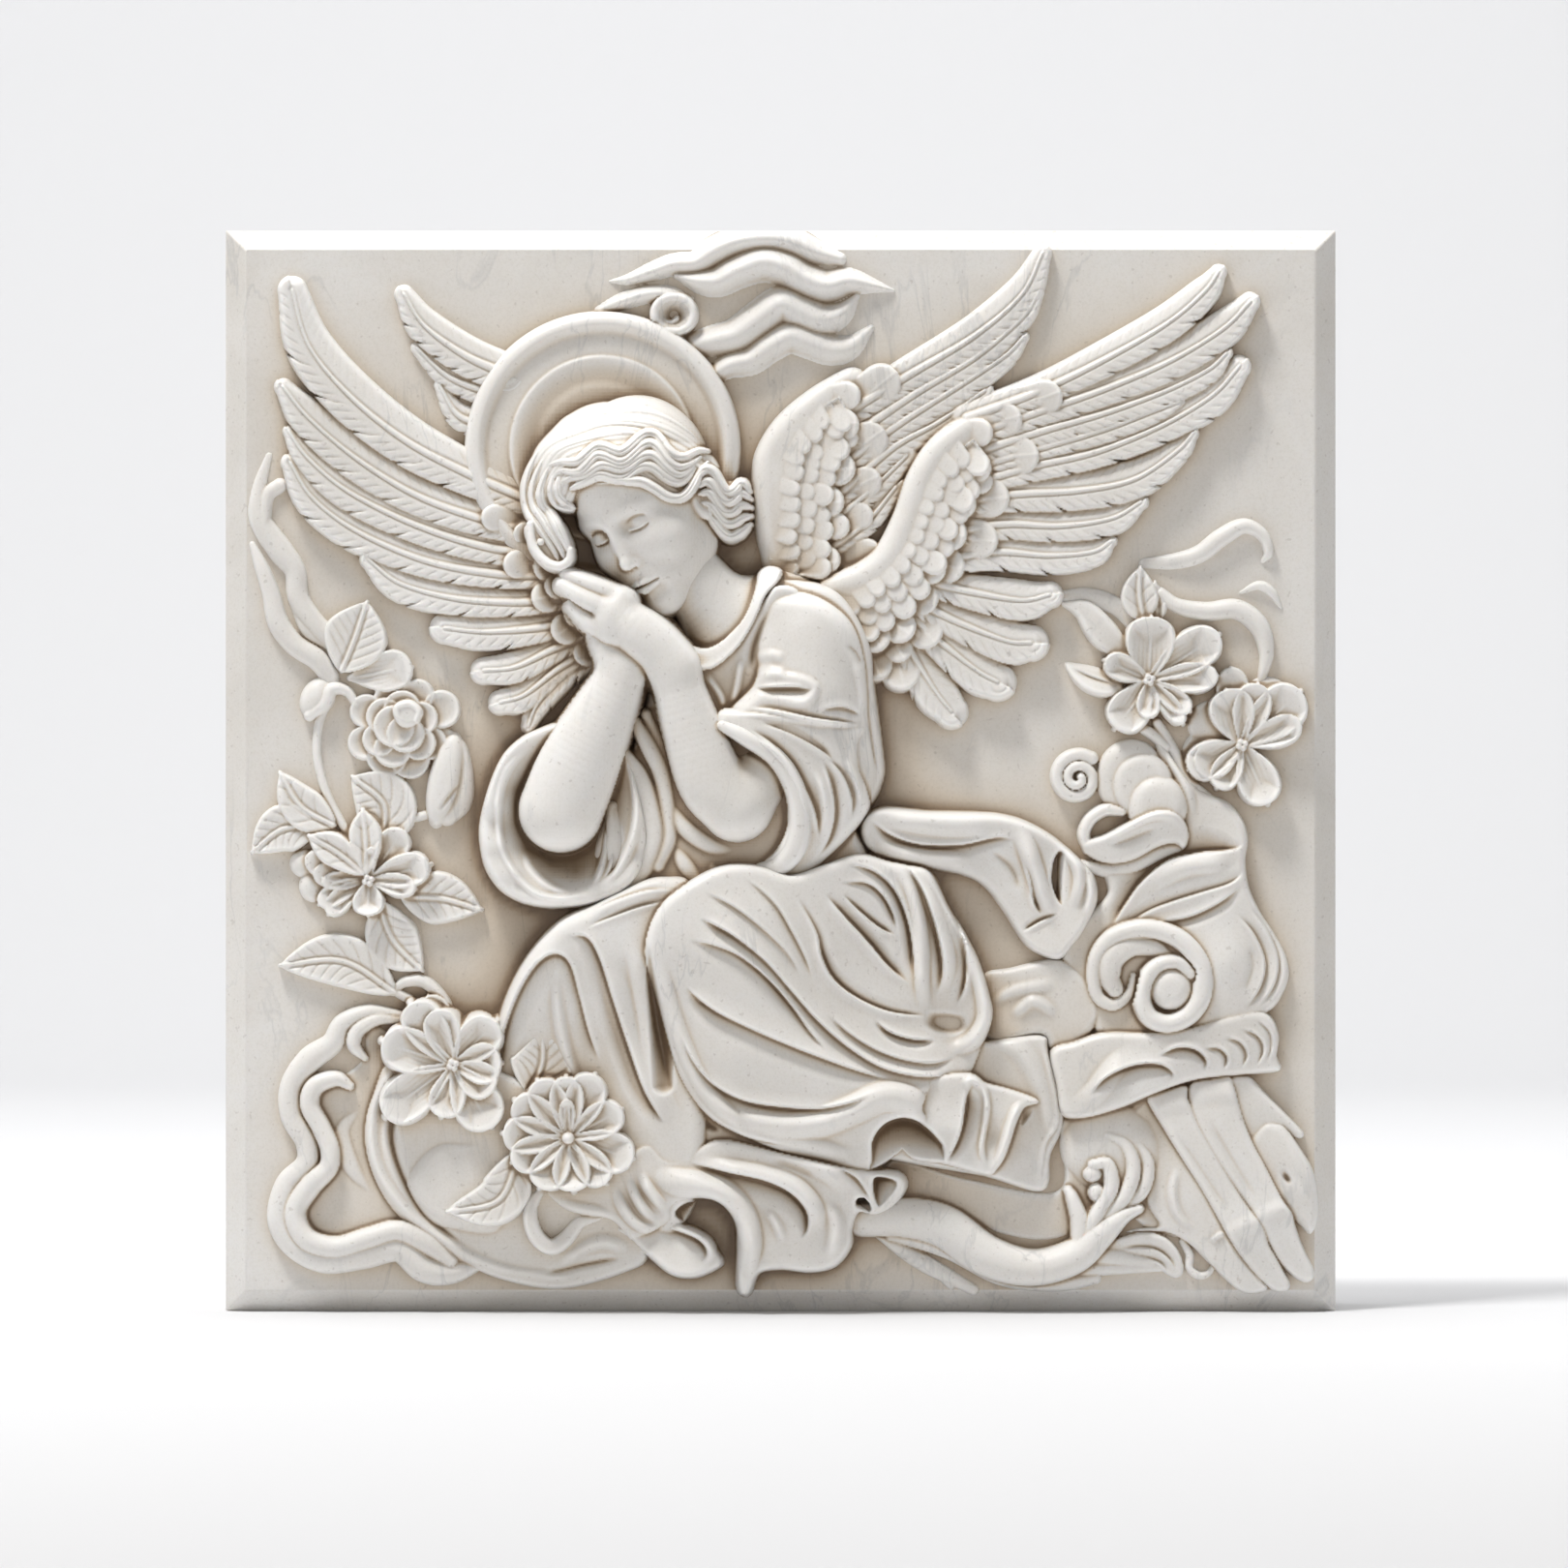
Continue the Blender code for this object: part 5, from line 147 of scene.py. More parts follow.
def curve(rows, step=LOOSE_STEP):
    """A smooth curve through rows of (x, z, ...), sampled densely."""
    p = np.array(rows, float)
    if len(p) == 2:
        n = max(2, int(np.hypot(*(p[1] - p[0])[:2]) / step) + 1)
        return p[0] + (p[1] - p[0]) * np.linspace(0, 1, n)[:, None]
    q = np.vstack([2 * p[0] - p[1], p, 2 * p[-1] - p[-2]])
    return np.vstack([span(*four, step) for four in zip(q, q[1:], q[2:], q[3:])] + [p[-1:]])


def closed_curve(points):
    """A smooth closed curve through (x, z) points."""
    p = np.array(points, float)
    turns = [np.roll(p, shift, axis=0) for shift in (1, 0, -1, -2)]
    out = np.vstack([span(*four, OUTLINE_STEP) for four in zip(*turns)])
    return np.vstack([out, out[:1]])


def arc(x0, z0, rx, rz, start, end, width, height):
    """Rows for a stroke along part of an ellipse, from the angle start to end in degrees."""
    angles = np.radians(np.arange(start, end, 25))
    return [(x0 + rx * np.cos(a), z0 + rz * np.sin(a), width, height) for a in angles]


def run_along(path):
    """The length of a path up to each of its points."""
    return np.concatenate([[0], np.cumsum(np.hypot(*np.diff(path[:, :2], axis=0).T))])


def along(x, z, path):
    """Nearest place on a path: how far along it, signed offset (left is positive), the path's length, and
    its other columns there."""
    steps = np.diff(path[:, :2], axis=0)
    run = np.hypot(*steps.T)
    start = run_along(path)
    near = np.full(x.shape, np.inf)
    place, side = np.zeros(x.shape), np.ones(x.shape)
    for i, (dx, dz) in enumerate(steps):
        if run[i] < 1e-9:
            continue
        px, pz = x - path[i, 0], z - path[i, 1]
        t = np.clip((px * dx + pz * dz) / run[i] ** 2, 0, 1)
        gap = (px - t * dx) ** 2 + (pz - t * dz) ** 2
        closer = gap < near
        near[closer] = gap[closer]
        place[closer] = (start[i] + t * run[i])[closer]
        side[closer] = np.sign(dx * pz - dz * px + 1e-12)[closer]
    columns = [np.interp(place, start, path[:, k]) for k in range(2, path.shape[1])]
    return place, side * np.sqrt(near), start[-1], columns


def facing(x, z, x0, z0, angle):
    """Places measured from (x0, z0), along a direction and across it."""
    a = np.radians(angle)
    px = (x - x0) * np.cos(a) + (z - z0) * np.sin(a)
    pz = -(x - x0) * np.sin(a) + (z - z0) * np.cos(a)
    return px, pz


def inside_of(x, z, path):
    hit = np.zeros(x.shape, bool)
    for (x0, z0), (x1, z1) in zip(path[:-1], path[1:]):
        if z0 == z1:
            continue
        spans = (z0 > z) != (z1 > z)
        hit ^= spans & (x < (x1 - x0) * (z - z0) / (z1 - z0) + x0)
    return hit


def depth_inside(x, z, path):
    """How far each place lies inside a closed path, less than 0 outside it."""
    _, off, _, _ = along(x, z, path)
    return np.where(inside_of(x, z, path), 1, -1) * np.abs(off)


def through(x, z, knots):
    """A smooth surface through knots (x, z, height): a thin-plate spline."""
    k = np.array(knots, float)
    if len(k) == 1:
        return np.full(x.shape, k[0, 2])

    def kernel(r2):
        return 0.5 * r2 * np.log(r2 + 1e-9)

    scale = 100.0
    ease = 0.002
    px, pz = k[:, 0] / scale, k[:, 1] / scale
    gaps = (px[:, None] - px) ** 2 + (pz[:, None] - pz) ** 2
    n = len(k)
    line = np.column_stack([np.ones(n), px, pz])
    system = np.zeros((n + 3, n + 3))
    system[:n, :n] = kernel(gaps) + ease * np.eye(n)
    system[:n, n:] = line
    system[n:, :n] = line.T
    solved = np.linalg.solve(system, np.concatenate([k[:, 2], np.zeros(3)]))
    gx, gz = x / scale, z / scale
    made = solved[n] + solved[n + 1] * gx + solved[n + 2] * gz
    for i in range(n):
        made += solved[i] * kernel((gx - px[i]) ** 2 + (gz - pz[i]) ** 2)
    return made


# Plain forms

def rise(d, r, h):
    """Height of a rounded edge: d is how far inside the outline, r the edge's radius, h the top's height."""
    crown = np.minimum(h, CROWN * r)
    wall = h - crown
    t = np.clip(d / r, 0, 1)
    inside = wall + np.minimum(crown * np.sqrt(1 - (1 - t) ** 2), STEEPEST_EDGE * np.maximum(d, 0))
    return np.where(d >= 0, inside, wall + np.maximum(WALL_SLOPE, wall / WALL_SPREAD) * d)


def stroke(c, rows, edge=None, base=0.0, shape=None, step=PATH_STEP):
    """A band along a curve. rows are (x, z, half width, height). edge is its edges' radius, or None for a
    round band. shape gives the top's height from the place across, which is 1 at the edge, and the row's."""
    path = curve(rows, step)
    box, x, z = c.beside(path, path[:, 2].max() + MARGIN)
    _, off, _, (w, h) = along(x, z, path)
    w = np.maximum(w, 0.05)
    top = shape(np.clip(off / w, -1.5, 1.5), h) if shape else h
    r = w if edge is None else np.minimum(edge, w)
    c.put(box, base + rise(w - np.abs(off), np.maximum(r, 0.3), top))


def add_ridge(c, rows):
    """Adds a soft ridge (or, with a negative height, a valley) that fades at both ends."""
    path = curve(rows, PATH_STEP)
    box, x, z = c.beside(path, path[:, 2].max() + MARGIN)
    place, off, length, (w, h) = along(x, z, path)
    ends = smooth(np.minimum(place, length - place) / (0.22 * length + 1e-9))
    c.put(box, h * arch(np.abs(off / w)) * ends, np.add)


def dome(c, x0, z0, rx, rz, h, turn=0.0, base=0.0, edge=1.0):
    """An ellipse with a domed top; edge < 1 gives it a flatter top."""
    box, x, z = c.round(x0, z0, max(rx, rz), MARGIN)
    px, pz = facing(x, z, x0, z0, turn)
    least = min(rx, rz)
    c.put(box, base + rise((1 - np.hypot(px / rx, pz / rz)) * least, least * edge, h))


def add_dome(c, x0, z0, rx, rz, h, turn=0.0):
    """Adds a soft swelling (or, with a negative height, a dimple) to what is there."""
    box, x, z = c.round(x0, z0, max(rx, rz), MARGIN)
    px, pz = facing(x, z, x0, z0, turn)
    c.put(box, h * arch(np.hypot(px / rx, pz / rz)), np.add)


def groove(c, rows):
    """Cuts a round-bottomed channel. rows are (x, z, half width, depth)."""
    path = curve(rows)
    box, x, z = c.beside(path, path[:, 2].max() + 1)
    place, off, _, (w, h) = along(x, z, path)
    u = np.clip(np.abs(off) / w, 0, 1)
    c.put(box, -h * (1 - u**2) ** 1.2 * smooth(place / 10), np.add)


def hollow(c, outline, knots):
    """Cuts down to a floor through knots inside a closed outline."""
    path = closed_curve(outline)
    box, x, z = c.beside(path, 2)
    _, off, _, _ = along(x, z, path)
    bank = 30 * np.clip(1 - np.abs(off) / 2.2, 0, 1) ** 2
    c.put(box, np.where(inside_of(x, z, path), through(x, z, knots) + bank, 1e3), np.minimum)


# Cloth

def fold(x, z, kind, rows):
    """What a fold adds to a cloth's height. rows are (x, z, half width, height). It fades at both ends."""
    place, off, length, (w, h) = along(x, z, curve(rows))
    to_end = np.minimum(place, length - place)
    if kind == "roll":
        u = np.clip(off / np.maximum(ROLL_REACH * w, 0.3), -1, 1)
        return ROLL_SHARE * h * (1 - u**2) * smooth(to_end / np.minimum(0.40 * length, ROLL_FADE))
    w = np.maximum(w, 0.3)
    u = np.clip(off / w, -1, 1)
    left, right = 1 - np.clip(u, 0, 1), 1 - np.clip(-u, 0, 1)
    fade = smooth(to_end / np.minimum(0.25 * length, FOLD_FADE))
    if kind == "crease":
        side = smooth(off / CREASE_SOFTNESS + 0.5)
        return (0.4 * h * left**2 * side + -h * right**1.7 * (1 - side)) * fade
    if kind == "pleat":
        side = smooth(off / PLEAT_SOFTNESS + 0.5)
        lip = left**1.6 * np.sqrt(1 - (1 - np.clip(off / 3.0, 0, 1)) ** 2)
        made = h * (lip * side - 0.55 * right**1.8 * (1 - side))
    elif kind == "ridge":
        made = h * np.cos(u * np.pi / 2) ** 2
    elif kind == "valley":
        made = -h * (1 - np.abs(u)) ** 1.7
    elif kind == "pocket":
        made = -h * (1 - u**2) ** 1.4
    return made * fade * (np.abs(off) < w)


def soft_max(a, b, soft):
    """The larger of two heights, rounded over where they meet."""
    near = np.clip(1 - np.abs(a - b) / soft, 0, 1)
    return np.maximum(a, b) + soft * near**2 / 4


def folded(x, z, top, folds):
    """A cloth's height with its folds: rolls lie on it side by side, the others add up."""
    rolls = np.zeros_like(top)
    for kind, rows in folds:
        if kind == "roll":
            rolls = soft_max(rolls, fold(x, z, kind, rows), ROLLS_MEET)
    made = top + rolls
    for kind, rows in folds:
        if kind != "roll":
            made = made + fold(x, z, kind, rows)
    return made


def plate(c, outline, knots, folds=(), edge=4.0):
    """A form with a closed outline, its height through knots, folds on it and rounded edges."""
    path = closed_curve(outline)
    box, x, z = c.beside(path, WIDE_MARGIN)
    top = folded(x, z, through(x, z, knots), folds)
    c.put(box, rise(depth_inside(x, z, path), edge, np.maximum(top, 0.5)))


# Head, neck and arms, as forms that are seen square on

HEAD = dict(x=-71.5, z=436.5, h=14.0, length=114.0, yaw=38.0, nod=12.0, lean=31.0)
SHEET = dict(x=0.0, z=0.0, h=0.0, length=100.0, yaw=0.0, nod=0.0, lean=0.0)
MARCH_STEPS = 46
STEP_SHARE = 0.85
LEAST_STEP = 0.03
CLOSE = 0.02
HIT = 0.25
FALL = 9


def turned(yaw, nod, lean):
    """Rotation from the head's own axes (right, up, forward) to the tablet's (x, z, height)."""
    y, n, r = np.radians([yaw, nod, lean])
    turn = np.array([[np.cos(y), 0, -np.sin(y)], [0, 1, 0], [np.sin(y), 0, np.cos(y)]])
    dip = np.array([[1, 0, 0], [0, np.cos(n), -np.sin(n)], [0, np.sin(n), np.cos(n)]])
    roll = np.array([[np.cos(r), -np.sin(r), 0], [np.sin(r), np.cos(r), 0], [0, 0, 1]])
    return roll @ dip @ turn


def join(a, b, k):
    """Two forms as one, with a soft inner corner of size k."""
    t = np.clip(0.5 + 0.5 * (b - a) / k, 0, 1)
    return b + (a - b) * t - k * t * (1 - t)


def carve(a, b, k):
    """The first form without the second."""
    return -join(-a, b, k)


def ball(p, x, y, z, rx, ry=None, rz=None):
    ry, rz = ry or rx, rz or rx
    q = np.sqrt(((p[0] - x) / rx) ** 2 + ((p[1] - y) / ry) ** 2 + ((p[2] - z) / rz) ** 2)
    g = np.sqrt(((p[0] - x) / rx**2) ** 2 + ((p[1] - y) / ry**2) ** 2 + ((p[2] - z) / rz**2) ** 2)
    return q * (q - 1) / np.maximum(g, 1e-6)


def rod(p, a, b, ra, rb=None):
    rb = ra if rb is None else rb
    ab = np.subtract(b, a)
    t = np.clip(sum((p[i] - a[i]) * ab[i] for i in range(3)) / (ab @ ab), 0, 1)
    return np.sqrt(sum((p[i] - a[i] - t * ab[i]) ** 2 for i in range(3))) - (ra + (rb - ra) * t)


def head_form(p):
    """Signed distance in head lengths: right, up and forward of the head's middle."""
    q = (np.abs(p[0]), p[1], p[2])
    d = ball(p, 0, 0.13, -0.06, 0.305, 0.365, 0.415)
    d = join(d, ball(p, 0, -0.08, 0.09, 0.262, 0.30, 0.270), 0.08)
    d = join(d, ball(p, 0, -0.285, 0.13, 0.202, 0.180, 0.215), 0.09)
    d = join(d, ball(q, 0.138, -0.23, 0.01, 0.090, 0.12, 0.13), 0.09)
    d = join(d, ball(q, 0.140, -0.130, 0.215, 0.095, 0.090, 0.095), 0.08)
    d = join(d, ball(p, 0, -0.285, 0.262, 0.120, 0.085, 0.080), 0.07)
    d = join(d, ball(p, 0, -0.405, 0.272, 0.082, 0.066, 0.074), 0.09)
    # brow, eye socket, eyeball
    d = join(d, rod(q, (0.030, 0.058, 0.318), (0.190, 0.066, 0.245), 0.018, 0.014), 0.07)
    d = carve(d, ball(q, 0.118, 0.004, 0.360, 0.078, 0.044, 0.062), 0.06)
    d = join(d, ball(q, 0.118, -0.012, 0.256, 0.060, 0.050, 0.056), 0.014)
    # nose
    d = join(d, rod(p, (0, 0.050, 0.315), (0, -0.130, 0.372), 0.014, 0.022), 0.05)
    d = join(d, ball(p, 0, -0.150, 0.380, 0.028, 0.026, 0.030), 0.03)
    d = join(d, ball(q, 0.033, -0.162, 0.345, 0.022, 0.020, 0.028), 0.022)
    d = carve(d, ball(q, 0.016, -0.188, 0.365, 0.009, 0.010, 0.014), 0.01)
    # the hollow under the lips, then the lips and the line where they meet
    d = carve(d, rod(q, (0, -0.345, 0.400), (0.080, -0.335, 0.365), 0.026), 0.05)
    d = join(d, rod(q, (0.014, -0.262, 0.366), (0.086, -0.279, 0.338), 0.016, 0.005), 0.014)
    d = join(d, rod(q, (0.000, -0.303, 0.364), (0.064, -0.294, 0.342), 0.019, 0.010), 0.014)
    mouth = p[1] + 0.2815 - 0.35 * q[0] ** 2
    d = d + 0.014 * np.exp(-(mouth / 0.006) ** 2) * smooth((0.100 - q[0]) / 0.02) * (p[2] > 0.2)
    # the closed lids: the lash line low on the eyeball and a soft crease over it
    across = q[0] - 0.118
    on_eye = smooth((0.060 - np.abs(across)) / 0.02) * (p[2] > 0.2)
    lash = p[1] + 0.036 - 3.2 * across**2
    d = d + (0.010 * np.exp(-(lash / 0.006) ** 2) - 0.006 * np.exp(-((lash - 0.011) / 0.008) ** 2)) * on_eye
    crease = p[1] - 0.028 + 5.0 * across**2
    d = d + 0.006 * np.exp(-(crease / 0.007) ** 2) * on_eye
    # ears
    ear = ball(q, 0.282, -0.100, 0.020, 0.034, 0.088, 0.052)
    ear = carve(ear, ball(q, 0.318, -0.085, 0.045, 0.022, 0.052, 0.030), 0.02)
    return join(d, ear, 0.012)


def march(form, x, z, place):
    """Height of a form seen square on. Rays that pass by it keep falling away, which makes its wall."""
    axes = turned(place["yaw"], place["nod"], place["lean"])
    size = place["length"]
    h = np.full(x.shape, place["h"] + 0.60 * size)
    nearest = np.full(x.shape, 1e3)
    best = h.copy()
    dx, dz = (x - place["x"]) / size, (z - place["z"]) / size
    for _ in range(MARCH_STEPS):
        dh = (h - place["h"]) / size
        p = [axes[0, i] * dx + axes[1, i] * dz + axes[2, i] * dh for i in range(3)]
        d = form(p) * size
        closer = d < nearest
        nearest = np.where(closer, d, nearest)
        best = np.where(closer, h, best)
        h = h - np.maximum(d, LEAST_STEP) * STEP_SHARE * (d > CLOSE)
        h = np.maximum(h, place["h"] - 0.1 * size)
    return np.where(nearest < HIT, best, best - FALL * nearest)


def head(c):
    box, x, z = c.round(HEAD["x"], HEAD["z"], 0.62 * HEAD["length"])
    c.put(box, march(head_form, x, z, HEAD))


def limb(p, rows):
    """Rods end to end through (x, z, height, radius), in sheet units."""
    q = [SHEET["length"] * v for v in p]
    spine = curve(rows, 4.0)
    d = np.full(q[0].shape, 1e3)
    for a, b in zip(spine, spine[1:]):
        d = np.minimum(d, rod(q, a[:3], b[:3], a[3], b[3]))
    return d


def put_form(c, form, low, high):
    """Carves a form given in sheet units."""
    box, x, z = c.window(low, high)
    c.put(box, march(lambda p: form(p) / SHEET["length"], x, z, SHEET))


def neck_form(p):
    neck = limb(p, [(-60, 408, 14, 19), (-42, 388, 14, 19), (-26, 370, 9, 23)])
    chest = limb(p, [(-24, 362, 0, 28), (0, 374, 0, 27)])
    return join(neck, chest, 12)


def far_arm_form(p):
    arm = limb(p, [(-118, 271, 27, 22.5), (-109, 293, 28, 22), (-98, 316, 31, 18), (-88, 337, 34, 14),
                   (-84, 348, 35, 12.5)])
    hand = limb(p, [(-84, 348, 35, 12), (-91, 359, 35, 10.5), (-98, 369, 33, 7), (-108, 384, 30, 5)])
    return join(arm, hand, 5)


def near_arm_form(p):
    arm = limb(p, [(-24, 273, 33, 18.5), (-37, 287, 35, 18), (-47, 314, 38, 15.5), (-54, 336, 41, 13),
                   (-57, 347, 42, 12.5)])
    upper = limb(p, [(-22, 273, 31, 17.5), (-10, 289, 27, 16)])
    arm = join(arm, upper, 5)
    palm = limb(p, [(-57, 347, 42, 12.5), (-65, 357, 43, 13.5), (-76, 366, 43, 13.5), (-87, 374, 42, 11)])
    knuckles = limb(p, [(-84, 384, 44, 5.5), (-91, 376, 45, 6), (-92, 366, 44, 5.5)])
    return join(join(arm, palm, 6), knuckles, 7)


def fingers_form(p):
    first = limb(p, [(-82, 383.5, 43, 5.6), (-99, 390.6, 42, 4.7), (-114, 396.6, 38, 3.5)])
    second = limb(p, [(-86, 376, 45, 5.8), (-103, 383.2, 44, 5.0), (-117, 391.4, 39, 3.5)])
    third = limb(p, [(-86, 364.5, 43, 6.2), (-101, 371.0, 41, 5.2), (-112, 380.2, 37, 3.2)])
    return join(join(first, second, 0.8), third, 0.8)


def near_hand_form(p):
    return join(near_arm_form(p), fingers_form(p), 2.6)


# Hair

HAIR_TOP = [
    (-88, 486, 34), (-110, 480, 34), (-60, 480, 30), (-90, 470, 50), (-118, 464, 46), (-65, 464, 48),
    (-95, 454, 58), (-75, 450, 56), (-45, 464, 34), (-48, 450, 44), (-128, 452, 38), (-118, 440, 48),
    (-134, 436, 32), (-58, 442, 50), (-36, 446, 34), (-25, 436, 27), (-30, 420, 24), (-130, 420, 34),
    (-120, 410, 38),
]
CAP = [
    (-122, 431), (-112, 433), (-108, 440), (-104, 444), (-90, 445), (-78, 447), (-68, 444), (-60, 441),
    (-51, 441), (-47, 445), (-41, 440), (-38, 430), (-32, 420), (-26, 415), (-19, 419), (-16, 430),
    (-17, 442), (-24, 448), (-30, 449), (-34, 458), (-41, 466), (-52, 477), (-68, 486), (-86, 490.5),
    (-102, 489.5), (-115, 483), (-123, 475), (-131, 466), (-136, 454), (-138, 440), (-137, 428),
    (-131, 416), (-122, 404), (-114, 404), (-114, 416), (-116, 424),
]
WAVES = [
    [(-126, 457), (-115, 460), (-108, 460), (-98, 467), (-92, 467), (-86, 465), (-80, 468), (-75, 473),
     (-69, 475), (-64, 471), (-60, 465), (-54, 462), (-48, 464), (-43, 468), (-38, 465)],
    [(-125, 452), (-118, 454), (-110, 453), (-104, 457), (-99, 462), (-93, 461), (-87, 458), (-81, 461),
     (-75, 467), (-70, 470), (-65, 466), (-60, 459), (-53, 456), (-46, 459), (-41, 462)],
    [(-121, 446), (-115, 450), (-107, 449), (-102, 453), (-97, 458), (-90, 456), (-84, 454), (-78, 458),
     (-72, 463), (-67, 462), (-62, 456), (-56, 452), (-50, 453), (-45, 458)],
    [(-114, 445), (-105, 448), (-96, 453), (-90, 451), (-84, 450), (-79, 454), (-73, 458), (-68, 457),
     (-62, 452), (-55, 448), (-50, 450), (-46, 455)],
    [(-110, 440), (-104, 444), (-97, 447), (-91, 445), (-85, 445), (-79, 448), (-74, 451), (-68, 450),
     (-62, 446), (-55, 444), (-50, 447), (-46, 452)],
]
GATHERED = [
    [(-46, 448), (-42, 456), (-37, 456), (-33, 449), (-29, 444), (-25, 445), (-21, 449), (-17, 444)],
    [(-46, 445), (-41, 450), (-37, 449), (-33, 443), (-29, 439), (-25, 440), (-21, 444), (-16.5, 440)],
    [(-44, 442), (-39, 444), (-35, 438), (-31, 434), (-26, 434), (-22, 438), (-16, 436)],
    [(-43, 438), (-38, 438), (-34, 433), (-30, 428), (-25, 428), (-21, 431), (-16, 431)],
    [(-41, 433), (-37, 430), (-32, 424), (-27, 422), (-22, 424), (-16, 427)],
    [(-39, 427), (-35, 422), (-30, 416), (-26, 414), (-21, 417), (-17, 422)],
]
SIDE = [
    [(-131, 466), (-137, 452), (-138.5, 441), (-137, 431), (-133, 424), (-128, 417), (-123.5, 410),
     (-121, 404)],
    [(-128, 462), (-133, 450), (-134.5, 440), (-133, 432), (-129, 426), (-124, 419), (-119.5, 411),
     (-117, 404.5)],
    [(-125, 457), (-129, 447), (-130.5, 439), (-129, 433), (-125, 428), (-120.5, 420), (-116, 412),
     (-113.5, 405.5)],
    [(-122, 453), (-125, 445), (-126, 439), (-124, 434), (-120, 429), (-116, 421), (-112.5, 413),
     (-110.5, 407)],
]
TEMPLE = [
    [(-122, 452), (-124, 444), (-123.5, 438), (-120, 433), (-112, 431)],
    [(-119.5, 450), (-120.5, 444), (-120, 439), (-117, 435), (-111, 432)],
    [(-117, 449), (-117.5, 444), (-116.5, 440), (-114, 437), (-110, 433)],
]
FRONT_LOCK = [
    [(-92, 450), (-84, 448), (-76, 448), (-68, 444.5), (-61, 440.5), (-54, 440), (-49, 445), (-45, 453),
     (-40, 460)],
    [(-90, 446), (-81, 444.5), (-73, 444), (-66, 440), (-60, 436), (-53, 435.5), (-47, 440), (-42, 449),
     (-38, 455)],
]
CAP_EDGE = 15
COMB_PITCH = 2.6
COMB_DEPTH = 1.5
STRAND_DEPTH = 0.9
HAIRLINE = 436


def cap_height(x, z, least=-1e3):
    """The cap's height. least is the depth inside its outline that places nearer the edge are given."""
    d = depth_inside(x, z, closed_curve(CAP))
    return rise(np.maximum(d, least), CAP_EDGE, through(x, z, HAIR_TOP))


def comb(off, place):
    """Fine strands side by side, a little uneven."""
    across = off + 0.8 * np.sin(place / 17.0) + 0.5 * np.sin(place / 7.0 + off / 3.0)
    coarse = np.abs(np.sin(np.pi * across / (2.7 * COMB_PITCH)))
    fine = np.abs(np.sin(np.pi * across / COMB_PITCH))
    return COMB_DEPTH * (0.7 * (coarse - 1) + 0.4 * (fine - 1))


def between(a, b, count=24):
    """The line midway from one line to another."""
    made = []
    for line in (a, b):
        p = curve(line)
        run = run_along(p)
        s = np.linspace(0, run[-1], count)
        made.append(np.column_stack([np.interp(s, run, p[:, 0]), np.interp(s, run, p[:, 1])]))
    return 0.5 * made[0] + 0.5 * made[1]


def lock(c, line, width, lift, taper=0.22, rounded=False):
    """A lock of hair lying over the cap: a rounded band with two or three strands along it."""
    p = np.array(line, float)
    under = through(p[:, 0], p[:, 1], HAIR_TOP)
    if rounded:
        lower = smooth((HAIRLINE - p[:, 1]) / 14)
        under = under * lower + cap_height(p[:, 0], p[:, 1], 3.0) * (1 - lower)
    s = np.linspace(0, 1, len(p))
    ends = np.clip(np.minimum(s, 1 - s) / taper, 0, 1) ** 0.6
    rows = np.column_stack([p, width * (0.25 + 0.75 * ends), under + lift * (1.4 * ends - 0.4)])

    def shape(u, h):
        strands = np.abs(np.sin(1.5 * np.pi * np.clip(u, -1, 1))) - 1
        return h + STRAND_DEPTH * strands * (1 - np.abs(u)) - 1.2 * np.clip(np.abs(u), 0, 1) ** 2
    stroke(c, rows, shape=shape, step=1.5, edge=0.8 * width)


def hair(c):
    # the cap of hair over the skull, combed along its outline
    guide = curve([(-141, 430), (-136, 446), (-125, 464), (-108, 472), (-90, 475), (-70, 474), (-52, 466),
                   (-38, 456), (-26, 446)])
    path = closed_curve(CAP)
    box, x, z = c.beside(path, WIDE_MARGIN)
    skull = np.where(inside_of(x, z, path), c.height[box] + 1.6, 0)
    place, off, _, _ = along(x, z, guide)
    c.put(box, np.maximum(cap_height(x, z), skull) + comb(off, place))
    # the side of the hair sweeps down and turns under into a curl
    plate(c, [(-136, 424), (-135, 413), (-130, 405), (-122, 400), (-115, 401), (-111, 408), (-112, 416),
              (-120, 428)], [(-123, 412, 34)])
    stroke(c, [
        (-134, 424, 1.8, 37), (-133, 414, 2.3, 38), (-129, 407, 2.4, 40), (-123.5, 402.5, 2.4, 42),
        (-117.5, 401.5, 2.4, 43), (-113, 405, 2.2, 43), (-112.5, 410, 1.8, 43),
    ])
    dome(c, -128.5, 414.5, 1.9, 1.9, 38)
    for k, (a, b) in enumerate(zip(SIDE, SIDE[1:])):
        lock(c, between(a, b), 3.0, 1.6 + 0.5 * k, taper=0.3, rounded=True)
    for a, b in zip(TEMPLE, TEMPLE[1:]):
        lock(c, between(a, b), 2.6, 2.6, taper=0.35, rounded=True)
    for a, b in zip(GATHERED, GATHERED[1:]):
        lock(c, between(a, b), 3.1, 2.0)
    for k, (a, b) in enumerate(reversed(list(zip(WAVES, WAVES[1:])))):
        lock(c, between(a, b), 3.3, 0.8 + 0.9 * k)
    lock(c, between(*FRONT_LOCK), 2.9, 2.2)


# Feathers

TRAILING_SLANT = 1.7
BARB_PITCH = 6.5
BARB_SLANT = 1.2
CROWN_LIFT = 1.5
FEATHER_EDGE = 2.4
COVERT_EDGE = 1.9


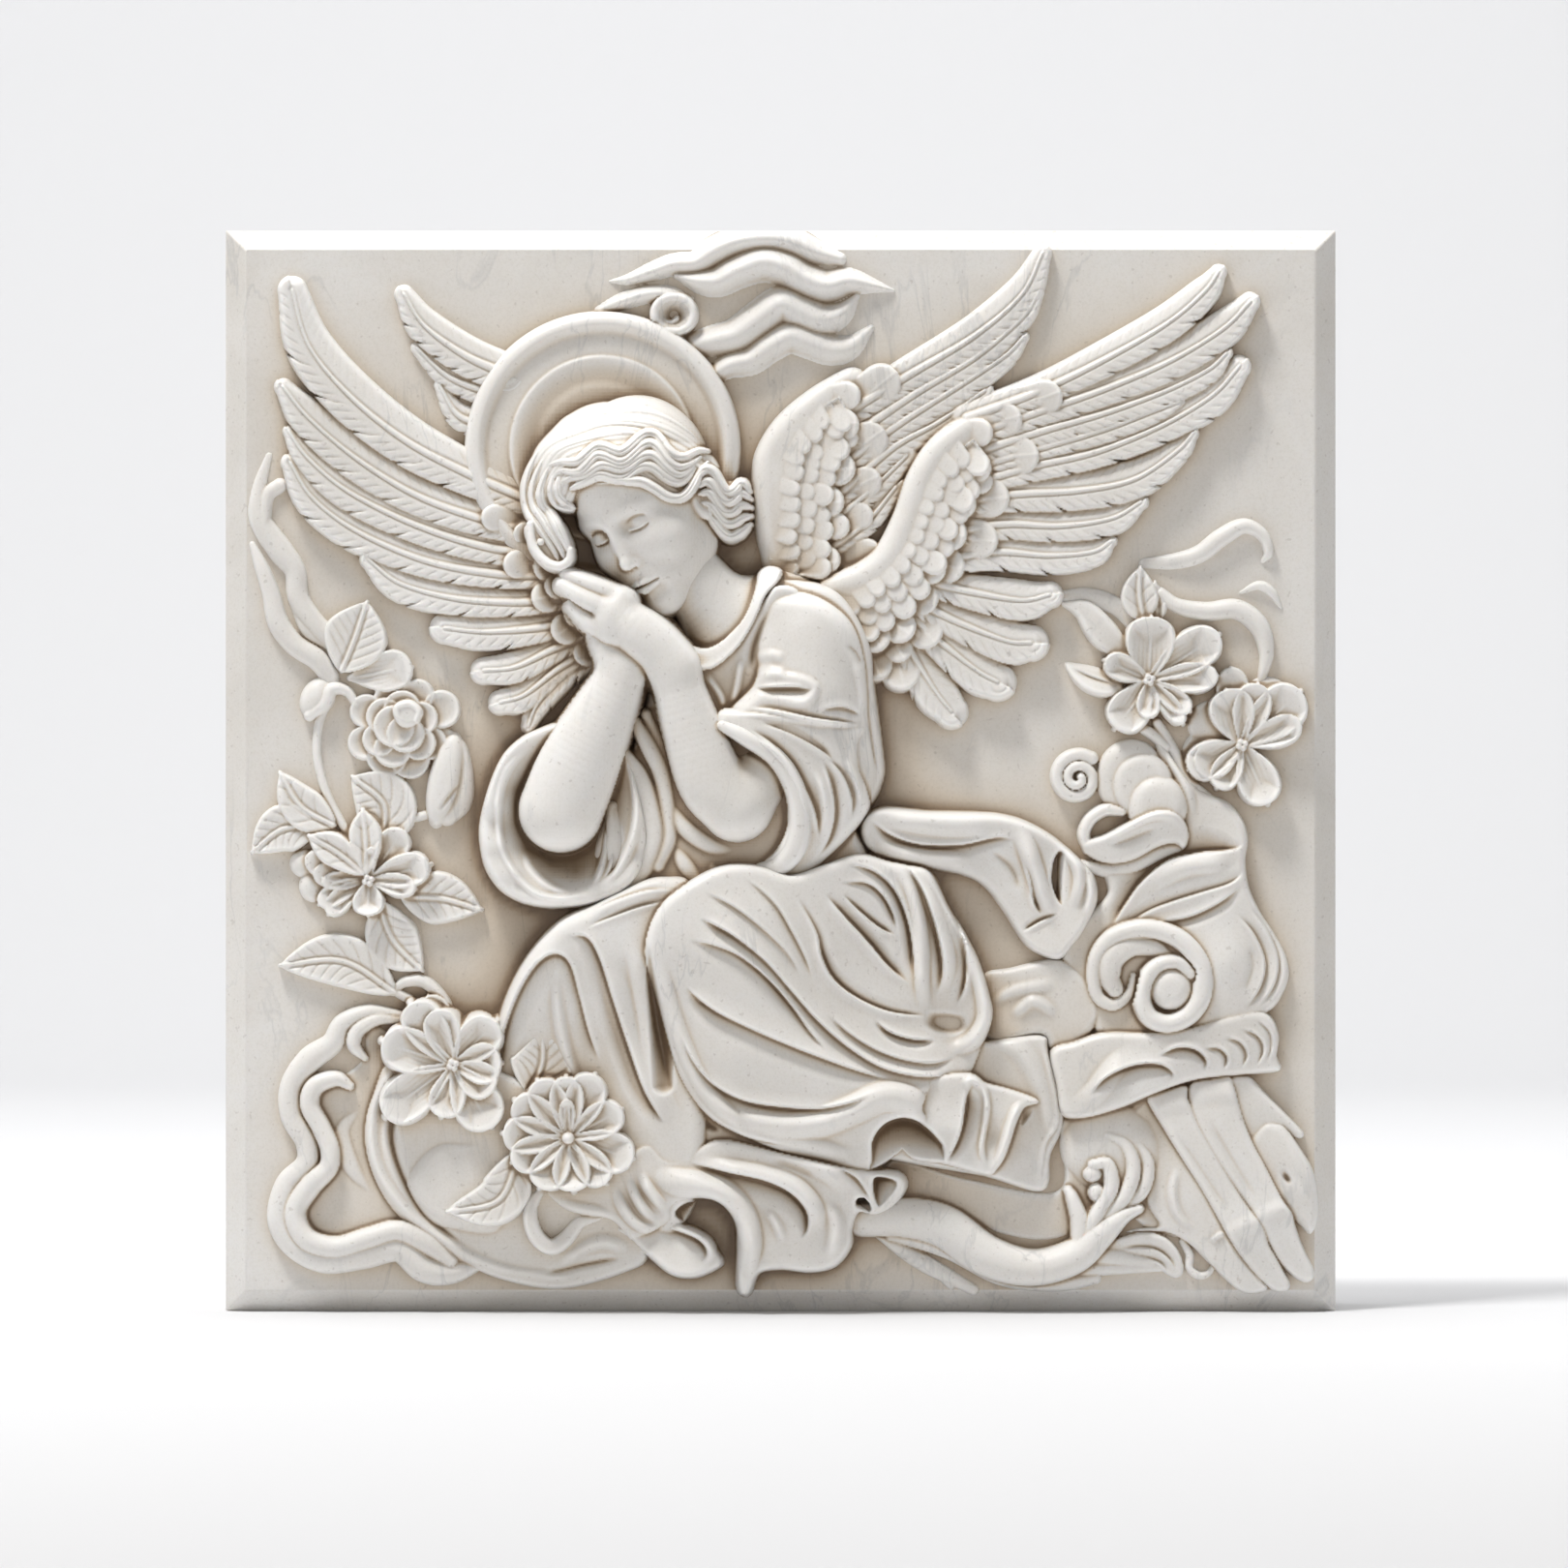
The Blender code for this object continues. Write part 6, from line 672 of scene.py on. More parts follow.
def feather(c, rows, trail, base=4.0, lift=6.0, pitch=13.0, cut=2.2):
    """A flight feather. rows are (x, z, half width) from root to tip, and trail is +1 where its trailing
    vane lies left of that. pitch is the spacing of the notches in that vane, and cut their depth."""
    path = curve(rows)
    box, x, z = c.beside(path, path[:, 2].max() + WIDE_MARGIN)
    place, off, length, (w,) = along(x, z, path)
    u = trail * off / np.maximum(w, 0.3)
    d = w - np.abs(off)
    top = lift * (0.40 + 0.60 * np.clip(0.5 + 0.5 * u, 0, 1)) + CROWN_LIFT * (1 - u**2)
    # the notches, each with a step in height
    beat = (place - TRAILING_SLANT * np.abs(off) + 3 * np.sin(place / 31.0)) / pitch
    phase = beat - np.floor(beat)
    near_tip = smooth((length - place) / (1.6 * pitch))
    notch = np.exp(-((np.minimum(phase, 1 - phase) * pitch / 1.0) ** 2))
    d = d - cut * notch * smooth((u - 0.45) / 0.4) * near_tip
    top = top + (phase - 0.5) * 0.5 * smooth((u - 0.2) * 1.6) * near_tip
    top = top - 1.3 * notch * smooth((u - 0.5) / 0.4) * near_tip
    # the barbs, weaker on the leading vane
    barb = np.abs((place - BARB_SLANT * np.abs(off)) / BARB_PITCH % 1 - 0.5) * BARB_PITCH
    top = top - (0.55 * smooth((u - 0.25) * 3) + 0.25 * smooth((-u - 0.1) * 2)) * np.exp(-(barb / 0.7) ** 2)
    # the shaft, thinner to the tip, with a groove on either side
    thin = np.clip(1 - place / (1.05 * length), 0.25, 1)
    shaft = np.abs(off)
    top = top + 0.8 * np.exp(-((shaft / (1.4 * thin + 0.4)) ** 4))
    top = top - 0.7 * np.exp(-(((shaft - 2.4 * thin - 0.5) / 0.7) ** 2))
    c.put(box, base + rise(d, FEATHER_EDGE, top))


def fan(c, feathers, trail, **shape):
    """Feathers from the lowest to the one on top."""
    for rows in feathers:
        feather(c, rows, trail, **shape)


def scale(c, x0, z0, angle, length, width, height, base, root=None):
    """A covert: a tongue whose rounded free end points along angle and stands highest. length and width are
    halves, base is the height it lies on at its free end, and root the one where it starts."""
    box, x, z = c.round(x0, z0, max(length, width) + 3)
    px, pz = facing(x, z, x0, z0, angle)
    past = np.maximum(px - (length - width), 0)
    d = np.minimum(width - np.hypot(past, pz), px + length)
    to_end = np.clip((px + length) / (2 * length), 0, 1)
    top = height * (1.35 * to_end - 0.35) * (1 - 0.22 * np.clip(pz / width, -1, 1) ** 2)
    if root is not None:
        top = top - (base - root) * (1 - to_end)
    top = top + 0.35 * (width > 8) * np.exp(-(pz / 0.8) ** 2) * smooth(to_end * 3)
    c.put(box, base + rise(d, COVERT_EDGE, top))


def coverts(c, places, height, base):
    """Coverts of one height. places are (x, z, angle, half length, half width)."""
    for place in places:
        scale(c, *place, height, base)


def scale_rows(c, guide, rows, spacing, size, height, lean, grow, step_out):
    """Rows of coverts beside a guide curve, laid on what is there, the outermost row first. lean turns them
    from the curve, grow is how much larger each row is than the one inside it, and step_out how far out."""
    path = curve(guide, 1.0)
    run = run_along(path)
    total = run[-1]

    def at(share):
        return np.array([np.interp(share, run, path[:, i]) for i in (0, 1)])

    made = []
    for row in reversed(range(rows)):
        big = size * grow**row
        gap = spacing * grow**row
        for k in range(int(total / gap) + 1):
            share = min((k + 0.5 * (row % 2)) * gap, total)
            dx, dz = at(min(share + 1, total)) - at(max(share - 1, 0))
            heading = np.degrees(np.arctan2(dz, dx))
            across = np.radians(heading - 90)
            uneven = np.sin(2.3 * k + 1.7 * row)
            x, z = at(share) + (row * step_out + 0.9 * uneven) * np.array([np.cos(across), np.sin(across)])
            angle = heading + lean + 7 * uneven
            half = big * 1.15
            reach = half * np.array([np.cos(np.radians(angle)), np.sin(np.radians(angle))])
            root, tip = (c.at(x + s * reach[0], z + s * reach[1]) for s in (-1, 1))
            made.append((x, z, angle, half, big * (0.74 + 0.05 * uneven), height, max(tip, root - 2), root))
    for place in made:
        scale(c, *place)


def left_wings(c):
    # the far wing, seen past the halo
    feather(c, [(-158, 478, 9), (-174, 484, 7), (-184, 500, 3)], 1, base=1, lift=4, cut=1.2, pitch=12)
    feather(c, [(-150, 494, 9), (-178, 504, 7), (-196, 520, 3.5)], 1, base=1.5, lift=4, cut=1.2, pitch=12)
    feather(c, [
        (-148, 506, 11), (-170, 516, 11), (-192, 532, 9.5), (-203, 549, 5),
    ], 1, base=3, lift=5, pitch=12)
    # the near wing, from the lowest feather up
    fan(c, [
        [(-105, 352, 7), (-118, 343, 8), (-131, 328, 7), (-136, 316, 4)],
        [(-104, 357, 7), (-120, 347, 8), (-138, 333, 9), (-151, 329, 6.5)],
        [(-108, 364, 7), (-124, 357, 8.5), (-143, 348, 9), (-160, 346, 7)],
        [(-112, 373, 7), (-132, 369, 9), (-160, 367, 10), (-181, 369, 8)],
        [(-112, 386, 7), (-140, 383, 8), (-175, 385, 9.5), (-205, 393, 9.5), (-222, 406, 4.5)],
        [(-118, 398, 7), (-150, 398, 8), (-190, 405, 9.5), (-228, 421, 11), (-252, 439, 10),
         (-264, 458, 5)],
        [(-120, 409, 8), (-155, 412, 9), (-195, 424, 10), (-232, 442, 10.5), (-254, 460, 8),
         (-265, 475, 3)],
        [(-125, 420, 8), (-158, 427, 10), (-195, 440, 11), (-228, 460, 12), (-254, 482, 10.5),
         (-268, 499, 4.5)],
        [(-140, 440, 10), (-170, 453, 12), (-202, 470, 13.5), (-232, 494, 14), (-254, 521, 12.5),
         (-263, 551, 7.5)],
    ], 1, base=3.5, lift=7.5, pitch=24)
    # coverts round the root
    coverts(c, [
        (-148, 427, 168, 13, 7.5), (-137, 403, 178, 12, 8), (-135, 418, 150, 9, 7), (-124, 402, 180, 9, 9),
        (-125, 386, 200, 9, 9), (-119, 392, 205, 8, 8), (-113, 370, 215, 11, 9), (-107, 378, 215, 10, 8),
        (-103, 357, 235, 9, 8),
    ], 7, 9)


def right_wings(c):
    # the far wing
    fan(c, [
        [(20, 408, 6), (45, 425, 7), (62, 445, 6)],
        [(20, 420, 6), (48, 443, 8), (68, 462, 6)],
        [(30, 440, 8), (60, 466, 9), (85, 480, 8), (110, 497, 5)],
        [(30, 455, 8), (65, 480, 9), (97, 500, 10), (120, 515, 7), (131, 526, 3)],
        [(35, 470, 8), (70, 494, 9), (105, 515, 9.5), (130, 536, 6), (139, 550, 3)],
        [(35, 485, 9), (70, 506, 10), (105, 527, 11), (130, 549, 10), (141, 571, 5)],
    ], -1, base=2, lift=5.5, pitch=25)
    # its arm, smooth at the leading edge and clad in coverts behind it
    plate(c,
        [(-5, 390), (-12, 412), (-15, 432), (-15.5, 455), (-12, 468), (-3, 482), (10, 494), (25, 504),
         (38, 510), (46, 505), (42, 490), (38, 470), (30, 445), (28, 420), (25, 396), (10, 388)],
        [(-6, 400, 9), (-8, 430, 12), (-8, 455, 12), (4, 480, 11), (25, 498, 9), (15, 470, 11),
         (12, 440, 11), (15, 410, 9), (32, 480, 8), (25, 440, 7), (25, 405, 6)], edge=9)
    coverts(c, [
        (50, 497, 38, 16, 11), (42, 466, 35, 17, 11), (41, 445, 25, 14, 9), (36, 428, 10, 14, 8),
        (42, 408, 20, 12, 8),
    ], 4, 6)
    coverts(c, [
        (29, 455, -5, 11, 9.5), (24, 437, -5, 10, 9), (28, 424, -5, 9, 7.5), (22, 406, -15, 10, 8.5),
        (31, 478, 5, 11, 9.5), (33, 493, 20, 10, 8),
    ], 5, 8)
    scale_rows(c, [
        (2, 402), (2, 412), (2, 425), (3, 440), (4, 455), (7, 465), (13, 474), (20, 482), (26, 488),
    ], 3, 8.6, 7.2, 3.0, -100, grow=1.08, step_out=8.0)
    # the near wing: flight feathers from the lowest up
    fan(c, [
        [(62, 372, 7), (74, 350, 10), (84, 334, 12), (92, 324, 9)],
        [(68, 378, 7), (88, 360, 10), (106, 346, 12), (117, 340, 10)],
        [(72, 384, 8), (96, 372, 10), (122, 362, 12), (135, 361, 9.5)],
        [(80, 394, 8), (105, 388, 10), (130, 384, 11), (145, 387, 7)],
        [(85, 405, 8), (115, 410, 10), (145, 408, 10), (168, 410, 8), (178, 416, 3)],
        [(90, 420, 8), (120, 425, 9), (150, 424, 9), (178, 428, 9), (194, 437, 4)],
        [(92, 436, 8), (125, 441, 10), (160, 443, 11), (190, 449, 11), (213, 464, 7), (222, 474, 3)],
        [(100, 446, 8), (135, 456, 9), (170, 464, 9), (205, 478, 10), (232, 494, 10.5), (247, 510, 6)],
        [(105, 456, 7), (140, 466, 7), (175, 476, 8), (202, 486, 7), (215, 491, 3)],
        [(105, 464, 8), (140, 475, 9), (175, 485, 9), (208, 497, 9), (230, 508, 8), (240, 517, 3.5)],
        [(105, 474, 8), (140, 486, 9), (175, 498, 10), (210, 513, 11), (238, 530, 10), (253, 545, 5)],
        [(100, 482, 9), (140, 497, 9), (175, 514, 10), (208, 533, 10), (228, 550, 8), (236, 561, 4)],
    ], -1, base=4, lift=7.5, pitch=23)
    # its arm and coverts
    plate(c,
        [(20, 385), (22, 396), (40, 404), (52, 414), (60, 430), (67, 450), (76, 466), (88, 478), (102, 486),
         (118, 490), (125, 482), (112, 462), (104, 445), (96, 428), (88, 408), (80, 388), (68, 372),
         (54, 362), (44, 372), (30, 380)],
        [(28, 390, 16), (48, 402, 17), (64, 428, 17), (76, 455, 17), (95, 476, 15), (112, 482, 12),
         (60, 388, 16), (80, 410, 14), (92, 440, 13), (102, 462, 12), (56, 370, 14), (75, 385, 13)],
        edge=10)
    coverts(c, [
        (137, 491, 20, 15, 10), (124, 461, 5, 15, 11), (108, 439, -2, 15, 11), (102, 417, -8, 15, 11),
        (118, 480, 15, 12, 10), (88, 403, -15, 11, 10.5), (74, 386, -30, 11, 10.5), (64, 348, -75, 13, 11),
        (76, 369, -50, 12, 10.5), (62, 360, -60, 10, 8.5), (50, 352, -70, 12, 10),
    ], 5, 9)
    coverts(c, [
        (103, 473, 15, 11, 8), (102, 455, 0, 11, 9), (94, 436, -5, 11, 9), (89, 420, -12, 11, 10),
        (78, 402, -25, 11, 9), (62, 371, -40, 11, 9.5), (48, 368, -60, 13, 10),
    ], 6, 11)
    scale_rows(c, [
        (37, 383), (50, 392), (62, 404), (69, 420), (75, 434), (82, 448), (91, 459), (101, 467),
    ], 3, 8.4, 7.2, 3.2, -95, grow=1.1, step_out=7.6)


def halo(c):
    x0, z0, radius = -96.0, 465.5, 74.0
    rim, step_out, step_in = 6.5, 51, 38
    rim_height, fall = 12.5, 4.5
    box, x, z = c.round(x0, z0, radius, WIDE_MARGIN)
    r = np.hypot(x - x0, z - z0)
    face = rim_height - fall * smooth((radius - rim - r) / 6)
    band = rise(radius - r, rim, rim_height) * (r > radius - rim) + np.where(r <= radius - rim, face, 0)
    inner = np.where(r < step_out, 1.8 * (1 - smooth((step_out - r) / 13)) * smooth((step_out - r) / 2.0), 0)
    deep = np.where(r < step_out, -1.2 * smooth((step_out - 2 - r) / 12), 0)
    deep = deep + np.where(r < step_in, 0.8 * smooth((step_in - r) / 5), 0)
    c.put(box, band + inner + deep)


# Smoke, clouds and ribbons

def swell(c, rows):
    """A band with a rounded crest that slopes away on both sides."""
    def shape(u, h):
        return h * np.cos(np.clip(u, -1, 1) * np.pi / 2) ** 1.2
    stroke(c, rows, edge=1.0, shape=shape)


def spiral(c, x0, z0, outer, turns, start, width, height, base, inner):
    """A rolled scroll: a rounded band winding inwards from its outer end."""
    n = int(turns * 14)
    rows = []
    for k in range(n + 1):
        share = k / n
        a = np.radians(start + share * turns * 360)
        r = outer + (inner - outer) * share
        rows.append((x0 + r * np.cos(a), z0 + r * np.sin(a), width * (1 - 0.45 * share),
                     height * (0.8 + 0.3 * share)))
    stroke(c, rows, base=base, edge=width * 0.8)


def ribbons(c):
    # flames of cloud over the halo
    swell(c, [
        (-92, 556, 1, 1), (-82, 557, 3.5, 4), (-70, 561, 5.5, 7), (-58, 565, 6.5, 8), (-46, 566, 7, 8),
        (-36, 572, 8, 9), (-24, 577, 8, 10), (-8, 579, 8, 10), (6, 577, 8, 9), (18, 572, 7, 7),
        (32, 568, 4, 4),
    ])
    swell(c, [
        (-56, 559, 2, 5), (-44, 556, 7, 9), (-34, 556, 9, 10), (-24, 561, 10, 12), (-10, 566, 11, 13),
        (2, 563.5, 10.5, 13), (12, 557.5, 10, 12), (24, 553.5, 9.5, 11), (36, 556, 8, 9), (48, 554, 5, 6),
        (61, 551, 1, 2),
    ])
    swell(c, [
        (-62, 515, 3, 4), (-48, 521, 7, 6), (-36, 524, 9, 8), (-24, 527, 10, 9), (-12, 535.5, 10.5, 10),
        (0, 543.5, 10.5, 11), (10, 540, 10.5, 10), (22, 535.5, 10, 9), (33, 539, 7, 7), (41, 548, 2, 3),
    ])
    swell(c, [
        (-38, 504, 5, 6), (-28, 510.5, 7.5, 8), (-16, 513.5, 8.5, 8), (-6, 520.5, 9, 9), (5, 526, 9.5, 9),
        (16, 523, 9.5, 8), (28, 519, 9, 7), (38, 521, 7, 5), (49, 531, 2, 2),
    ])
    swell(c, [(-98, 540, 3, 3), (-86, 545, 5, 6), (-72, 549, 5.5, 7), (-60, 549, 5, 7), (-50, 545, 4, 6)])
    dome(c, -57.5, 538, 13, 12, 8, edge=0.35)
    add_dome(c, -57.5, 538, 10.5, 9.5, -9)
    stroke(c, arc(-57.5, 538, 10.5, 9.5, -110, 215, 2.2, 9.5))
    stroke(c, arc(-60, 539, 5, 5.5, 150, 330, 1.4, 5))
    # smoke down the left edge
    stroke(c, [
        (-276, 462, 2, 1), (-281, 445, 4, 3), (-281, 428, 6, 5), (-270, 411, 7, 6), (-262, 400, 6, 6),
        (-260, 385, 6, 6), (-250, 370, 6, 6), (-238, 360, 6, 5), (-228, 350, 4, 3),
    ])
    stroke(c, [(-270, 446, 4, 4), (-277, 440, 4, 4), (-279, 425, 4, 5)], base=0.5)
    stroke(c, [
        (-285, 414, 2, 2), (-280, 402, 4, 5), (-275, 388, 5, 6), (-271, 372, 6, 7), (-262, 360, 6, 7),
        (-250, 352, 6, 7), (-243, 342, 5, 5),
    ])
    stroke(c, [(-262, 382, 3, 2), (-255, 368, 4, 4), (-244, 360, 3, 3)])
    # ribbons right of the near wing
    stroke(c, [
        (196, 404, 3, 1), (212, 405, 4.5, 4), (226, 409, 5, 6), (238, 418, 5, 7), (250, 424, 4, 7),
        (260, 419, 3.2, 6), (263, 410, 2.6, 5), (260, 405, 1, 2),
    ])
    stroke(c, [(248, 388, 1, 1), (258, 392, 2.5, 4), (265, 388, 2.5, 4), (270, 380, 1, 1)])
    stroke(c, [
        (205, 388, 3, 4), (214, 381, 4, 6), (230, 378, 5, 7), (246, 379, 5.5, 7), (258, 370, 5.5, 7),
        (262, 356, 4, 6), (260, 344, 2.5, 4), (258, 338, 1, 2),
    ], base=0.5)
    stroke(c, [(150, 386, 3, 2), (166, 386, 5, 3), (182, 380, 5, 3), (194, 366, 4, 2)])


# Leaves and flowers

LEAF_EDGE = 1.8
LEAF_DISH = 0.28
MIDRIB_HEIGHT = 0.9
MIDRIB_WIDTH = 0.8
VEIN_SLANT = 0.9
VEIN_DEPTH = 0.6
PETAL_EDGE = 1.5
PETAL_FOOT = 0.16
PETAL_CREASE = 0.6
PETAL_WIDEST = 0.62


def ribbed(off):
    """A fine ridge along the middle of a leaf or petal."""
    return np.exp(-(off / MIDRIB_WIDTH) ** 2)


def past(s, widest):
    """The share of the way from the widest place to the tip."""
    return np.clip((s - widest) / (1.0001 - widest), 0, 1)


def leaf(c, x0, z0, x1, z1, width, height=6.0, bend=0.0, base=1.0, veins=7, bluff=0.42):
    """A pointed leaf from (x0, z0) to its tip (x1, z1), widest at bluff. bend bows it to the left."""
    dx, dz = x1 - x0, z1 - z0
    mid = (x0 + dx * 0.5 - dz * bend, z0 + dz * 0.5 + dx * bend)
    path = curve([(x0, z0), mid, (x1, z1)], 1.5)
    box, x, z = c.beside(path, width + WIDE_MARGIN)
    place, off, length, _ = along(x, z, path)
    s = np.clip(place / length, 0, 1)
    swelling = np.sin(np.pi / 2 * np.clip(s / bluff, 0, 1)) ** 0.75
    w = width * np.where(s < bluff, swelling, np.cos(np.pi / 2 * past(s, bluff)) ** 0.9)
    w = np.maximum(w, 0.6 * (s > 0.001))
    u = np.abs(np.clip(off / np.maximum(w, 0.5), -1, 1))
    top = height * (1 - LEAF_DISH + LEAF_DISH * u)
    top = top + MIDRIB_HEIGHT * ribbed(off) - 0.9 * np.exp(-((np.abs(off) - 1.9) / 0.9) ** 2)
    beat = (place - np.abs(off) * VEIN_SLANT) / (length / veins)
    phase = np.abs(beat - np.round(beat)) * (length / veins)
    top = top - VEIN_DEPTH * np.exp(-(phase / 0.9) ** 2) * smooth(u * 3) * smooth((1 - u) * 4)
    c.put(box, base + rise(w - np.abs(off), LEAF_EDGE, top))


def petal(c, x0, z0, angle, length, width, height, base, cup=0.55, curl=0.0):
    """A petal from its foot at (x0, z0): narrow there, with a raised rim and a hollow middle. curl turns its
    outer half, in degrees."""
    a = np.radians(angle)
    b = a + np.radians(curl)
    mid = (x0 + 0.5 * length * np.cos(a), z0 + 0.5 * length * np.sin(a))
    end = (mid[0] + 0.5 * length * np.cos(b), mid[1] + 0.5 * length * np.sin(b))
    path = curve([(x0, z0), mid, end], 1.5)
    box, x, z = c.beside(path, width + WIDE_MARGIN)
    place, off, run, _ = along(x, z, path)
    s = np.clip(place / run, 0, 1)
    swelling = PETAL_FOOT + (1 - PETAL_FOOT) * np.sin(np.pi / 2 * s / PETAL_WIDEST) ** 1.1
    rounding = np.sqrt(np.clip(1 - past(s, PETAL_WIDEST) ** 2.4, 0, 1))
    w = np.maximum(width * np.where(s < PETAL_WIDEST, swelling, rounding), 0.02)
    q = np.clip(np.abs(off) / np.maximum(w, 0.5), 0, 1)
    rim = np.maximum(q**2, smooth((s - 0.5) / 0.5) ** 1.5)
    top = height * ((1 - cup) + cup * rim) * (0.55 + 0.45 * smooth(s * 1.6))
    top = top + PETAL_CREASE * ribbed(off) * smooth((0.85 - s) * 3) * smooth(s * 4)
    top = top - 0.3 * np.abs(np.sin(off * 1.3)) ** 4 * smooth((0.75 - s) * 3) * smooth(s * 4)
    c.put(box, base + rise(w - np.abs(off), PETAL_EDGE, top))


def flower(c, x, z, petals, base=4.0, height=9.0, dots=4, spread=1.8):
    """petals are (angle, length, half width[, curl]), the ones beneath first. dots stamens ring its heart."""
    for angle, length, width, *curl in petals:
        petal(c, x, z, angle, length, width, height, base, 0.6, *curl)
    for k in range(dots):
        a = 2 * np.pi * k / dots + 0.4
        dome(c, x + spread * np.cos(a), z + spread * np.sin(a), 1.4, 1.4, height * 0.75, base=base + 1)


def disc(c, x0, z0, radius, height, base):
    """A round petal, hollow in the middle."""
    box, x, z = c.round(x0, z0, radius, 2)
    q = np.hypot(x - x0, z - z0) / radius
    top = height * (0.55 + 0.45 * np.clip(q, 0, 1) ** 3)
    c.put(box, base + rise((1 - q) * radius, PETAL_EDGE, top))


def rose(c, x, z):
    """A full rose: round petals in rings, the inner rings higher, and a rolled heart."""
    for dx, dz, radius, base in (
        (-20, -8, 9, 1), (-19, 9, 9, 1), (-6, 16, 9, 1), (8, 17, 9, 1), (21, 10, 10, 1), (15, -8, 9, 1),
        (4, -16, 11, 1), (-8, -15, 11, 1), (-12, -6, 9, 4), (-5, -11, 10, 4), (9, -8, 9, 4), (-9, 6, 10, 4),
        (10, 5, 9, 4), (0, 10, 10, 4), (-4, 1, 11, 6.5), (2, -3, 10, 6.5),
    ):
        disc(c, x + dx, z + dz, radius, 6, base)
    dome(c, x + 3, z + 7, 7, 7, 6, base=9, edge=0.5)
    stroke(c, [
        (x + 8, z + 4, 1.5, 3), (x + 9, z + 9, 1.8, 3), (x + 4, z + 13, 1.8, 3), (x - 2, z + 11, 1.8, 3),
        (x - 2, z + 6, 1.6, 3), (x + 2, z + 4, 1.2, 2),
    ], base=13)


def left_garden(c):
    # stems
    stroke(c, [
        (-243, 332, 2.5, 4), (-249, 318, 2.4, 4), (-250, 300, 2.4, 4), (-245, 280, 2.4, 4),
        (-236, 262, 2.4, 4), (-228, 248, 2, 4),
    ])
    stroke(c, [(-258, 268, 2, 3), (-244, 262, 2, 3), (-232, 250, 2, 3)], base=1)
    stroke(c, [(-200, 266, 2.5, 4), (-192, 268, 2.5, 4)])
    # drooping bud right of the rose
    stroke(c, [
        (-182, 313, 4, 4), (-174, 304, 5, 5), (-171, 290, 5.5, 6), (-173, 276, 7, 6), (-180, 268, 6, 6),
    ])
    dome(c, -181, 287, 9, 26, 8, turn=-12, base=2, edge=0.8)
    add_ridge(c, [(-186, 268, 1.5, 1), (-180, 276, 2, -2), (-173, 285, 1.5, -1)])
    # leaf pair over the rose
    leaf(c, -237, 345, -223, 383, 17, 7, bend=-0.02, bluff=0.5)
    petal(c, -232, 342, 10, 34, 11, 7, 1, cup=0.4)
    # smoke bud
    dome(c, -250, 331, 9, 12, 8, turn=-25)
    stroke(c, [
        (-254, 322, 3, 4), (-246, 328, 3.5, 6), (-242, 336, 3.5, 6), (-234, 335, 2.5, 4), (-229, 328, 2, 3),
    ], base=3)
    rose(c, -204, 315)
    # flower with leaves
    leaf(c, -248, 262, -285, 248, 13, 6, bend=-0.15)
    leaf(c, -240, 262, -270, 291, 11, 6, bend=0.12, base=2, veins=4)
    leaf(c, -216, 250, -231, 289, 17, 6, bend=-0.25, bluff=0.5)
    leaf(c, -205, 224, -161, 217, 14, 6, bend=0.06)
    leaf(c, -217, 222, -193, 184, 14, 6, bend=-0.1, bluff=0.5)
    dome(c, -256, 242, 9, 8, 6)
    dome(c, -252, 230, 8, 9, 6)
    dome(c, -208, 250, 9, 11, 7, turn=20)
    flower(c, -222, 233, [
        (160, 36, 8), (172, 30, 7), (55, 33, 9), (200, 30, 6, 12), (212, 29, 6, 16), (180, 25, 5, 4),
    ], base=3, height=8)
    leaf(c, -224, 236, -254, 257, 8.5, 8, bend=-0.04, base=6, veins=3, bluff=0.6)
    leaf(c, -223, 236, -225, 271, 8.5, 8, bend=-0.02, base=6, veins=3, bluff=0.6)
    flower(c, -222, 233, [(14, 34, 9), (352, 26, 6, -5), (270, 19, 8), (84, 18, 3)], base=6)
    # long leaf and its stem
    leaf(c, -207, 172, -270, 187, 14, 6, bend=-0.16, veins=9, bluff=0.5)
    stroke(c, [(-206, 172, 2.5, 4), (-196, 166, 2.5, 4), (-188, 158, 2, 4)], base=1)
    stroke(c, [
        (-209, 172, 1.5, 3), (-203, 178, 3, 5), (-192, 178, 3.5, 5), (-182, 168, 3.5, 5), (-177, 156, 3, 4),
    ], base=1)
    # two lower flowers
    petal(c, -178, 138, 110, 35, 9, 8, 3, cup=0.4)
    flower(c, -176, 134, [
        (45, 33, 11), (125, 40, 11), (162, 40, 12), (107, 31, 9.5), (2, 26, 11), (330, 26, 10),
        (302, 40, 13), (262, 29, 9.5, -10), (215, 46, 12, 5),
    ], base=17, height=10)
    leaf(c, -135, 118, -128, 152, 17, 6, bend=-0.1, base=16, veins=6)
    leaf(c, -140, 88, -179, 55, 13, 6, bend=0.25, base=18)
    flower(c, -114, 95, [
        (145, 35, 10), (118, 35, 10), (176, 35, 10), (67, 37, 10.5), (92, 33, 9), (204, 33, 9.5),
        (240, 31, 10), (342, 37, 11), (310, 32, 9), (276, 29, 10), (28, 33, 9.5), (92, 21, 4),
    ], base=24, height=10, dots=1, spread=0)
    dome(c, -114, 95, 2.8, 2.8, 5, base=30)


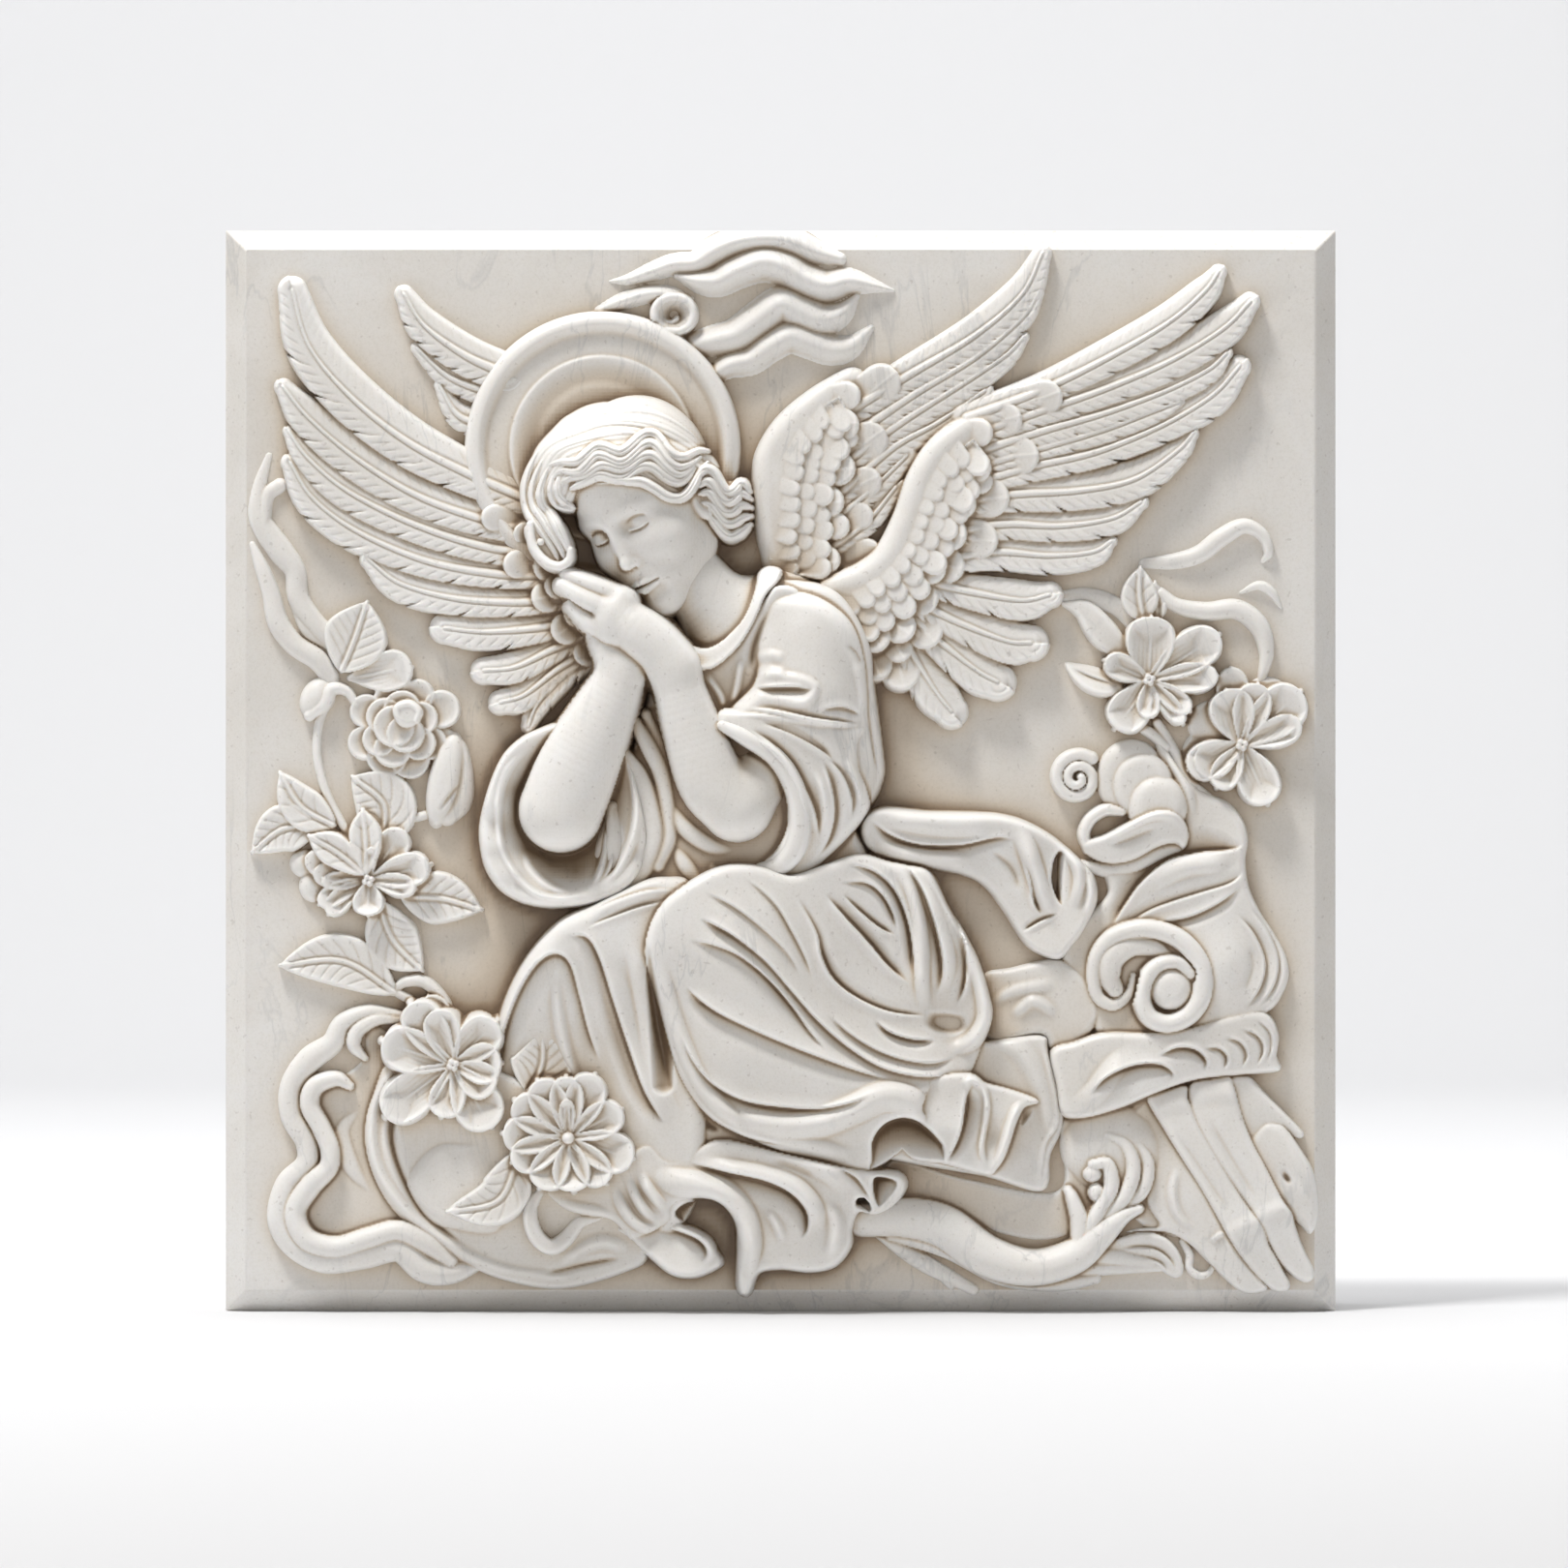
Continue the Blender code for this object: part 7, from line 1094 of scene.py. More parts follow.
def right_garden(c):
    leaf(c, 196, 372, 194, 402, 10, 6, bend=0.05, veins=4)
    leaf(c, 203, 372, 202, 394, 6, 5, base=0, veins=3)
    stroke(c, [(153, 382, 1.5, 3), (164, 378, 6, 6), (174, 366, 8, 7), (186, 355, 5, 5)], base=0.5, edge=3)
    plate(c,
        [(185, 336), (176, 332), (165, 335), (157, 342), (153, 350.5), (161, 350), (171, 348), (180, 344)],
        [(168, 341, 6.5), (158, 347, 4), (179, 339, 6.5)],
        [("crease", [(156, 348, 2, 1), (168, 342.5, 3, 2.4), (182, 338, 2, 1)])], edge=2.5)
    # stems
    stroke(c, [(203, 318, 3, 4), (212, 303, 3, 4), (222, 285, 3, 5), (238, 270, 4, 5)])
    stroke(c, [(190, 318, 3, 4), (200, 312, 3, 4), (208, 305, 3, 4)], base=1)
    dome(c, 232, 318, 13, 12, 5, turn=20)
    dome(c, 228, 300, 12, 14, 4)
    dome(c, 262, 333, 12, 10, 5)
    petal(c, 246, 310, 95, 38, 9, 6, 1, cup=0.4)
    flower(c, 198.5, 341, [
        (308, 30, 5), (322, 28, 6), (156, 26, 7), (238, 32, 11, -6), (268, 21, 6), (3, 37, 8), (88, 34, 13),
        (33, 45, 11),
    ], base=5)
    flower(c, 248.5, 306, [
        (205, 32, 10), (75, 34, 10), (240, 27, 8), (208, 28, 10), (294, 35, 11), (106, 31, 12), (20, 34, 8),
        (42, 43, 13),
    ])


# The seated figure

def back_cloth(c):
    """What lies behind the arms: the neck, the bodice and the gathered cloth at the waist."""
    plate(c,
        [(-46, 350), (-28, 362), (-14, 380), (-7, 394), (2, 395), (30, 388), (47, 362), (50, 335),
         (54, 305), (55, 290), (50, 277), (40, 262), (45, 240), (0, 225), (-60, 228), (-95, 225),
         (-100, 250), (-84, 290), (-74, 320), (-66, 345)],
        [(-20, 374, 26), (-10, 350, 34), (30, 350, 34), (-70, 300, 22), (-75, 260, 24), (-60, 240, 26),
         (-60, 330, 20), (20, 300, 32), (45, 300, 22), (30, 250, 24), (0, 240, 30), (48, 350, 22)], edge=6)
    put_form(c, neck_form, (-85, 325), (40, 430))
    # neckband and the bodice under it
    plate(c,
        [(-54, 360), (-42, 357.5), (-35, 359), (-27, 365), (-20, 373), (-16, 381), (-13, 390), (-11, 398),
         (-6, 401), (0, 399), (-2, 393), (-8, 386), (-12, 377), (-17, 367), (-24, 357), (-33, 349),
         (-41, 346), (-55, 348)],
        [(-50, 353, 35), (-42, 352, 37), (-30, 357, 39), (-20, 367, 39.5), (-13, 380, 39), (-8, 391, 36),
         (-5, 399, 31)], edge=1.4)
    plate(c,
        [(-48, 349), (-36, 350), (-22, 360), (-8, 384), (-1, 391), (10, 386), (2, 360), (-4, 340),
         (-20, 330), (-36, 322)],
        [(-40, 340, 34), (-20, 350, 36), (-4, 375, 36), (-24, 335, 34), (0, 360, 34)],
        [("ridge", [(-21, 352, 3, 2), (-23, 338, 3, 2), (-26, 326, 3, 2)]),
         ("valley", [(-6, 378, 3, 2), (-14, 360, 4, 3), (-16, 345, 4, 2)]),
         ("ridge", [(-40, 344, 3, 1.5), (-32, 332, 3, 2), (-30, 322, 3, 1)])], edge=2.5)
    # gathered cloth between the forearms
    for rows in (
        [(-84, 300, 4, 26), (-76, 288, 6, 29), (-70, 272, 6, 31), (-68, 255, 7, 31), (-76, 238, 7, 30),
         (-92, 226, 5, 27)],
        [(-78, 318, 3, 24), (-70, 304, 5, 28), (-64, 290, 5, 29), (-61, 272, 5, 30), (-60, 256, 5, 30),
         (-66, 242, 5, 29)],
        [(-90, 272, 4, 24), (-88, 255, 6, 29), (-90, 240, 6, 29), (-100, 229, 5, 26)],
        [(-72, 322, 3, 22), (-66, 308, 4, 25), (-62, 296, 4, 26)],
        [(-60, 274, 4, 27), (-52, 262, 5, 31), (-38, 252, 5, 32), (-24, 249, 4, 30)],
        [(-58, 256, 3, 24), (-52, 243, 5, 30), (-44, 233, 5, 30)],
        [(-36, 250, 3, 26), (-36, 240, 5, 30), (-32, 232, 5, 30)],
        [(-24, 250, 3, 28), (-26, 240, 4, 31)],
    ):
        stroke(c, rows)


def upper_sleeve(c):
    """The shoulder and the wide sleeve that turns back round the near elbow."""
    plate(c,
        [(-8, 384), (8, 388), (24, 383), (38, 371), (45, 352), (48, 330), (52, 305), (55, 290), (51, 277),
         (40, 264), (20, 262), (10, 290), (-10, 312), (-28, 322), (-14, 340), (-14, 362)],
        [(-6, 372, 38), (10, 370, 45), (28, 360, 44), (8, 345, 47), (30, 335, 45), (44, 340, 32),
         (-10, 345, 42), (-20, 326, 46), (0, 325, 48), (28, 320, 45), (48, 315, 27), (52, 290, 20),
         (20, 290, 40), (40, 290, 34), (30, 268, 28)],
        [("ridge", [(-14, 352, 4, 1), (-6, 354, 4.5, 1.4), (3, 352, 4, 1)]),
         ("ridge", [(-15, 344, 4, 1.2), (-6, 345, 4.5, 1.8), (4, 344, 4, 1)]),
         ("crease", [(-15, 336, 3, 3), (-2, 336.5, 7, 6), (8, 336.5, 7, 6), (18, 335, 3, 2)]),
         ("ridge", [(-26, 330, 4, 1.5), (-12, 341, 4, 1.6), (6, 342, 4, 1.6), (18, 337, 4, 1.8),
             (14, 329, 4, 2), (0, 327, 4, 1.6)]),
         ("pleat", [(44, 317, 4, 4), (20, 320, 6, 5), (-4, 325, 6, 4), (-18, 326, 4, 2)]),
         ("crease", [(20, 324.5, 3, 2), (33, 326, 6, 4), (44, 322, 4, 3)]),
         ("valley", [(44, 348, 3, 2), (40, 356, 4, 3), (34, 360, 3, 1)]),
         ("ridge", [(40, 352, 4, 2), (44, 335, 4, 3), (44, 322, 4, 2)]),
         ("valley", [(48, 345, 3, 4), (48, 325, 3, 5), (50, 308, 3, 5), (52, 290, 2.5, 3)])], edge=9)
    # folds fan out from where the cuff is gathered, the inner ones over the outer ones
    plate(c,
        [(-34, 320), (-30, 325), (-12, 323.5), (10, 320.5), (30, 318), (45, 315), (42, 306), (42, 294),
         (46, 282), (47, 272), (40, 261), (30, 250), (18, 239), (8, 235), (-2, 236), (-12, 240), (-2, 250),
         (4, 264), (2, 282), (-6, 297), (-20, 309), (-32, 315)],
        [(-31, 319, 47), (-12, 321, 49), (8, 317, 49), (26, 314, 46), (42, 311, 35), (-16, 312, 50),
         (-2, 304, 50), (14, 301, 48), (30, 300, 44), (38, 292, 39), (43, 278, 34), (4, 288, 48),
         (17, 284, 46), (28, 276, 42), (8, 268, 45), (20, 262, 40), (34, 262, 35), (6, 250, 40),
         (18, 247, 35), (-4, 240, 35)],
        [("crease", [(30, 296, 4, 3), (20, 304, 6, 5), (5, 312, 6, 4.5), (-12, 318, 4, 2)]),
         ("crease", [(21, 254, 4, 3), (18.5, 270, 7, 5.5), (12, 285, 8, 6), (5, 297, 7, 6), (-5, 307, 5, 4),
             (-18, 315, 3, 2)]),
         ("crease", [(19, 244, 3, 2), (26, 256, 5, 5), (29, 270, 6, 6), (27, 285, 6, 5), (22, 299, 4, 3)]),
         ("crease", [(38, 266, 4, 3), (38, 278, 5, 5), (33, 290, 5, 4), (24, 300, 3, 2)]),
         ("ridge", [(-20, 312, 2, 1.5), (-2, 301, 3, 2.5), (8, 286, 4, 3), (13, 270, 4, 3), (13, 254, 4, 2),
             (6, 243, 3, 1)]),
         ("ridge", [(18, 294, 3, 1), (23, 280, 4, 2.5), (24, 266, 4, 2.5), (21, 252, 3, 1)]),
         ("ridge", [(34, 300, 3, 1), (40, 288, 3, 2), (43, 276, 3, 2)]),
         ("ridge", [(-26, 322, 2, 1), (-6, 321.5, 3, 2.5), (14, 318.5, 3, 3), (32, 316, 3, 2)])], edge=5)


def cuff_lip(c):
    stroke(c, [
        (-31, 316, 3, 50), (-19, 310, 4.4, 52), (-3, 299.5, 5.2, 51), (7, 284, 5.6, 50),
        (10.5, 267, 5.8, 48), (8, 251, 6, 45), (0, 241.5, 5.2, 41), (-11, 239.5, 3, 37),
    ], edge=5.5)


def arms(c):
    """Both forearms, the wide sleeve of the far one, and the hands laid together."""
    # the far sleeve: an open ring of cloth under the elbow, falling in from its crest
    plate(c,
        [(-131, 313), (-140, 308), (-148, 300), (-154, 288), (-159, 272), (-161, 260), (-160, 248),
         (-157, 238), (-150, 228.5), (-140, 222.5), (-128, 219.5), (-118, 219), (-106, 220), (-96, 222.5),
         (-86, 227), (-79, 233), (-74, 242), (-72, 256), (-75, 275), (-82, 300), (-95, 315), (-115, 318)],
        [(-136, 305, 31), (-146, 292, 34), (-151, 272, 35), (-150, 252, 35), (-143, 238, 36),
         (-130, 226, 37), (-117, 223.5, 37), (-103, 226, 37), (-92, 231, 36), (-84, 240, 35),
         (-79, 255, 34), (-78, 272, 32), (-81, 290, 28), (-157, 266, 32), (-155, 246, 32), (-146, 230, 33),
         (-118, 220, 34), (-96, 224, 34), (-74, 250, 31), (-142, 282, 21), (-142, 264, 19), (-136, 250, 15),
         (-124, 240, 17), (-110, 238, 18), (-100, 246, 18), (-92, 262, 20), (-120, 262, 8), (-105, 265, 8),
         (-128, 290, 14), (-90, 282, 20)],
        [("ridge", [(-134, 306, 2, 1), (-146, 292, 3, 2.5), (-151, 274, 3, 3), (-150, 253, 3, 3),
             (-143, 238, 3, 3), (-131, 226.5, 3, 3), (-117, 223.5, 3, 3), (-102, 226.5, 3, 2)]),
         ("ridge", [(-139, 250, 2, 1), (-134, 239, 3, 2), (-124, 230, 3, 2.5), (-112, 226, 2, 1)]),
         ("ridge", [(-102, 229, 2, 1), (-97, 238, 3, 4), (-94.5, 248, 3, 5), (-94, 258, 2.6, 4),
             (-94, 266, 2, 1)]),
         ("crease", [(-96, 233, 2, 3), (-90.5, 240, 4, 7), (-89, 250, 5, 8), (-90, 260, 5, 7),
             (-92.5, 271, 3, 4)]),
         ("ridge", [(-98, 229, 3, 1), (-87, 240, 4, 3), (-79.5, 255, 4, 4), (-77, 271, 4, 4),
             (-79, 287, 3, 3), (-82, 300, 2, 1)])], edge=4.5)
    put_form(c, far_arm_form, (-148, 242), (-62, 395))


def hands(c):
    """The near forearm and its hand, laid against the far one."""
    put_form(c, near_hand_form, (-125, 248), (12, 406))


def lap(c):
    """The robe over the knees and down to its hem."""
    # the corner of cloth behind the legs
    plate(c,
        [(45, 245), (60, 242), (72, 228), (86, 205), (100, 190), (110, 175), (113, 160), (108, 146),
         (140, 149), (144, 140), (152, 105), (145, 85), (141, 66), (110, 74), (66, 82), (30, 90), (0, 130),
         (0, 200), (20, 235)],
        [(60, 230, 18), (90, 190, 14), (105, 165, 12), (125, 145, 11), (145, 110, 9), (120, 80, 10),
         (70, 90, 14), (30, 180, 20), (60, 150, 18), (30, 120, 20)],
        [("ridge", [(112, 148, 4, 1), (130, 140, 8, 3), (142, 118, 8, 2.5), (146, 95, 4, 1)]),
         ("pleat", [(140, 66, 3, 1), (143, 90, 4, 2), (150, 106, 4, 2), (142, 148, 3, 1.5)])], edge=2.5)
    # far leg
    plate(c,
        [(-48, 231), (-62, 235), (-76, 232), (-100, 220), (-118, 211), (-134, 194), (-146, 172),
         (-153, 150), (-156, 120), (-152, 90), (-136, 68), (-100, 56), (-75, 42), (-55, 45), (-40, 90),
         (-45, 150), (-50, 200)],
        [(-60, 226, 39), (-95, 212, 43), (-122, 200, 41), (-142, 165, 26), (-148, 120, 12), (-122, 165, 27),
         (-112, 130, 18), (-90, 190, 42), (-70, 160, 32), (-85, 115, 25), (-60, 100, 29), (-100, 75, 14),
         (-60, 60, 22), (-118, 182, 34)],
        [("crease", [(-152, 130, 6, 3), (-149, 150, 10, 7), (-141, 172, 13, 9), (-131, 188, 13, 10),
             (-121, 194, 11, 9), (-113, 189, 10, 7), (-108, 172, 9, 5), (-103, 152, 9, 4),
             (-97, 135, 8, 2)]),
         ("ridge", [(-121, 184, 3, 2), (-119, 160, 5, 4), (-115, 140, 5, 4), (-108, 120, 4, 2)]),
         ("crease", [(-116, 204, 4, 2), (-104, 203, 8, 6), (-97, 192, 10, 8), (-90, 170, 11, 8),
             (-82, 145, 11, 8), (-73, 120, 10, 7), (-62, 102, 8, 4)]),
         ("roll", [(-96, 196, 5, 2), (-88, 176, 7, 4), (-80, 150, 7, 4), (-71, 125, 7, 4),
             (-60, 106, 6, 3)]),
         ("roll", [(-84, 210, 4, 1), (-77, 190, 5, 3), (-74, 165, 5, 4), (-70, 140, 6, 5), (-64, 118, 6, 5),
             (-54, 100, 5, 4)]),
         ("pleat", [(-56, 229, 4, 2), (-72, 228, 6, 4), (-88, 223, 6, 4), (-104, 216, 4, 2)]),
         ("crease", [(-60, 223, 3, 2), (-76, 219, 5, 4), (-92, 213, 5, 3), (-106, 207, 3, 1)])], edge=9)
    # near leg: thigh, knee and the long cloth falling from it
    plate(c,
        [(-30, 241), (-12, 241), (5, 236), (22, 241), (42, 247), (58, 243), (68, 241), (80, 237), (90, 217),
         (99, 202), (106, 188), (111, 172), (113, 160), (109, 145), (102, 129), (97, 127), (86, 126),
         (76, 112), (78, 104), (66, 90), (45, 77), (20, 83), (0, 88), (-22, 97), (-40, 108), (-54, 128),
         (-64, 160), (-72, 190), (-70, 208), (-62, 222), (-46, 234)],
        [(-25, 232, 49), (-55, 215, 53), (-66, 195, 51), (-40, 205, 54), (-10, 215, 50), (10, 225, 43),
         (45, 235, 31), (20, 200, 41), (55, 205, 27), (70, 215, 25), (95, 200, 20), (108, 165, 16),
         (100, 135, 18), (88, 155, 16), (-62, 165, 40), (-30, 175, 50), (0, 170, 45), (40, 165, 34),
         (70, 170, 24), (80, 140, 26), (60, 140, 32), (20, 140, 42), (-25, 140, 46), (-48, 130, 38),
         (-20, 110, 38), (15, 100, 36), (50, 112, 35), (40, 88, 30)],
        [("roll", [(-66, 200, 3, 2), (-61, 174, 4.5, 4), (-53, 148, 5, 5), (-44, 128, 5, 5),
             (-33, 113, 5, 5), (-20, 103, 4.5, 4), (-4, 97, 4, 3)]),
         ("roll", [(-34, 116, 5, 2), (-18, 106, 7, 5), (0, 101, 8, 7), (20, 103, 8, 7), (38, 110, 8, 7),
             (54, 117, 8, 8), (66, 116, 8, 8), (77, 108, 7, 7), (87, 98, 5, 5)]),
         ("roll", [(-34, 104, 3, 2), (-14, 97, 4.5, 4), (8, 93, 5, 4), (28, 88, 5, 4), (48, 82, 4, 3)]),
         ("crease", [(-44, 214, 4, 4), (-36, 210, 7, 7), (-24, 203, 9, 7), (-8, 190, 10, 6),
             (6, 174, 10, 6), (20, 158, 10, 6), (36, 144, 10, 6), (54, 133, 9, 6), (74, 128, 8, 5),
             (96, 128, 5, 3)]),
         ("crease", [(-50, 202, 5, 2), (-36, 199, 9, 4), (-22, 193, 11, 6), (-7, 181, 12, 7),
             (6, 166, 12, 6), (16, 152, 10, 4), (27, 140, 7, 1)]),
         ("crease", [(-51, 178, 4, 4), (-45, 171, 8, 7), (-34, 163, 11, 7), (-18, 155, 12, 6),
             (0, 147, 12, 6), (20, 139, 11, 6), (42, 131, 9, 5), (60, 126, 6, 2)]),
         ("crease", [(-54, 152, 5, 1), (-47, 137, 8, 4), (-36, 124, 9, 6), (-20, 115.5, 9, 7),
             (0, 112, 9, 7), (20, 111, 8, 6), (36, 114, 7, 4), (50, 119, 5, 1)]),
         ("crease", [(-50, 110, 3, 5), (-43, 104, 6, 8), (-31, 99, 6, 8), (-16, 95, 5, 5), (5, 91, 4, 3)]),
         ("crease", [(80, 160, 3, 2), (58, 163, 6, 5), (40, 171, 7, 6), (28, 181, 7, 8), (22, 193, 6, 8),
             (19, 206, 5, 4), (8, 226, 3, 1)]),
         ("crease", [(70, 177, 4, 4), (58, 187, 7, 7), (47, 200, 8, 8), (35, 213, 8, 7), (23, 227, 4, 3)]),
         ("crease", [(34, 243, 3, 2), (50, 238, 5, 6), (61, 228, 6, 8), (68, 212, 6, 9), (71, 195, 6, 9),
             (71.5, 180, 4, 5)]),
         ("crease", [(63, 203, 3, 3), (53, 208, 5, 6), (42, 217, 5, 6), (32, 227, 3, 2)]),
         ("crease", [(31, 232, 3, 2), (45, 232, 5, 5), (54, 226, 5, 7), (60, 216, 5, 7), (63, 205, 3, 4)]),
         ("crease", [(66, 244, 3, 2), (76, 228, 6, 6), (82, 212, 7, 8), (86, 196, 7, 9), (87, 183, 6, 7),
             (84, 171, 4, 3)]),
         ("crease", [(78, 243, 3, 3), (90, 224, 5, 6), (97, 206, 6, 7), (100, 190, 7, 8), (99, 176, 6, 7),
             (94, 165, 4, 3)]),
         ("roll", [(70, 242, 2.5, 3), (79, 225, 3.6, 5), (86, 207, 4, 6), (90, 191, 4, 7),
             (89, 179, 3.6, 6), (84, 167, 3, 3)]),
         ("roll", [(82, 238, 3, 3), (91, 222, 4.5, 6), (100, 205, 5, 7), (106, 188, 5.5, 8),
             (110, 172, 5.5, 9), (110, 158, 5, 9), (103, 147, 5, 8), (92, 143, 4, 5), (82, 144, 3, 2)]),
         ("roll", [(58, 244, 3, 3), (68, 232, 3.4, 5), (74, 214, 3.8, 6), (76, 195, 4, 7),
             (76, 177, 4.2, 8), (79, 158, 3.6, 5)]),
         ("crease", [(50, 159, 3, 4), (58, 152, 5, 7), (70, 148, 6, 7), (84, 147, 5, 4)]),
         ("crease", [(24, 163, 5, 1), (36, 152, 8, 4), (50, 143, 8, 5), (66, 137, 7, 5), (82, 135, 6, 4),
             (96, 139, 4, 1)]),
         ("pocket", [(76, 160, 4, 1), (84, 157, 6, 5), (93, 156, 6, 5), (102, 157, 4, 1)]),
         ("crease", [(-20, 236, 4, 1), (-4, 222, 7, 3), (6, 206, 7, 4), (14, 190, 6, 3), (18, 178, 5, 1)]),
         ("crease", [(-42, 228, 5, 1), (-26, 220, 8, 3), (-10, 208, 9, 3), (4, 194, 8, 2),
             (12, 180, 6, 1)])], edge=5)
    # the long spoon-shaped hollow between the knees
    groove(c, [
        (-71, 200, 1.5, 2), (-69, 178, 3.2, 7), (-66, 156, 4.6, 9), (-63.5, 138, 6.2, 9),
        (-63, 124, 6.0, 8),
    ])


def hem(c):
    """The gathered lower edge of the robe."""
    # fluted end at the right
    plate(c,
        [(84, 128), (99, 129.5), (105, 128), (108.5, 125), (112, 123.5), (122, 121), (131, 118),
         (137, 115.5), (138.5, 113.5), (135, 112.5), (131, 111), (128, 106), (125.5, 100), (123, 92),
         (120, 84), (116, 78), (112, 75), (100, 77.5), (87, 81), (70, 84), (62, 100), (70, 120)],
        [(75, 118, 26), (85, 120, 26), (96, 122, 26), (92, 100, 27), (104, 110, 19), (102, 92, 20),
         (100, 80, 19), (111, 112, 21), (114, 96, 16), (121, 94, 21), (117, 80, 20), (126, 108, 20),
         (118, 118, 18), (135, 114, 17), (80, 88, 20)],
        [("crease", [(87.5, 80.5, 3, 4), (91, 85, 5, 7), (95, 93, 8, 9), (97.5, 101, 10, 10),
             (99, 111, 10, 10), (100.5, 119, 8, 7), (104, 125, 3, 2)]),
         ("ridge", [(97, 121, 3, 2), (102, 126, 4, 4), (108, 122, 3.5, 3), (111, 114, 3, 2)]),
         ("ridge", [(108, 124, 2, 2), (110.6, 115, 2.6, 5), (110.4, 106, 2.6, 5), (109, 97, 2.4, 5),
             (108, 90, 2.4, 5), (109, 83, 2.2, 4), (112.5, 78, 2, 2)]),
         ("ridge", [(113, 77, 2, 2), (117.5, 83, 3.5, 4), (120.5, 92, 4, 5), (123.5, 102, 4, 5),
             (127.5, 111, 3.5, 4), (134, 114.5, 2.5, 2)])], edge=3)
    groove(c, [(136, 112, 1, 1), (133, 108, 2.4, 3), (130, 102, 1.2, 1)])
    hollow(c,
        [(46, 70), (47.5, 84), (48.5, 94), (55, 102.5), (65, 106), (75, 103.5), (85, 95), (89, 88),
         (89, 70), (66, 66)],
        [(60, 102, 5), (80, 96, 7), (50, 84, 20), (66, 84, 19), (86, 84, 18), (66, 70, 22)])
    # the long lower layer
    plate(c,
        [(-72, 92), (-60, 84), (-44, 90), (-30, 94), (0, 87), (30, 80), (48, 77), (63, 75), (67, 68),
         (61, 58), (51, 53.5), (42, 55), (38, 46), (37, 36), (29, 26), (16, 23), (0, 24.5), (-12, 22),
         (-17, 11.5), (-20, 10.5), (-22.5, 15), (-22.5, 36), (-24, 50), (-32, 60), (-44, 63), (-58, 58),
         (-60, 50), (-78, 40), (-84, 44), (-92, 51), (-106, 53), (-118, 57), (-128, 66), (-110, 74),
         (-90, 80)],
        [(-100, 65, 19), (-80, 50, 20), (-70, 80, 25), (-45, 84, 28), (-10, 82, 32), (30, 72, 32),
         (55, 70, 24), (60, 60, 17), (40, 62, 26), (20, 50, 29), (-10, 62, 28), (-10, 40, 26), (10, 35, 27),
         (30, 35, 25), (-18, 18, 20), (-40, 70, 28), (-28, 55, 24)],
        [("roll", [(-72, 84, 4, 3), (-60, 73, 7, 7), (-44, 69.5, 8, 9), (-31, 65, 8, 10),
             (-21, 54, 7.5, 10), (-16, 40, 6, 10), (-17, 26, 4.5, 9), (-19, 13, 3, 5)]),
         ("roll", [(-48, 84, 3, 3), (-30, 80, 4.5, 5), (-8, 75.5, 5, 6), (8, 69.5, 5, 7),
             (18.5, 58, 4.6, 7), (20, 46, 4, 6), (15, 39, 2.5, 3)]),
         ("crease", [(-50, 82, 5, 3), (-30, 77, 11, 8), (-8, 72, 13, 10), (6, 65, 12, 10), (14, 55, 10, 9),
             (14, 45, 7, 6), (9, 40, 3, 2)]),
         ("roll", [(-10, 90, 4, 3), (8, 85, 6, 4), (24, 78.5, 6.5, 5), (35, 69.5, 6, 5), (40, 60, 4, 4)]),
         ("crease", [(30, 80, 3, 3), (40, 74, 5, 6), (46, 66, 4, 5), (49, 60, 2, 2)]),
         ("ridge", [(24, 62, 4, 1), (30, 50, 6, 4), (29, 38, 6, 4), (22, 29, 4, 1)]),
         ("roll", [(-90, 74, 2.5, 3), (-86, 60, 3.4, 6), (-78, 49, 3.2, 6), (-68, 45.5, 3, 5),
             (-60, 49, 2, 3)]),
         ("roll", [(-83, 78, 2.5, 3), (-78, 64, 3.0, 6), (-71, 54, 3, 6), (-62, 51, 2, 4)]),
         ("roll", [(-77, 80, 2.5, 3), (-71, 68, 3.4, 6), (-63, 58, 3, 5), (-58, 54, 2, 3)]),
         ("roll", [(-126, 64, 3, 2), (-112, 57, 4, 4), (-98, 54, 4, 4), (-86, 47, 3.5, 4)]),
         ("ridge", [(-8, 58, 3, 1), (-2, 48, 4, 3), (2, 38, 4, 1)]),
         ("pocket", [(-6, 84, 3, 0.5), (8, 80, 3, 2), (20, 74, 2, 1)])], edge=3.5)
    hollow(c,
        [(39, 57), (40.5, 61.5), (44.5, 62.5), (48.5, 58), (49.5, 54), (45, 53)],
        [(40, 60, 9), (45, 57, 13), (48, 55, 17)])
    hollow(c,
        [(50, 74), (61, 73.5), (64, 69), (58.5, 60), (52, 56.5), (49, 64)],
        [(52, 72, 8), (61, 72, 14), (60, 64, 19), (52, 58, 18)])
    # the curl: a deep hollow with a tongue of cloth turned up in front
    hollow(c,
        [(-58, 54), (-52, 60), (-42, 61.5), (-33, 58), (-27, 50), (-24, 40), (-26, 31), (-34, 24),
         (-38, 30), (-36, 37), (-42, 43), (-52, 47)],
        [(-45, 58, 5), (-28, 46, 5), (-30, 30, 15), (-55, 52, 10)])
    plate(c,
        [(-88, 46), (-74, 49), (-60, 50.5), (-52, 47), (-44, 43.5), (-37.5, 39), (-34.5, 33), (-32, 27),
         (-40, 22), (-48, 20), (-58, 21.5), (-68, 29), (-80, 40)],
        [(-60, 40, 19), (-42, 34, 18), (-50, 24, 22), (-80, 42, 17), (-36, 26, 19)],
        [("roll", [(-64, 49.5, 2, 3), (-52, 46, 2.8, 7), (-42, 41.5, 3, 8), (-37.2, 34.5, 2.8, 7),
             (-40, 27.5, 2.2, 4), (-46, 24, 1.5, 2)]),
         ("crease", [(-66, 47, 5, 3), (-52, 43.5, 8, 6), (-43, 39, 8, 7), (-39.5, 33, 5, 5),
             (-42, 28, 3, 2)])], edge=3)
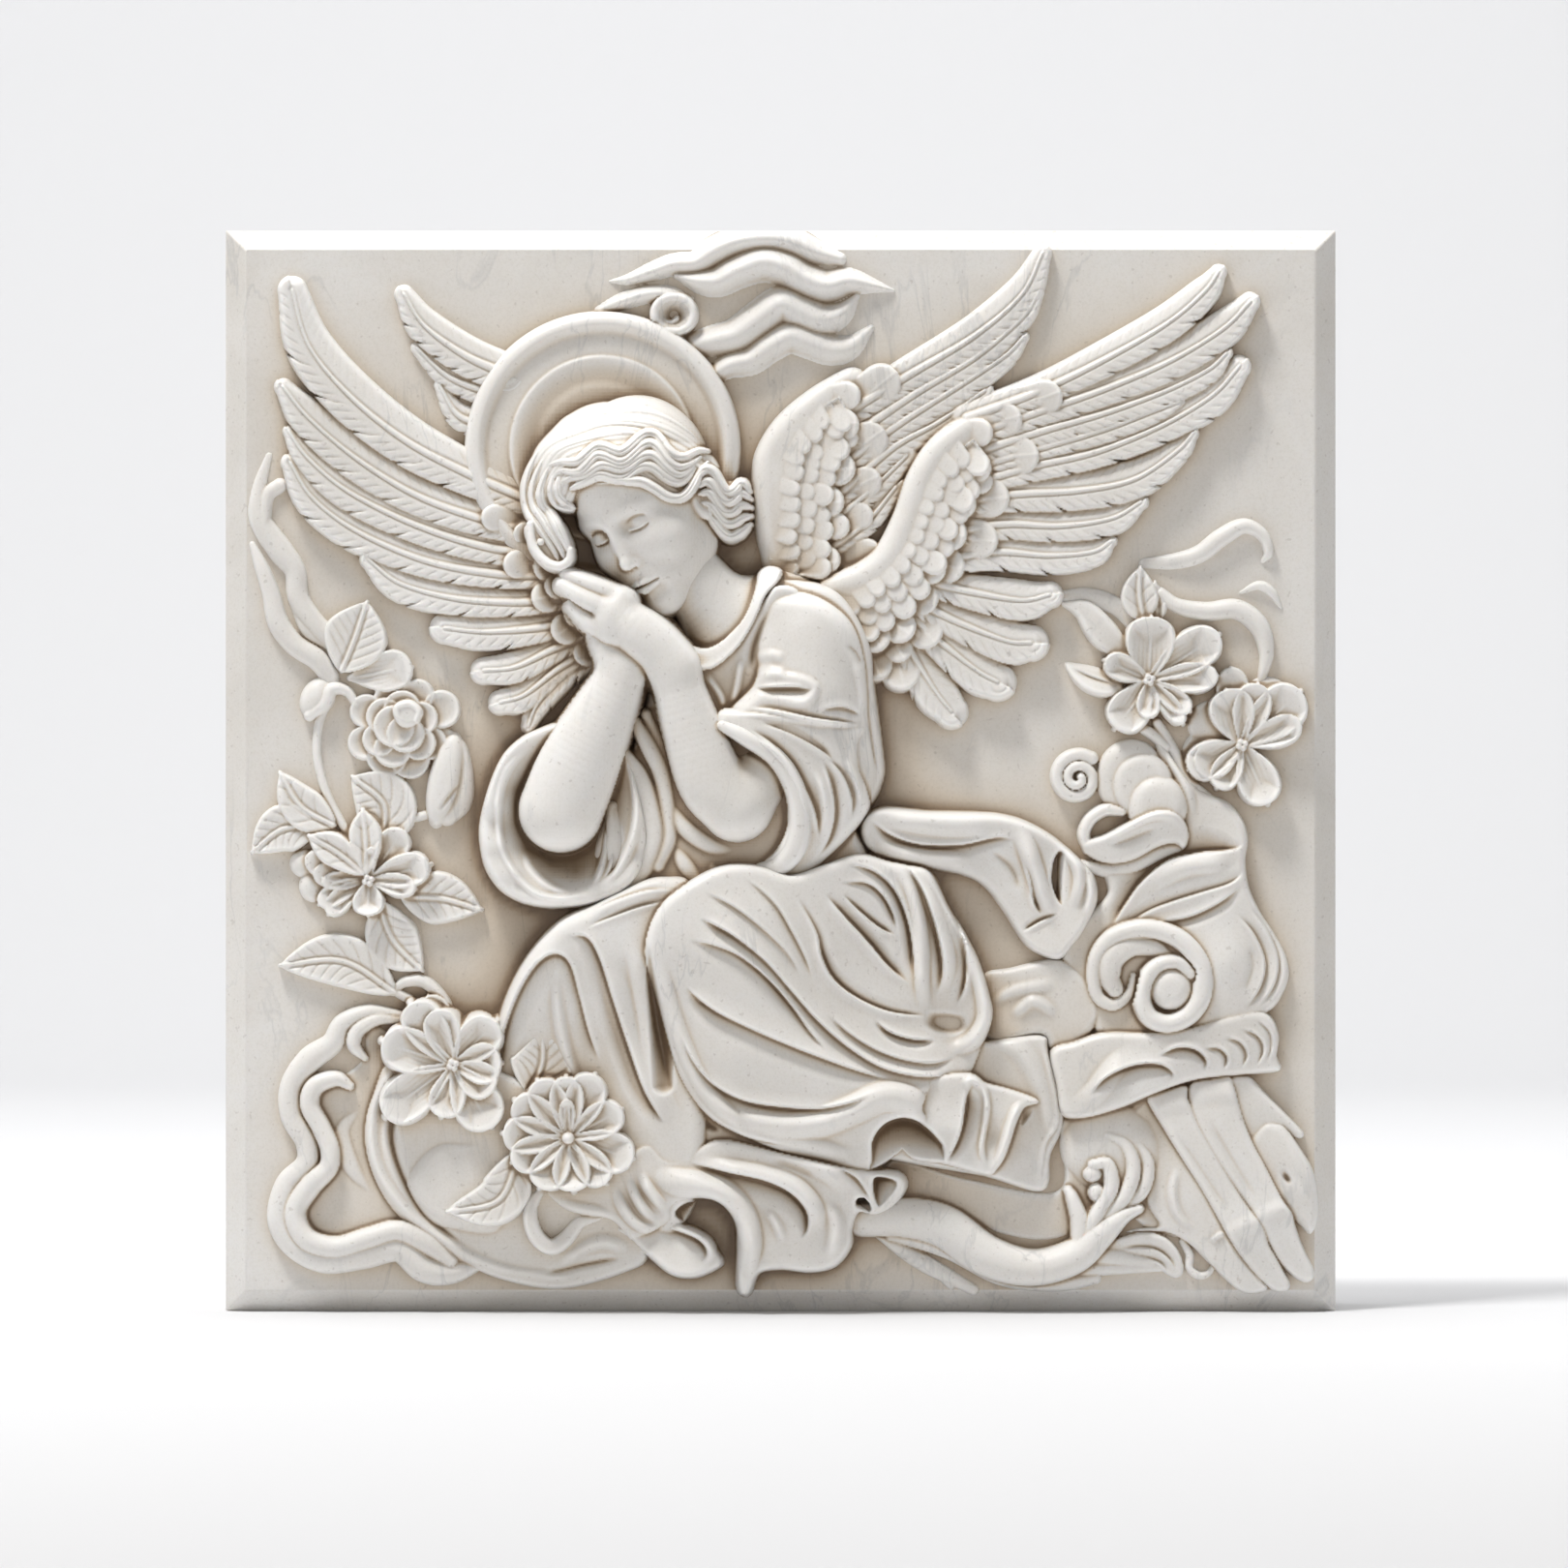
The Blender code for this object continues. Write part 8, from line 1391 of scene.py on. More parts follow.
    # cloth between the hem and the layer under it
    plate(c,
        [(-56, 122), (-44, 114), (-24, 104), (-6, 98), (6, 93), (-2, 85), (-24, 86), (-44, 92), (-58, 104)],
        [(-44, 106, 26), (-24, 95, 25), (-4, 91, 25)],
        [("valley", [(-50, 108, 3, 2), (-41, 103, 4, 5), (-32, 98, 3, 2)])], edge=5)
    # the small pointed turn under the lower flower
    stroke(c, [
        (-128, 68, 2.5, 18), (-134.5, 56, 3.6, 22), (-132, 43, 4, 23), (-124, 36, 4, 22), (-116, 40, 4, 20),
        (-108, 49, 3.4, 18), (-98, 52, 2.5, 16),
    ], edge=3)
    plate(c, [
        (-130, 66), (-118, 58), (-110, 52), (-114, 42), (-122, 34), (-132, 42), (-136, 56),
    ], [(-124, 50, 12)], edge=3)


def scarf(c):
    plate(c,
        [(44, 262), (54, 271), (80, 269), (105, 268.5), (120, 267), (132, 263.5), (146, 256), (158, 246),
         (168, 236), (170, 222), (164, 208), (157, 198), (150, 191), (140, 193.5), (131, 200), (120, 217),
         (110, 230), (98, 236.5), (75, 241), (50, 248)],
        [(50, 258, 21), (80, 262, 18), (110, 262, 16), (130, 258, 16), (146, 250, 13), (165, 232, 11),
         (130, 240, 11), (148, 198, 12), (90, 245, 13), (118, 224, 10), (60, 247, 17), (135, 210, 9),
         (162, 215, 12)],
        [("roll", [(46, 268, 3, 3), (64, 265, 5, 5), (86, 262.5, 6, 5), (108, 262.5, 6, 5),
             (126, 260, 4, 3)]),
         ("crease", [(47, 267, 3, 2), (58, 258, 6, 6), (74, 252.5, 8, 7), (96, 252, 8, 7), (116, 256, 6, 6),
             (127, 255, 3, 3)]),
         ("roll", [(46, 258, 3, 3), (58, 250, 4.5, 5), (76, 245.5, 5, 5), (98, 243, 5, 4),
             (112, 236, 4, 2)]),
         ("roll", [(124, 265, 3, 4), (131, 254, 5, 8), (136, 240, 5.2, 9), (141, 225, 4.8, 9),
             (148, 214.5, 3.6, 6), (153, 212, 2, 3)]),
         ("roll", [(146, 255, 3, 4), (156, 247, 3.6, 6), (160.5, 236, 3.4, 7), (159, 224, 3.2, 6),
             (154, 214, 2.4, 4)]),
         ("crease", [(150, 215, 2, 3), (140, 211, 4, 6), (130, 205, 4, 3)]),
         ("crease", [(141, 213, 2, 3), (137, 220, 4, 6), (134, 234, 4, 4), (130, 244, 3, 1)]),
         ("ridge", [(164, 238, 3, 1), (167, 226, 4, 3), (163, 212, 3, 2)]),
         ("valley", [(112, 250, 3, 1), (124, 240, 5, 3), (129, 226, 4, 1)])], edge=3.5)
    hollow(c,
        [(146.5, 244), (150, 250), (155, 247), (157.5, 238), (156, 226), (152, 217.5), (148.5, 221),
         (145.5, 232)],
        [(150, 244, 3), (150, 232, 4), (152, 222, 12)])


# Clouds and the lower corners

def right_clouds(c):
    # small scroll
    spiral(c, 160, 288, 13, 1.9, 55, 3.6, 8, 1, inner=2)
    # three lobes, each over the one behind
    dome(c, 189, 288, 19, 21, 7, base=1, edge=0.35)
    dome(c, 195, 284, 17, 18, 7, base=4, edge=0.35)
    dome(c, 203, 273, 16.5, 17, 9, base=6, edge=0.5)
    # the ribbon wrapped round them
    stroke(c, [
        (166, 250, 3, 6), (163.5, 258, 3, 7), (167, 266, 3, 8), (175, 271, 3, 8), (184, 270, 2, 7),
    ], base=3)
    plate(c,
        [(162, 252), (168, 245), (178, 242), (190, 244), (203, 251), (212, 253), (217, 250), (219.5, 256),
         (218, 263), (213, 269), (205, 271), (195, 268), (185, 262), (175, 257), (167, 255)],
        [(166, 250, 10), (190, 254, 15), (205, 263, 17), (216, 256, 13), (182, 247, 13)],
        [("roll", [(164, 253, 2.5, 2), (176, 257, 3, 4), (188, 263, 3, 4), (200, 268, 3, 4),
             (211, 267, 3, 4), (217, 260, 2.5, 3)]),
         ("valley", [(176, 251, 3, 1), (190, 256, 5, 3), (204, 262, 4, 1)])], edge=3.5)
    stroke(c, [
        (162, 242, 2, 3), (176, 238.5, 4, 6), (190, 241, 4, 7), (204, 248, 4, 7), (214, 251, 3, 5),
    ], base=2)
    # the broad body behind, with the two bands across it
    plate(c,
        [(203, 314), (208, 304), (214, 294), (222, 284.5), (232, 279), (242, 274), (249, 265), (251.5, 255),
         (250, 243), (252, 229), (258, 216), (266, 204), (272, 193), (274, 182), (270, 171), (262, 162),
         (240, 153), (200, 150), (172, 150), (167, 165), (158, 178), (152, 192), (160, 208), (176, 225),
         (176, 240), (205, 246), (216, 262), (212, 285), (203, 300)],
        [(208, 302, 5), (226, 272, 8), (246, 262, 9), (230, 255, 7), (195, 232, 9), (235, 238, 13),
         (210, 232, 12), (240, 210, 13), (264, 195, 8), (268, 180, 8), (245, 170, 15), (165, 195, 7),
         (180, 160, 8), (222, 212, 12), (240, 190, 18), (200, 178, 8), (190, 192, 9)],
        [("roll", [(205, 312, 2.5, 3), (211, 298, 3, 5), (217, 287, 3.5, 5), (221, 274, 3, 4),
             (221, 262, 2.5, 2)]),
         ("crease", [(251, 253, 5, 3), (243, 249.5, 10, 7), (226, 248, 15, 9), (209, 244, 16, 9),
             (195, 233, 14, 8), (185, 219, 10, 6), (177, 206, 5, 2)]),
         ("roll", [(250, 250, 3, 3), (236, 243, 5, 4), (218, 240, 5, 4), (203, 233, 5, 3),
             (190, 221, 4, 2)]),
         ("crease", [(251, 240, 4, 2), (243, 232, 7, 3.5), (228, 227, 8, 4), (212, 222, 8, 4),
             (198, 216.5, 6, 3), (184, 208, 4, 2)]),
         ("crease", [(196, 211.5, 4, 2), (208, 211, 6, 3.5), (222, 214, 7, 4.5), (237, 221.5, 7, 4.5),
             (249, 231, 4, 2)]),
         ("crease", [(257, 164, 3, 2), (266, 177, 4, 3), (268, 191, 4, 3), (262, 206, 4, 3),
             (251, 220, 3, 2)]),
         ("crease", [(249, 163, 4, 2), (258, 175, 5, 3.5), (261, 189, 5, 3.5), (255, 204, 5, 3.5),
             (245, 216, 3, 2)]),
         ("valley", [(252, 198, 4, 1), (254, 186, 5, 1.5), (249, 172, 4, 1)])])
    # great scroll
    stroke(c, [
        (190, 182, 1.5, 5), (187.5, 172, 2.6, 6), (179, 166, 3.2, 7), (170, 172, 3.6, 7),
        (169.5, 189, 4.2, 9), (177, 201, 4.8, 11), (190, 206.5, 5, 13), (204, 206, 5, 14),
        (217, 199.5, 5.2, 15), (226, 187, 5.4, 16), (226.5, 172, 5.4, 16), (220, 161, 5.2, 16),
        (209, 156, 5, 16), (199, 159, 4.8, 16), (194.5, 168, 4.6, 16), (196, 179, 4.4, 16),
        (203, 187.5, 4, 15), (213, 189, 3.6, 14), (220.5, 183, 3, 13),
    ], edge=5, base=6)
    dome(c, 210, 174.5, 11.5, 11.5, 13, base=8, edge=0.7)
    stroke(c, [
        (180, 174.5, 4.8, 10), (177, 181, 6, 12), (178.5, 191, 6.8, 13), (188, 197.5, 6, 13),
        (200, 197, 4.6, 12), (208, 193, 3, 10),
    ], edge=5.5, base=4)
    # the rolled cloud under it
    plate(c,
        [(146, 141), (158, 146), (175, 151), (200, 151), (222, 154), (240, 160), (256, 163), (264, 159),
         (268, 149), (267, 138), (269, 131), (256, 129), (238, 127.5), (220, 125), (200, 118), (182, 110.5),
         (164, 105.5), (152, 107), (149, 122)],
        [(155, 130, 14), (162, 112, 15), (190, 122, 17), (185, 143, 16), (215, 135, 17), (240, 140, 15),
         (260, 145, 12), (225, 128, 14)],
        [("crease", [(165, 116, 4, 2), (175, 127, 9, 7), (190, 133.5, 10, 9), (204, 134, 8, 8),
             (211, 129, 5, 6), (208, 124, 2, 2)]),
         ("crease", [(202, 138, 3, 2), (213, 143, 7, 7), (223, 142, 7, 8), (229, 136, 5, 6),
             (227, 129, 2, 2)]),
         ("crease", [(227, 143, 3, 2), (236, 142.5, 4, 5), (240.5, 137, 4, 5), (238, 130, 2, 2)]),
         ("crease", [(238, 149, 3, 2), (247, 146, 4, 4), (251, 139, 4, 4), (248, 131, 2, 2)]),
         ("crease", [(247, 154, 3, 2), (257, 149, 4, 4), (260, 141, 4, 4), (256, 132, 2, 2)]),
         ("crease", [(255, 159, 2, 2), (263, 152, 3, 3), (264.5, 143, 3, 3), (261, 134, 2, 1)]),
         ("roll", [(154, 108, 4, 2), (168, 118, 6, 4), (182, 135, 6, 3), (198, 143, 5, 2)])])


def right_corner(c):
    # low ground behind the scroll and the cloth
    plate(c,
        [(108, 180), (125, 186), (150, 190), (165, 180), (172, 160), (160, 145), (146, 142), (140, 150),
         (112, 148)],
        [(112, 170, 3), (135, 168, 7), (155, 170, 8), (150, 150, 7), (120, 152, 4)],
        [("ridge", [(113, 165, 4, 1.5), (125, 173, 5, 2), (150, 178, 5, 1.5)]),
         ("ridge", [(124, 158, 4, 1.5), (136, 168, 5, 3), (150, 160, 4, 1)])])
    plate(c,
        [(60, 82), (100, 72), (150, 66), (152, 104), (185, 108), (200, 116), (215, 90), (240, 50),
         (232, 38), (200, 44), (180, 56), (150, 40), (120, 42), (90, 56), (62, 62)],
        [(80, 68, 2), (120, 58, 3), (165, 90, 4), (190, 95, 5), (220, 60, 4), (150, 48, 3)])
    dome(c, 180, 88, 30, 26, 9, base=1, turn=-20)
    # the ground between the spray and the bands, with its lower lip
    plate(c,
        [(186, 43), (194, 45.5), (204, 47), (197, 60), (200, 80), (196, 98), (188, 111), (198, 118),
         (206, 104), (216, 86), (228, 66), (240, 44), (250, 28), (262, 14), (258, 11), (252, 10.5),
         (246, 13), (238, 20), (230, 28), (221, 36.5), (211, 42.5), (200, 44)],
        [(195, 105, 5), (205, 80, 7), (215, 60, 9), (228, 45, 9), (240, 30, 9), (255, 14, 8), (200, 46, 6)],
        [("ridge", [(214, 80, 3, 1), (211, 66, 4, 2.4), (214, 53, 4, 2), (224, 44, 3, 1)]),
         ("ridge", [(231, 38, 2, 1), (236, 42, 2.5, 2), (240, 43, 2, 1)]),
         ("valley", [(192, 103, 3, 1), (200, 84, 4, 1.5), (204, 76, 2, 1)])], edge=3)
    # the fin behind the bands, and the rounded tail over it
    plate(c,
        [(238, 122), (244, 127), (252, 127), (255, 124.5), (262, 117), (270, 109), (278, 101), (282, 96.5),
         (281, 94), (277, 94.5), (271, 99), (262, 100), (254, 90), (246, 104)],
        [(246, 122, 9), (256, 112, 9), (268, 105, 8), (279, 96, 6), (254, 96, 7)], edge=3)
    plate(c,
        [(256, 99), (261, 103), (266, 103), (271, 101), (275, 96), (280, 88), (286, 78), (288.5, 70),
         (290, 60), (289.5, 50), (286, 42), (281, 46), (275, 52), (266, 64), (256, 80), (252, 92)],
        [(258, 96, 9), (266, 98, 10), (274, 84, 11), (282, 66, 10), (286, 50, 7), (266, 72, 8),
         (288, 64, 7)], edge=5)
    add_dome(c, 272.5, 73, 5.5, 2.6, -4, turn=-58)
    # the broad bands across the corner, each with a knee near its end
    plate(c,
        [(221, 123), (232, 126), (242, 127), (244.5, 121), (246.5, 114), (250, 102), (255, 90), (261, 79),
         (270, 61), (275, 54), (276.5, 48), (279, 40), (283, 31), (287, 23), (287, 18.5), (284, 16.5),
         (280, 17.5), (274, 22), (268, 29), (263, 38), (259, 46), (252, 57), (244, 68), (234, 82),
         (226, 96), (220, 110)],
        [(226, 118, 11), (241, 121, 12), (236, 105, 13), (248, 84, 13), (258, 64, 13), (264, 52, 14.5),
         (272, 36, 11.5), (282, 22, 9), (246, 104, 12), (268, 60, 14)],
        [("ridge", [(220, 116, 7, 1), (235, 119, 8, 1.5), (250, 117, 7, 1)]),
         ("ridge", [(250, 47, 7, 1), (265, 55, 7, 1.5), (280, 61, 6, 1)]),
         ("valley", [(230, 106, 4, 1), (238, 92, 5, 1.4), (250, 72, 5, 1.2), (257, 60, 4, 1)])], edge=3.5)
    plate(c,
        [(197.5, 116.5), (208, 120), (218.5, 122), (219, 116), (222, 110), (226, 101), (232, 91), (240, 77),
         (250, 60), (257, 51), (261, 45), (263, 37), (267, 30), (271, 22), (274, 16), (274, 13),
         (271, 11.5), (266, 12), (258, 18), (252, 25), (246, 33), (240, 43), (232, 57), (225, 69),
         (215, 85), (207, 98), (201, 108)],
        [(204, 114, 11), (217, 117, 12), (214, 102, 13), (228, 82, 13.5), (240, 62, 13.5), (250, 48, 15),
         (256, 32, 12), (270, 15, 9), (222, 106, 13), (246, 62, 13.5)],
        [("ridge", [(193, 107, 7, 1), (210, 113, 8, 1.5), (226, 114, 7, 1)]),
         ("ridge", [(234, 39, 7, 1), (250, 47, 7, 1.5), (266, 53, 6, 1)]),
         ("valley", [(212, 98, 4, 1), (222, 84, 5, 1.4), (234, 66, 5, 1.2), (243, 53, 4, 1)])], edge=3.5)
    # the branch that ends in a hand-like spray
    for rows in (
        [(50, 52, 3, 4), (70, 36, 4, 4), (92, 14, 2, 3)],
        [(50, 45, 3, 4), (75, 28, 5, 6), (104, 12, 3, 4)],
        [(60, 42, 4, 8), (90, 34, 5, 9), (120, 20, 6, 8), (150, 16, 5, 6), (170, 18, 3, 4)],
        [(160, 30, 4, 6), (180, 30, 6, 7), (200, 26, 3, 5)],
        [(150, 22, 4, 6), (180, 24, 4, 5), (205, 24, 2, 4)],
    ):
        stroke(c, rows)
    # the fringe under the hand-like spray
    plate(c,
        [(176, 36), (188, 41.5), (198, 43), (207, 40.5), (213, 35), (216.5, 28), (217, 21), (213.5, 18.5),
         (209, 20), (203, 24), (195, 25.5), (186, 24.5), (176, 21)],
        [(185, 38, 6), (200, 38, 6), (213, 28, 5), (214, 20, 4), (190, 28, 4)],
        [("crease", [(214, 20, 2, 2), (210, 28, 3, 3), (203, 33.5, 4, 4), (194, 35, 4, 3),
             (182, 34, 3, 2)]),
         ("crease", [(210, 20.5, 2, 2), (204, 27, 3, 3), (195, 29, 3, 3), (182, 28, 2, 1)])], edge=2)
    stroke(c, [
        (217, 38, 2, 4), (220.5, 31, 2.2, 5), (220.5, 24, 2, 5), (225, 20, 2, 5), (230, 20.5, 1.8, 4),
        (233, 24, 1.5, 3),
    ])
    stroke(c, [
        (44, 50, 9, 13), (66, 51, 11, 15), (88, 46, 12, 16), (112, 30, 11, 17), (136, 24, 9.5, 17),
        (158, 30, 9, 17), (172, 42, 7.5, 16), (184, 52, 4, 14), (193, 56, 2.2, 11),
    ], base=2)
    stroke(c, [(162, 36, 5, 13), (161, 50, 4.5, 13), (157, 62, 3, 12), (155, 66, 2, 10)], base=2)
    stroke(c, [
        (166, 44, 5, 13), (172, 56, 4, 14), (178, 68, 4, 14), (176, 80, 3.5, 13), (168, 80, 2.5, 12),
    ], base=2)
    stroke(c, [
        (176, 52, 4, 12), (186, 64, 4, 13), (190, 78, 4, 12), (186, 90, 3.5, 10), (176, 96, 3, 8),
    ], base=2)
    stroke(c, [(184, 56, 3, 10), (195, 66, 3.5, 11), (198, 80, 3.5, 10), (192, 92, 3, 8)], base=1)
    dome(c, 168, 75, 5, 4.5, 12, base=2)
    dome(c, 170, 65, 4, 5, 12, base=2)


def left_corner(c):
    # low swells inside the ribbon
    plate(c,
        [(-222, 156), (-200, 140), (-160, 100), (-140, 60), (-160, 26), (-200, 34), (-240, 36), (-258, 52),
         (-256, 66), (-244, 80), (-242, 95), (-252, 108), (-244, 122), (-226, 136)],
        [(-230, 120, 2), (-235, 60, 2), (-215, 90, 3), (-190, 60, 6)], edge=5)
    stroke(c, [(-226, 110, 2, 1), (-236, 98, 4, 2), (-232, 80, 5, 3), (-222, 66, 3, 2)], base=1)
    # the bowl of cloud under the flowers
    plate(c,
        [(-205, 138), (-220, 116), (-224, 92), (-216, 66), (-200, 46), (-176, 30), (-150, 18), (-118, 13),
         (-84, 22), (-72, 32), (-80, 60), (-110, 100), (-150, 130)],
        [(-210, 110, 8), (-215, 80, 8), (-190, 50, 10), (-150, 26, 10), (-100, 24, 9), (-170, 80, 16),
         (-130, 70, 18), (-100, 45, 14)],
        [("ridge", [(-206, 136, 3, 2), (-219, 112, 5, 4), (-219, 84, 5, 4), (-206, 60, 5, 4),
             (-180, 38, 5, 3), (-150, 24, 4, 2), (-110, 18, 4, 2)]),
         ("valley", [(-204, 118, 3, 3), (-210, 98, 4, 6), (-205, 76, 4, 6), (-192, 54, 3, 4),
             (-170, 36, 3, 2)]),
         ("ridge", [(-120, 26, 4, 2), (-98, 38, 6, 4), (-80, 34, 5, 3)]),
         ("valley", [(-130, 20, 3, 2), (-105, 26, 4, 4), (-84, 30, 3, 3)])], edge=3)
    plate(c,
        [(-202, 70), (-197, 84), (-186, 94), (-172, 97), (-150, 98), (-132, 80), (-140, 58), (-152, 42),
         (-172, 43), (-190, 50)],
        [(-190, 75, 15), (-170, 85, 17), (-150, 60, 17), (-170, 60, 17)], edge=9)
    # the long ribbon: a soft outer roll and a higher inner one
    outer = [
        (-206, 160, 3, 4), (-222, 162, 4, 6), (-236, 156, 5, 7), (-242, 145, 6, 7), (-254, 136, 7, 7),
        (-264, 122, 6, 7), (-264, 106, 6, 7), (-256, 92, 6, 7), (-256, 80, 6, 7), (-266, 68, 7, 7),
        (-270, 50, 7, 8), (-262, 36, 7, 8), (-246, 28, 7, 9), (-226, 31, 8, 10), (-206, 35, 8, 11),
        (-192, 24, 8, 11), (-178, 22, 7, 9), (-164, 25, 3, 6),
    ]
    stroke(c, outer, base=1)
    stroke(c, [
        (-232, 122, 2, 6), (-240, 126, 4, 9), (-251, 122, 5, 10), (-254, 112, 5, 10), (-248, 100, 5, 10),
        (-243, 88, 5, 11), (-244, 78, 5, 11), (-254, 68, 6, 11), (-262, 54, 6, 11), (-256, 40, 6, 12),
        (-240, 35, 6, 12), (-222, 40, 6, 13), (-206, 44, 6, 13), (-190, 38, 7, 13), (-178, 28, 4, 10),
    ], base=1)
    stroke(c, [
        (-206, 158, 2, 5), (-218, 158, 3.5, 7), (-228, 152, 4, 8), (-230, 144, 3.5, 8), (-224, 137, 1.5, 5),
    ], base=1)


# Each subject in the order it is carved, the ones in front last
SUBJECTS = [
    ribbons, halo, left_wings, right_wings, left_corner, left_garden, right_garden, right_clouds,
    right_corner, back_cloth, lap, scarf, hem, upper_sleeve, head, hair, arms, hands, cuff_lip,
]

# The subjects' sheets: name, what is carved, lowest and highest corner, and the size of a cell
PIECES = [
    ("field", [], (FIELD_INSET - SHEET_WIDTH / 2, FIELD_INSET),
     (SHEET_WIDTH / 2 - FIELD_INSET, SHEET_HEIGHT - FIELD_INSET), 3.0),
    ("clouds_and_halo", [ribbons, halo], (-300, 300), (300, 584), 0.85),
    ("left_wing", [left_wings], (-285, 300), (-85, 570), 0.70),
    ("right_wing", [right_wings], (-25, 310), (270, 584), 0.75),
    ("left_corner", [left_corner], (-290, 0), (-60, 180), 0.85),
    ("left_flowers", [left_garden], (-300, 40), (-60, 400), 0.70),
    ("right_flowers", [right_garden], (140, 240), (300, 410), 0.70),
    ("right_clouds", [right_clouds, right_corner], (35, 0), (300, 320), 0.85),
    ("robe", [lap, scarf, hem], (-165, 0), (180, 280), 0.85),
    ("bodice_and_sleeve", [back_cloth, upper_sleeve], (-115, 220), (65, 425), 0.75),
    ("head_and_hair", [head, hair], (-150, 350), (0, 505), 0.50),
    ("arms_and_hands", [arms, cuff_lip, hands], (-170, 210), (60, 410), 0.65),
]


# Meshes

def to_rim(x, z):
    """How far a place is from the nearest edge of the sheet."""
    return np.minimum(SHEET_WIDTH / 2 - np.abs(x), np.minimum(z, SHEET_HEIGHT - z))


def ground(x, z):
    """The slab's own surface: flat, and falling away over the border."""
    return -BORDER_DROP / UNIT * np.clip(1 - to_rim(x, z) * UNIT / BORDER_WIDTH, 0, 1)


def lowest_near(grid, reach):
    """Each value replaced by the lowest of those around it."""
    low = np.pad(grid, reach, mode="edge")
    rows, columns = grid.shape
    shifts = range(2 * reach + 1)
    return np.min([low[j:j + rows, i:i + columns] for j in shifts for i in shifts], axis=0)


def blurred(grid, radius):
    """A soft average over about radius cells, made from three running means each way."""
    made = grid
    for _ in range(3):
        for axis in (0, 1):
            width = 2 * radius + 1
            ends = [(0, 0), (0, 0)]
            ends[axis] = (radius + 1, radius)
            total = np.cumsum(np.pad(made, ends, mode="edge"), axis=axis)
            made = (np.take(total, range(width, total.shape[axis]), axis=axis)
                    - np.take(total, range(total.shape[axis] - width), axis=axis)) / width
    return made


def whole_carving():
    """Every subject on one coarse sheet, to tell which parts of a subject lie hidden under the others."""
    sheet = Relief((-SHEET_WIDTH / 2, 0.0), (SHEET_WIDTH / 2, SHEET_HEIGHT), COARSE_CELL, -SUNK)
    for subject in SUBJECTS:
        subject(sheet)
    return sheet, lowest_near(sheet.height, 2)


def same_places(sheet, coarse):
    """The coarse sheet's cells that lie nearest to a sheet's own."""
    j, i = (np.clip(np.rint((own - other[0]) / coarse.cell).astype(int), 0, len(other) - 1)
            for own, other in ((sheet.z, coarse.z), (sheet.x, coarse.x)))
    return np.ix_(j, i)


def shade_and_highlight_depths(sheet, coarse, place):
    """How far each place lies under (up to 1) or over (down to -1) what is round it, near and far. The marble
    paints it as shade in the hollows and as highlight on the crests.
    """
    above = np.maximum(coarse.height, 0)
    near = blurred(sheet.height, max(1, round(1.2 / sheet.cell))) - sheet.height
    broad, wide, vast = (blurred(above, radius)[place] - sheet.height for radius in (2, 6, 16))
    # what each adds to the painted shade or the painted highlight: its depth, the depth that counts in full,
    # and its weight. The vast term is a painted shadow that darkens the field round the whole figure
    shade_depths = [(near, 1.2, 0.55), (broad, 7.0, 0.40), (wide, 18.0, 0.40), (vast - 1, 11.0, 0.40)]
    highlight_depths = [(-near, 0.8, 0.5), (-broad, 5.0, 0.3), (-wide, 14.0, 0.3)]
    hollow, painted_highlight = (sum(weight * np.clip(depth / full, 0, 1) for depth, full, weight in parts)
                     for parts in (shade_depths, highlight_depths))
    return np.clip(hollow, 0, 1) - np.clip(painted_highlight, 0, 1)


def linked(name, data):
    """A new object in the scene."""
    obj = bpy.data.objects.new(name, data)
    bpy.context.scene.collection.objects.link(obj)
    return obj


def carved_piece(name, carve, low, high, cell, coarse, floor_under):
    """One subject's sheet as a mesh, without the cells that lie under the slab or the other subjects."""
    sheet = Relief(low, high, cell, -SUNK if carve else FIELD_LIFT)
    for subject in carve:
        subject(sheet)
    height = sheet.height
    x, z = np.meshgrid(sheet.x, sheet.z)
    height[to_rim(x, z) < cell] = -SUNK
    place = same_places(sheet, coarse)
    shown = (height > ground(x, z) - 0.5) & (height > floor_under[place] - HIDDEN_DEPTH)
    cells = shown[:-1, :-1] | shown[1:, :-1] | shown[:-1, 1:] | shown[1:, 1:]
    # two triangles a cell, split along its flatter diagonal
    label = np.arange(height.size).reshape(height.shape)
    a, b = label[:-1, :-1][cells], label[:-1, 1:][cells]
    d, c = label[1:, :-1][cells], label[1:, 1:][cells]
    flat = height.ravel()
    rising = (np.abs(flat[a] - flat[c]) <= np.abs(flat[b] - flat[d]))[:, None]
    first = np.where(rising, np.column_stack([a, b, c]), np.column_stack([a, b, d]))
    second = np.where(rising, np.column_stack([a, c, d]), np.column_stack([b, c, d]))
    used, index = np.unique(np.vstack([first, second]), return_inverse=True)
    points = np.column_stack([x.ravel()[used] * UNIT, FRONT - flat[used] * UNIT, z.ravel()[used] * UNIT])
    mesh = bpy.data.meshes.new(name)
    mesh.from_pydata(np.clip(points, LOW, HIGH), [], index.reshape(-1, 3))
    mesh.shade_smooth()
    # each point's painted shade (above 0) or painted highlight (below 0), taken from its depth under or over
    # what is round it
    painted_shade_and_highlight = mesh.attributes.new("painted_shade_and_highlight", "FLOAT", "POINT")
    depth = shade_and_highlight_depths(sheet, coarse, place)
    painted_shade_and_highlight.data.foreach_set("value", depth.ravel()[used].astype(np.float32))
    return linked(name, mesh)


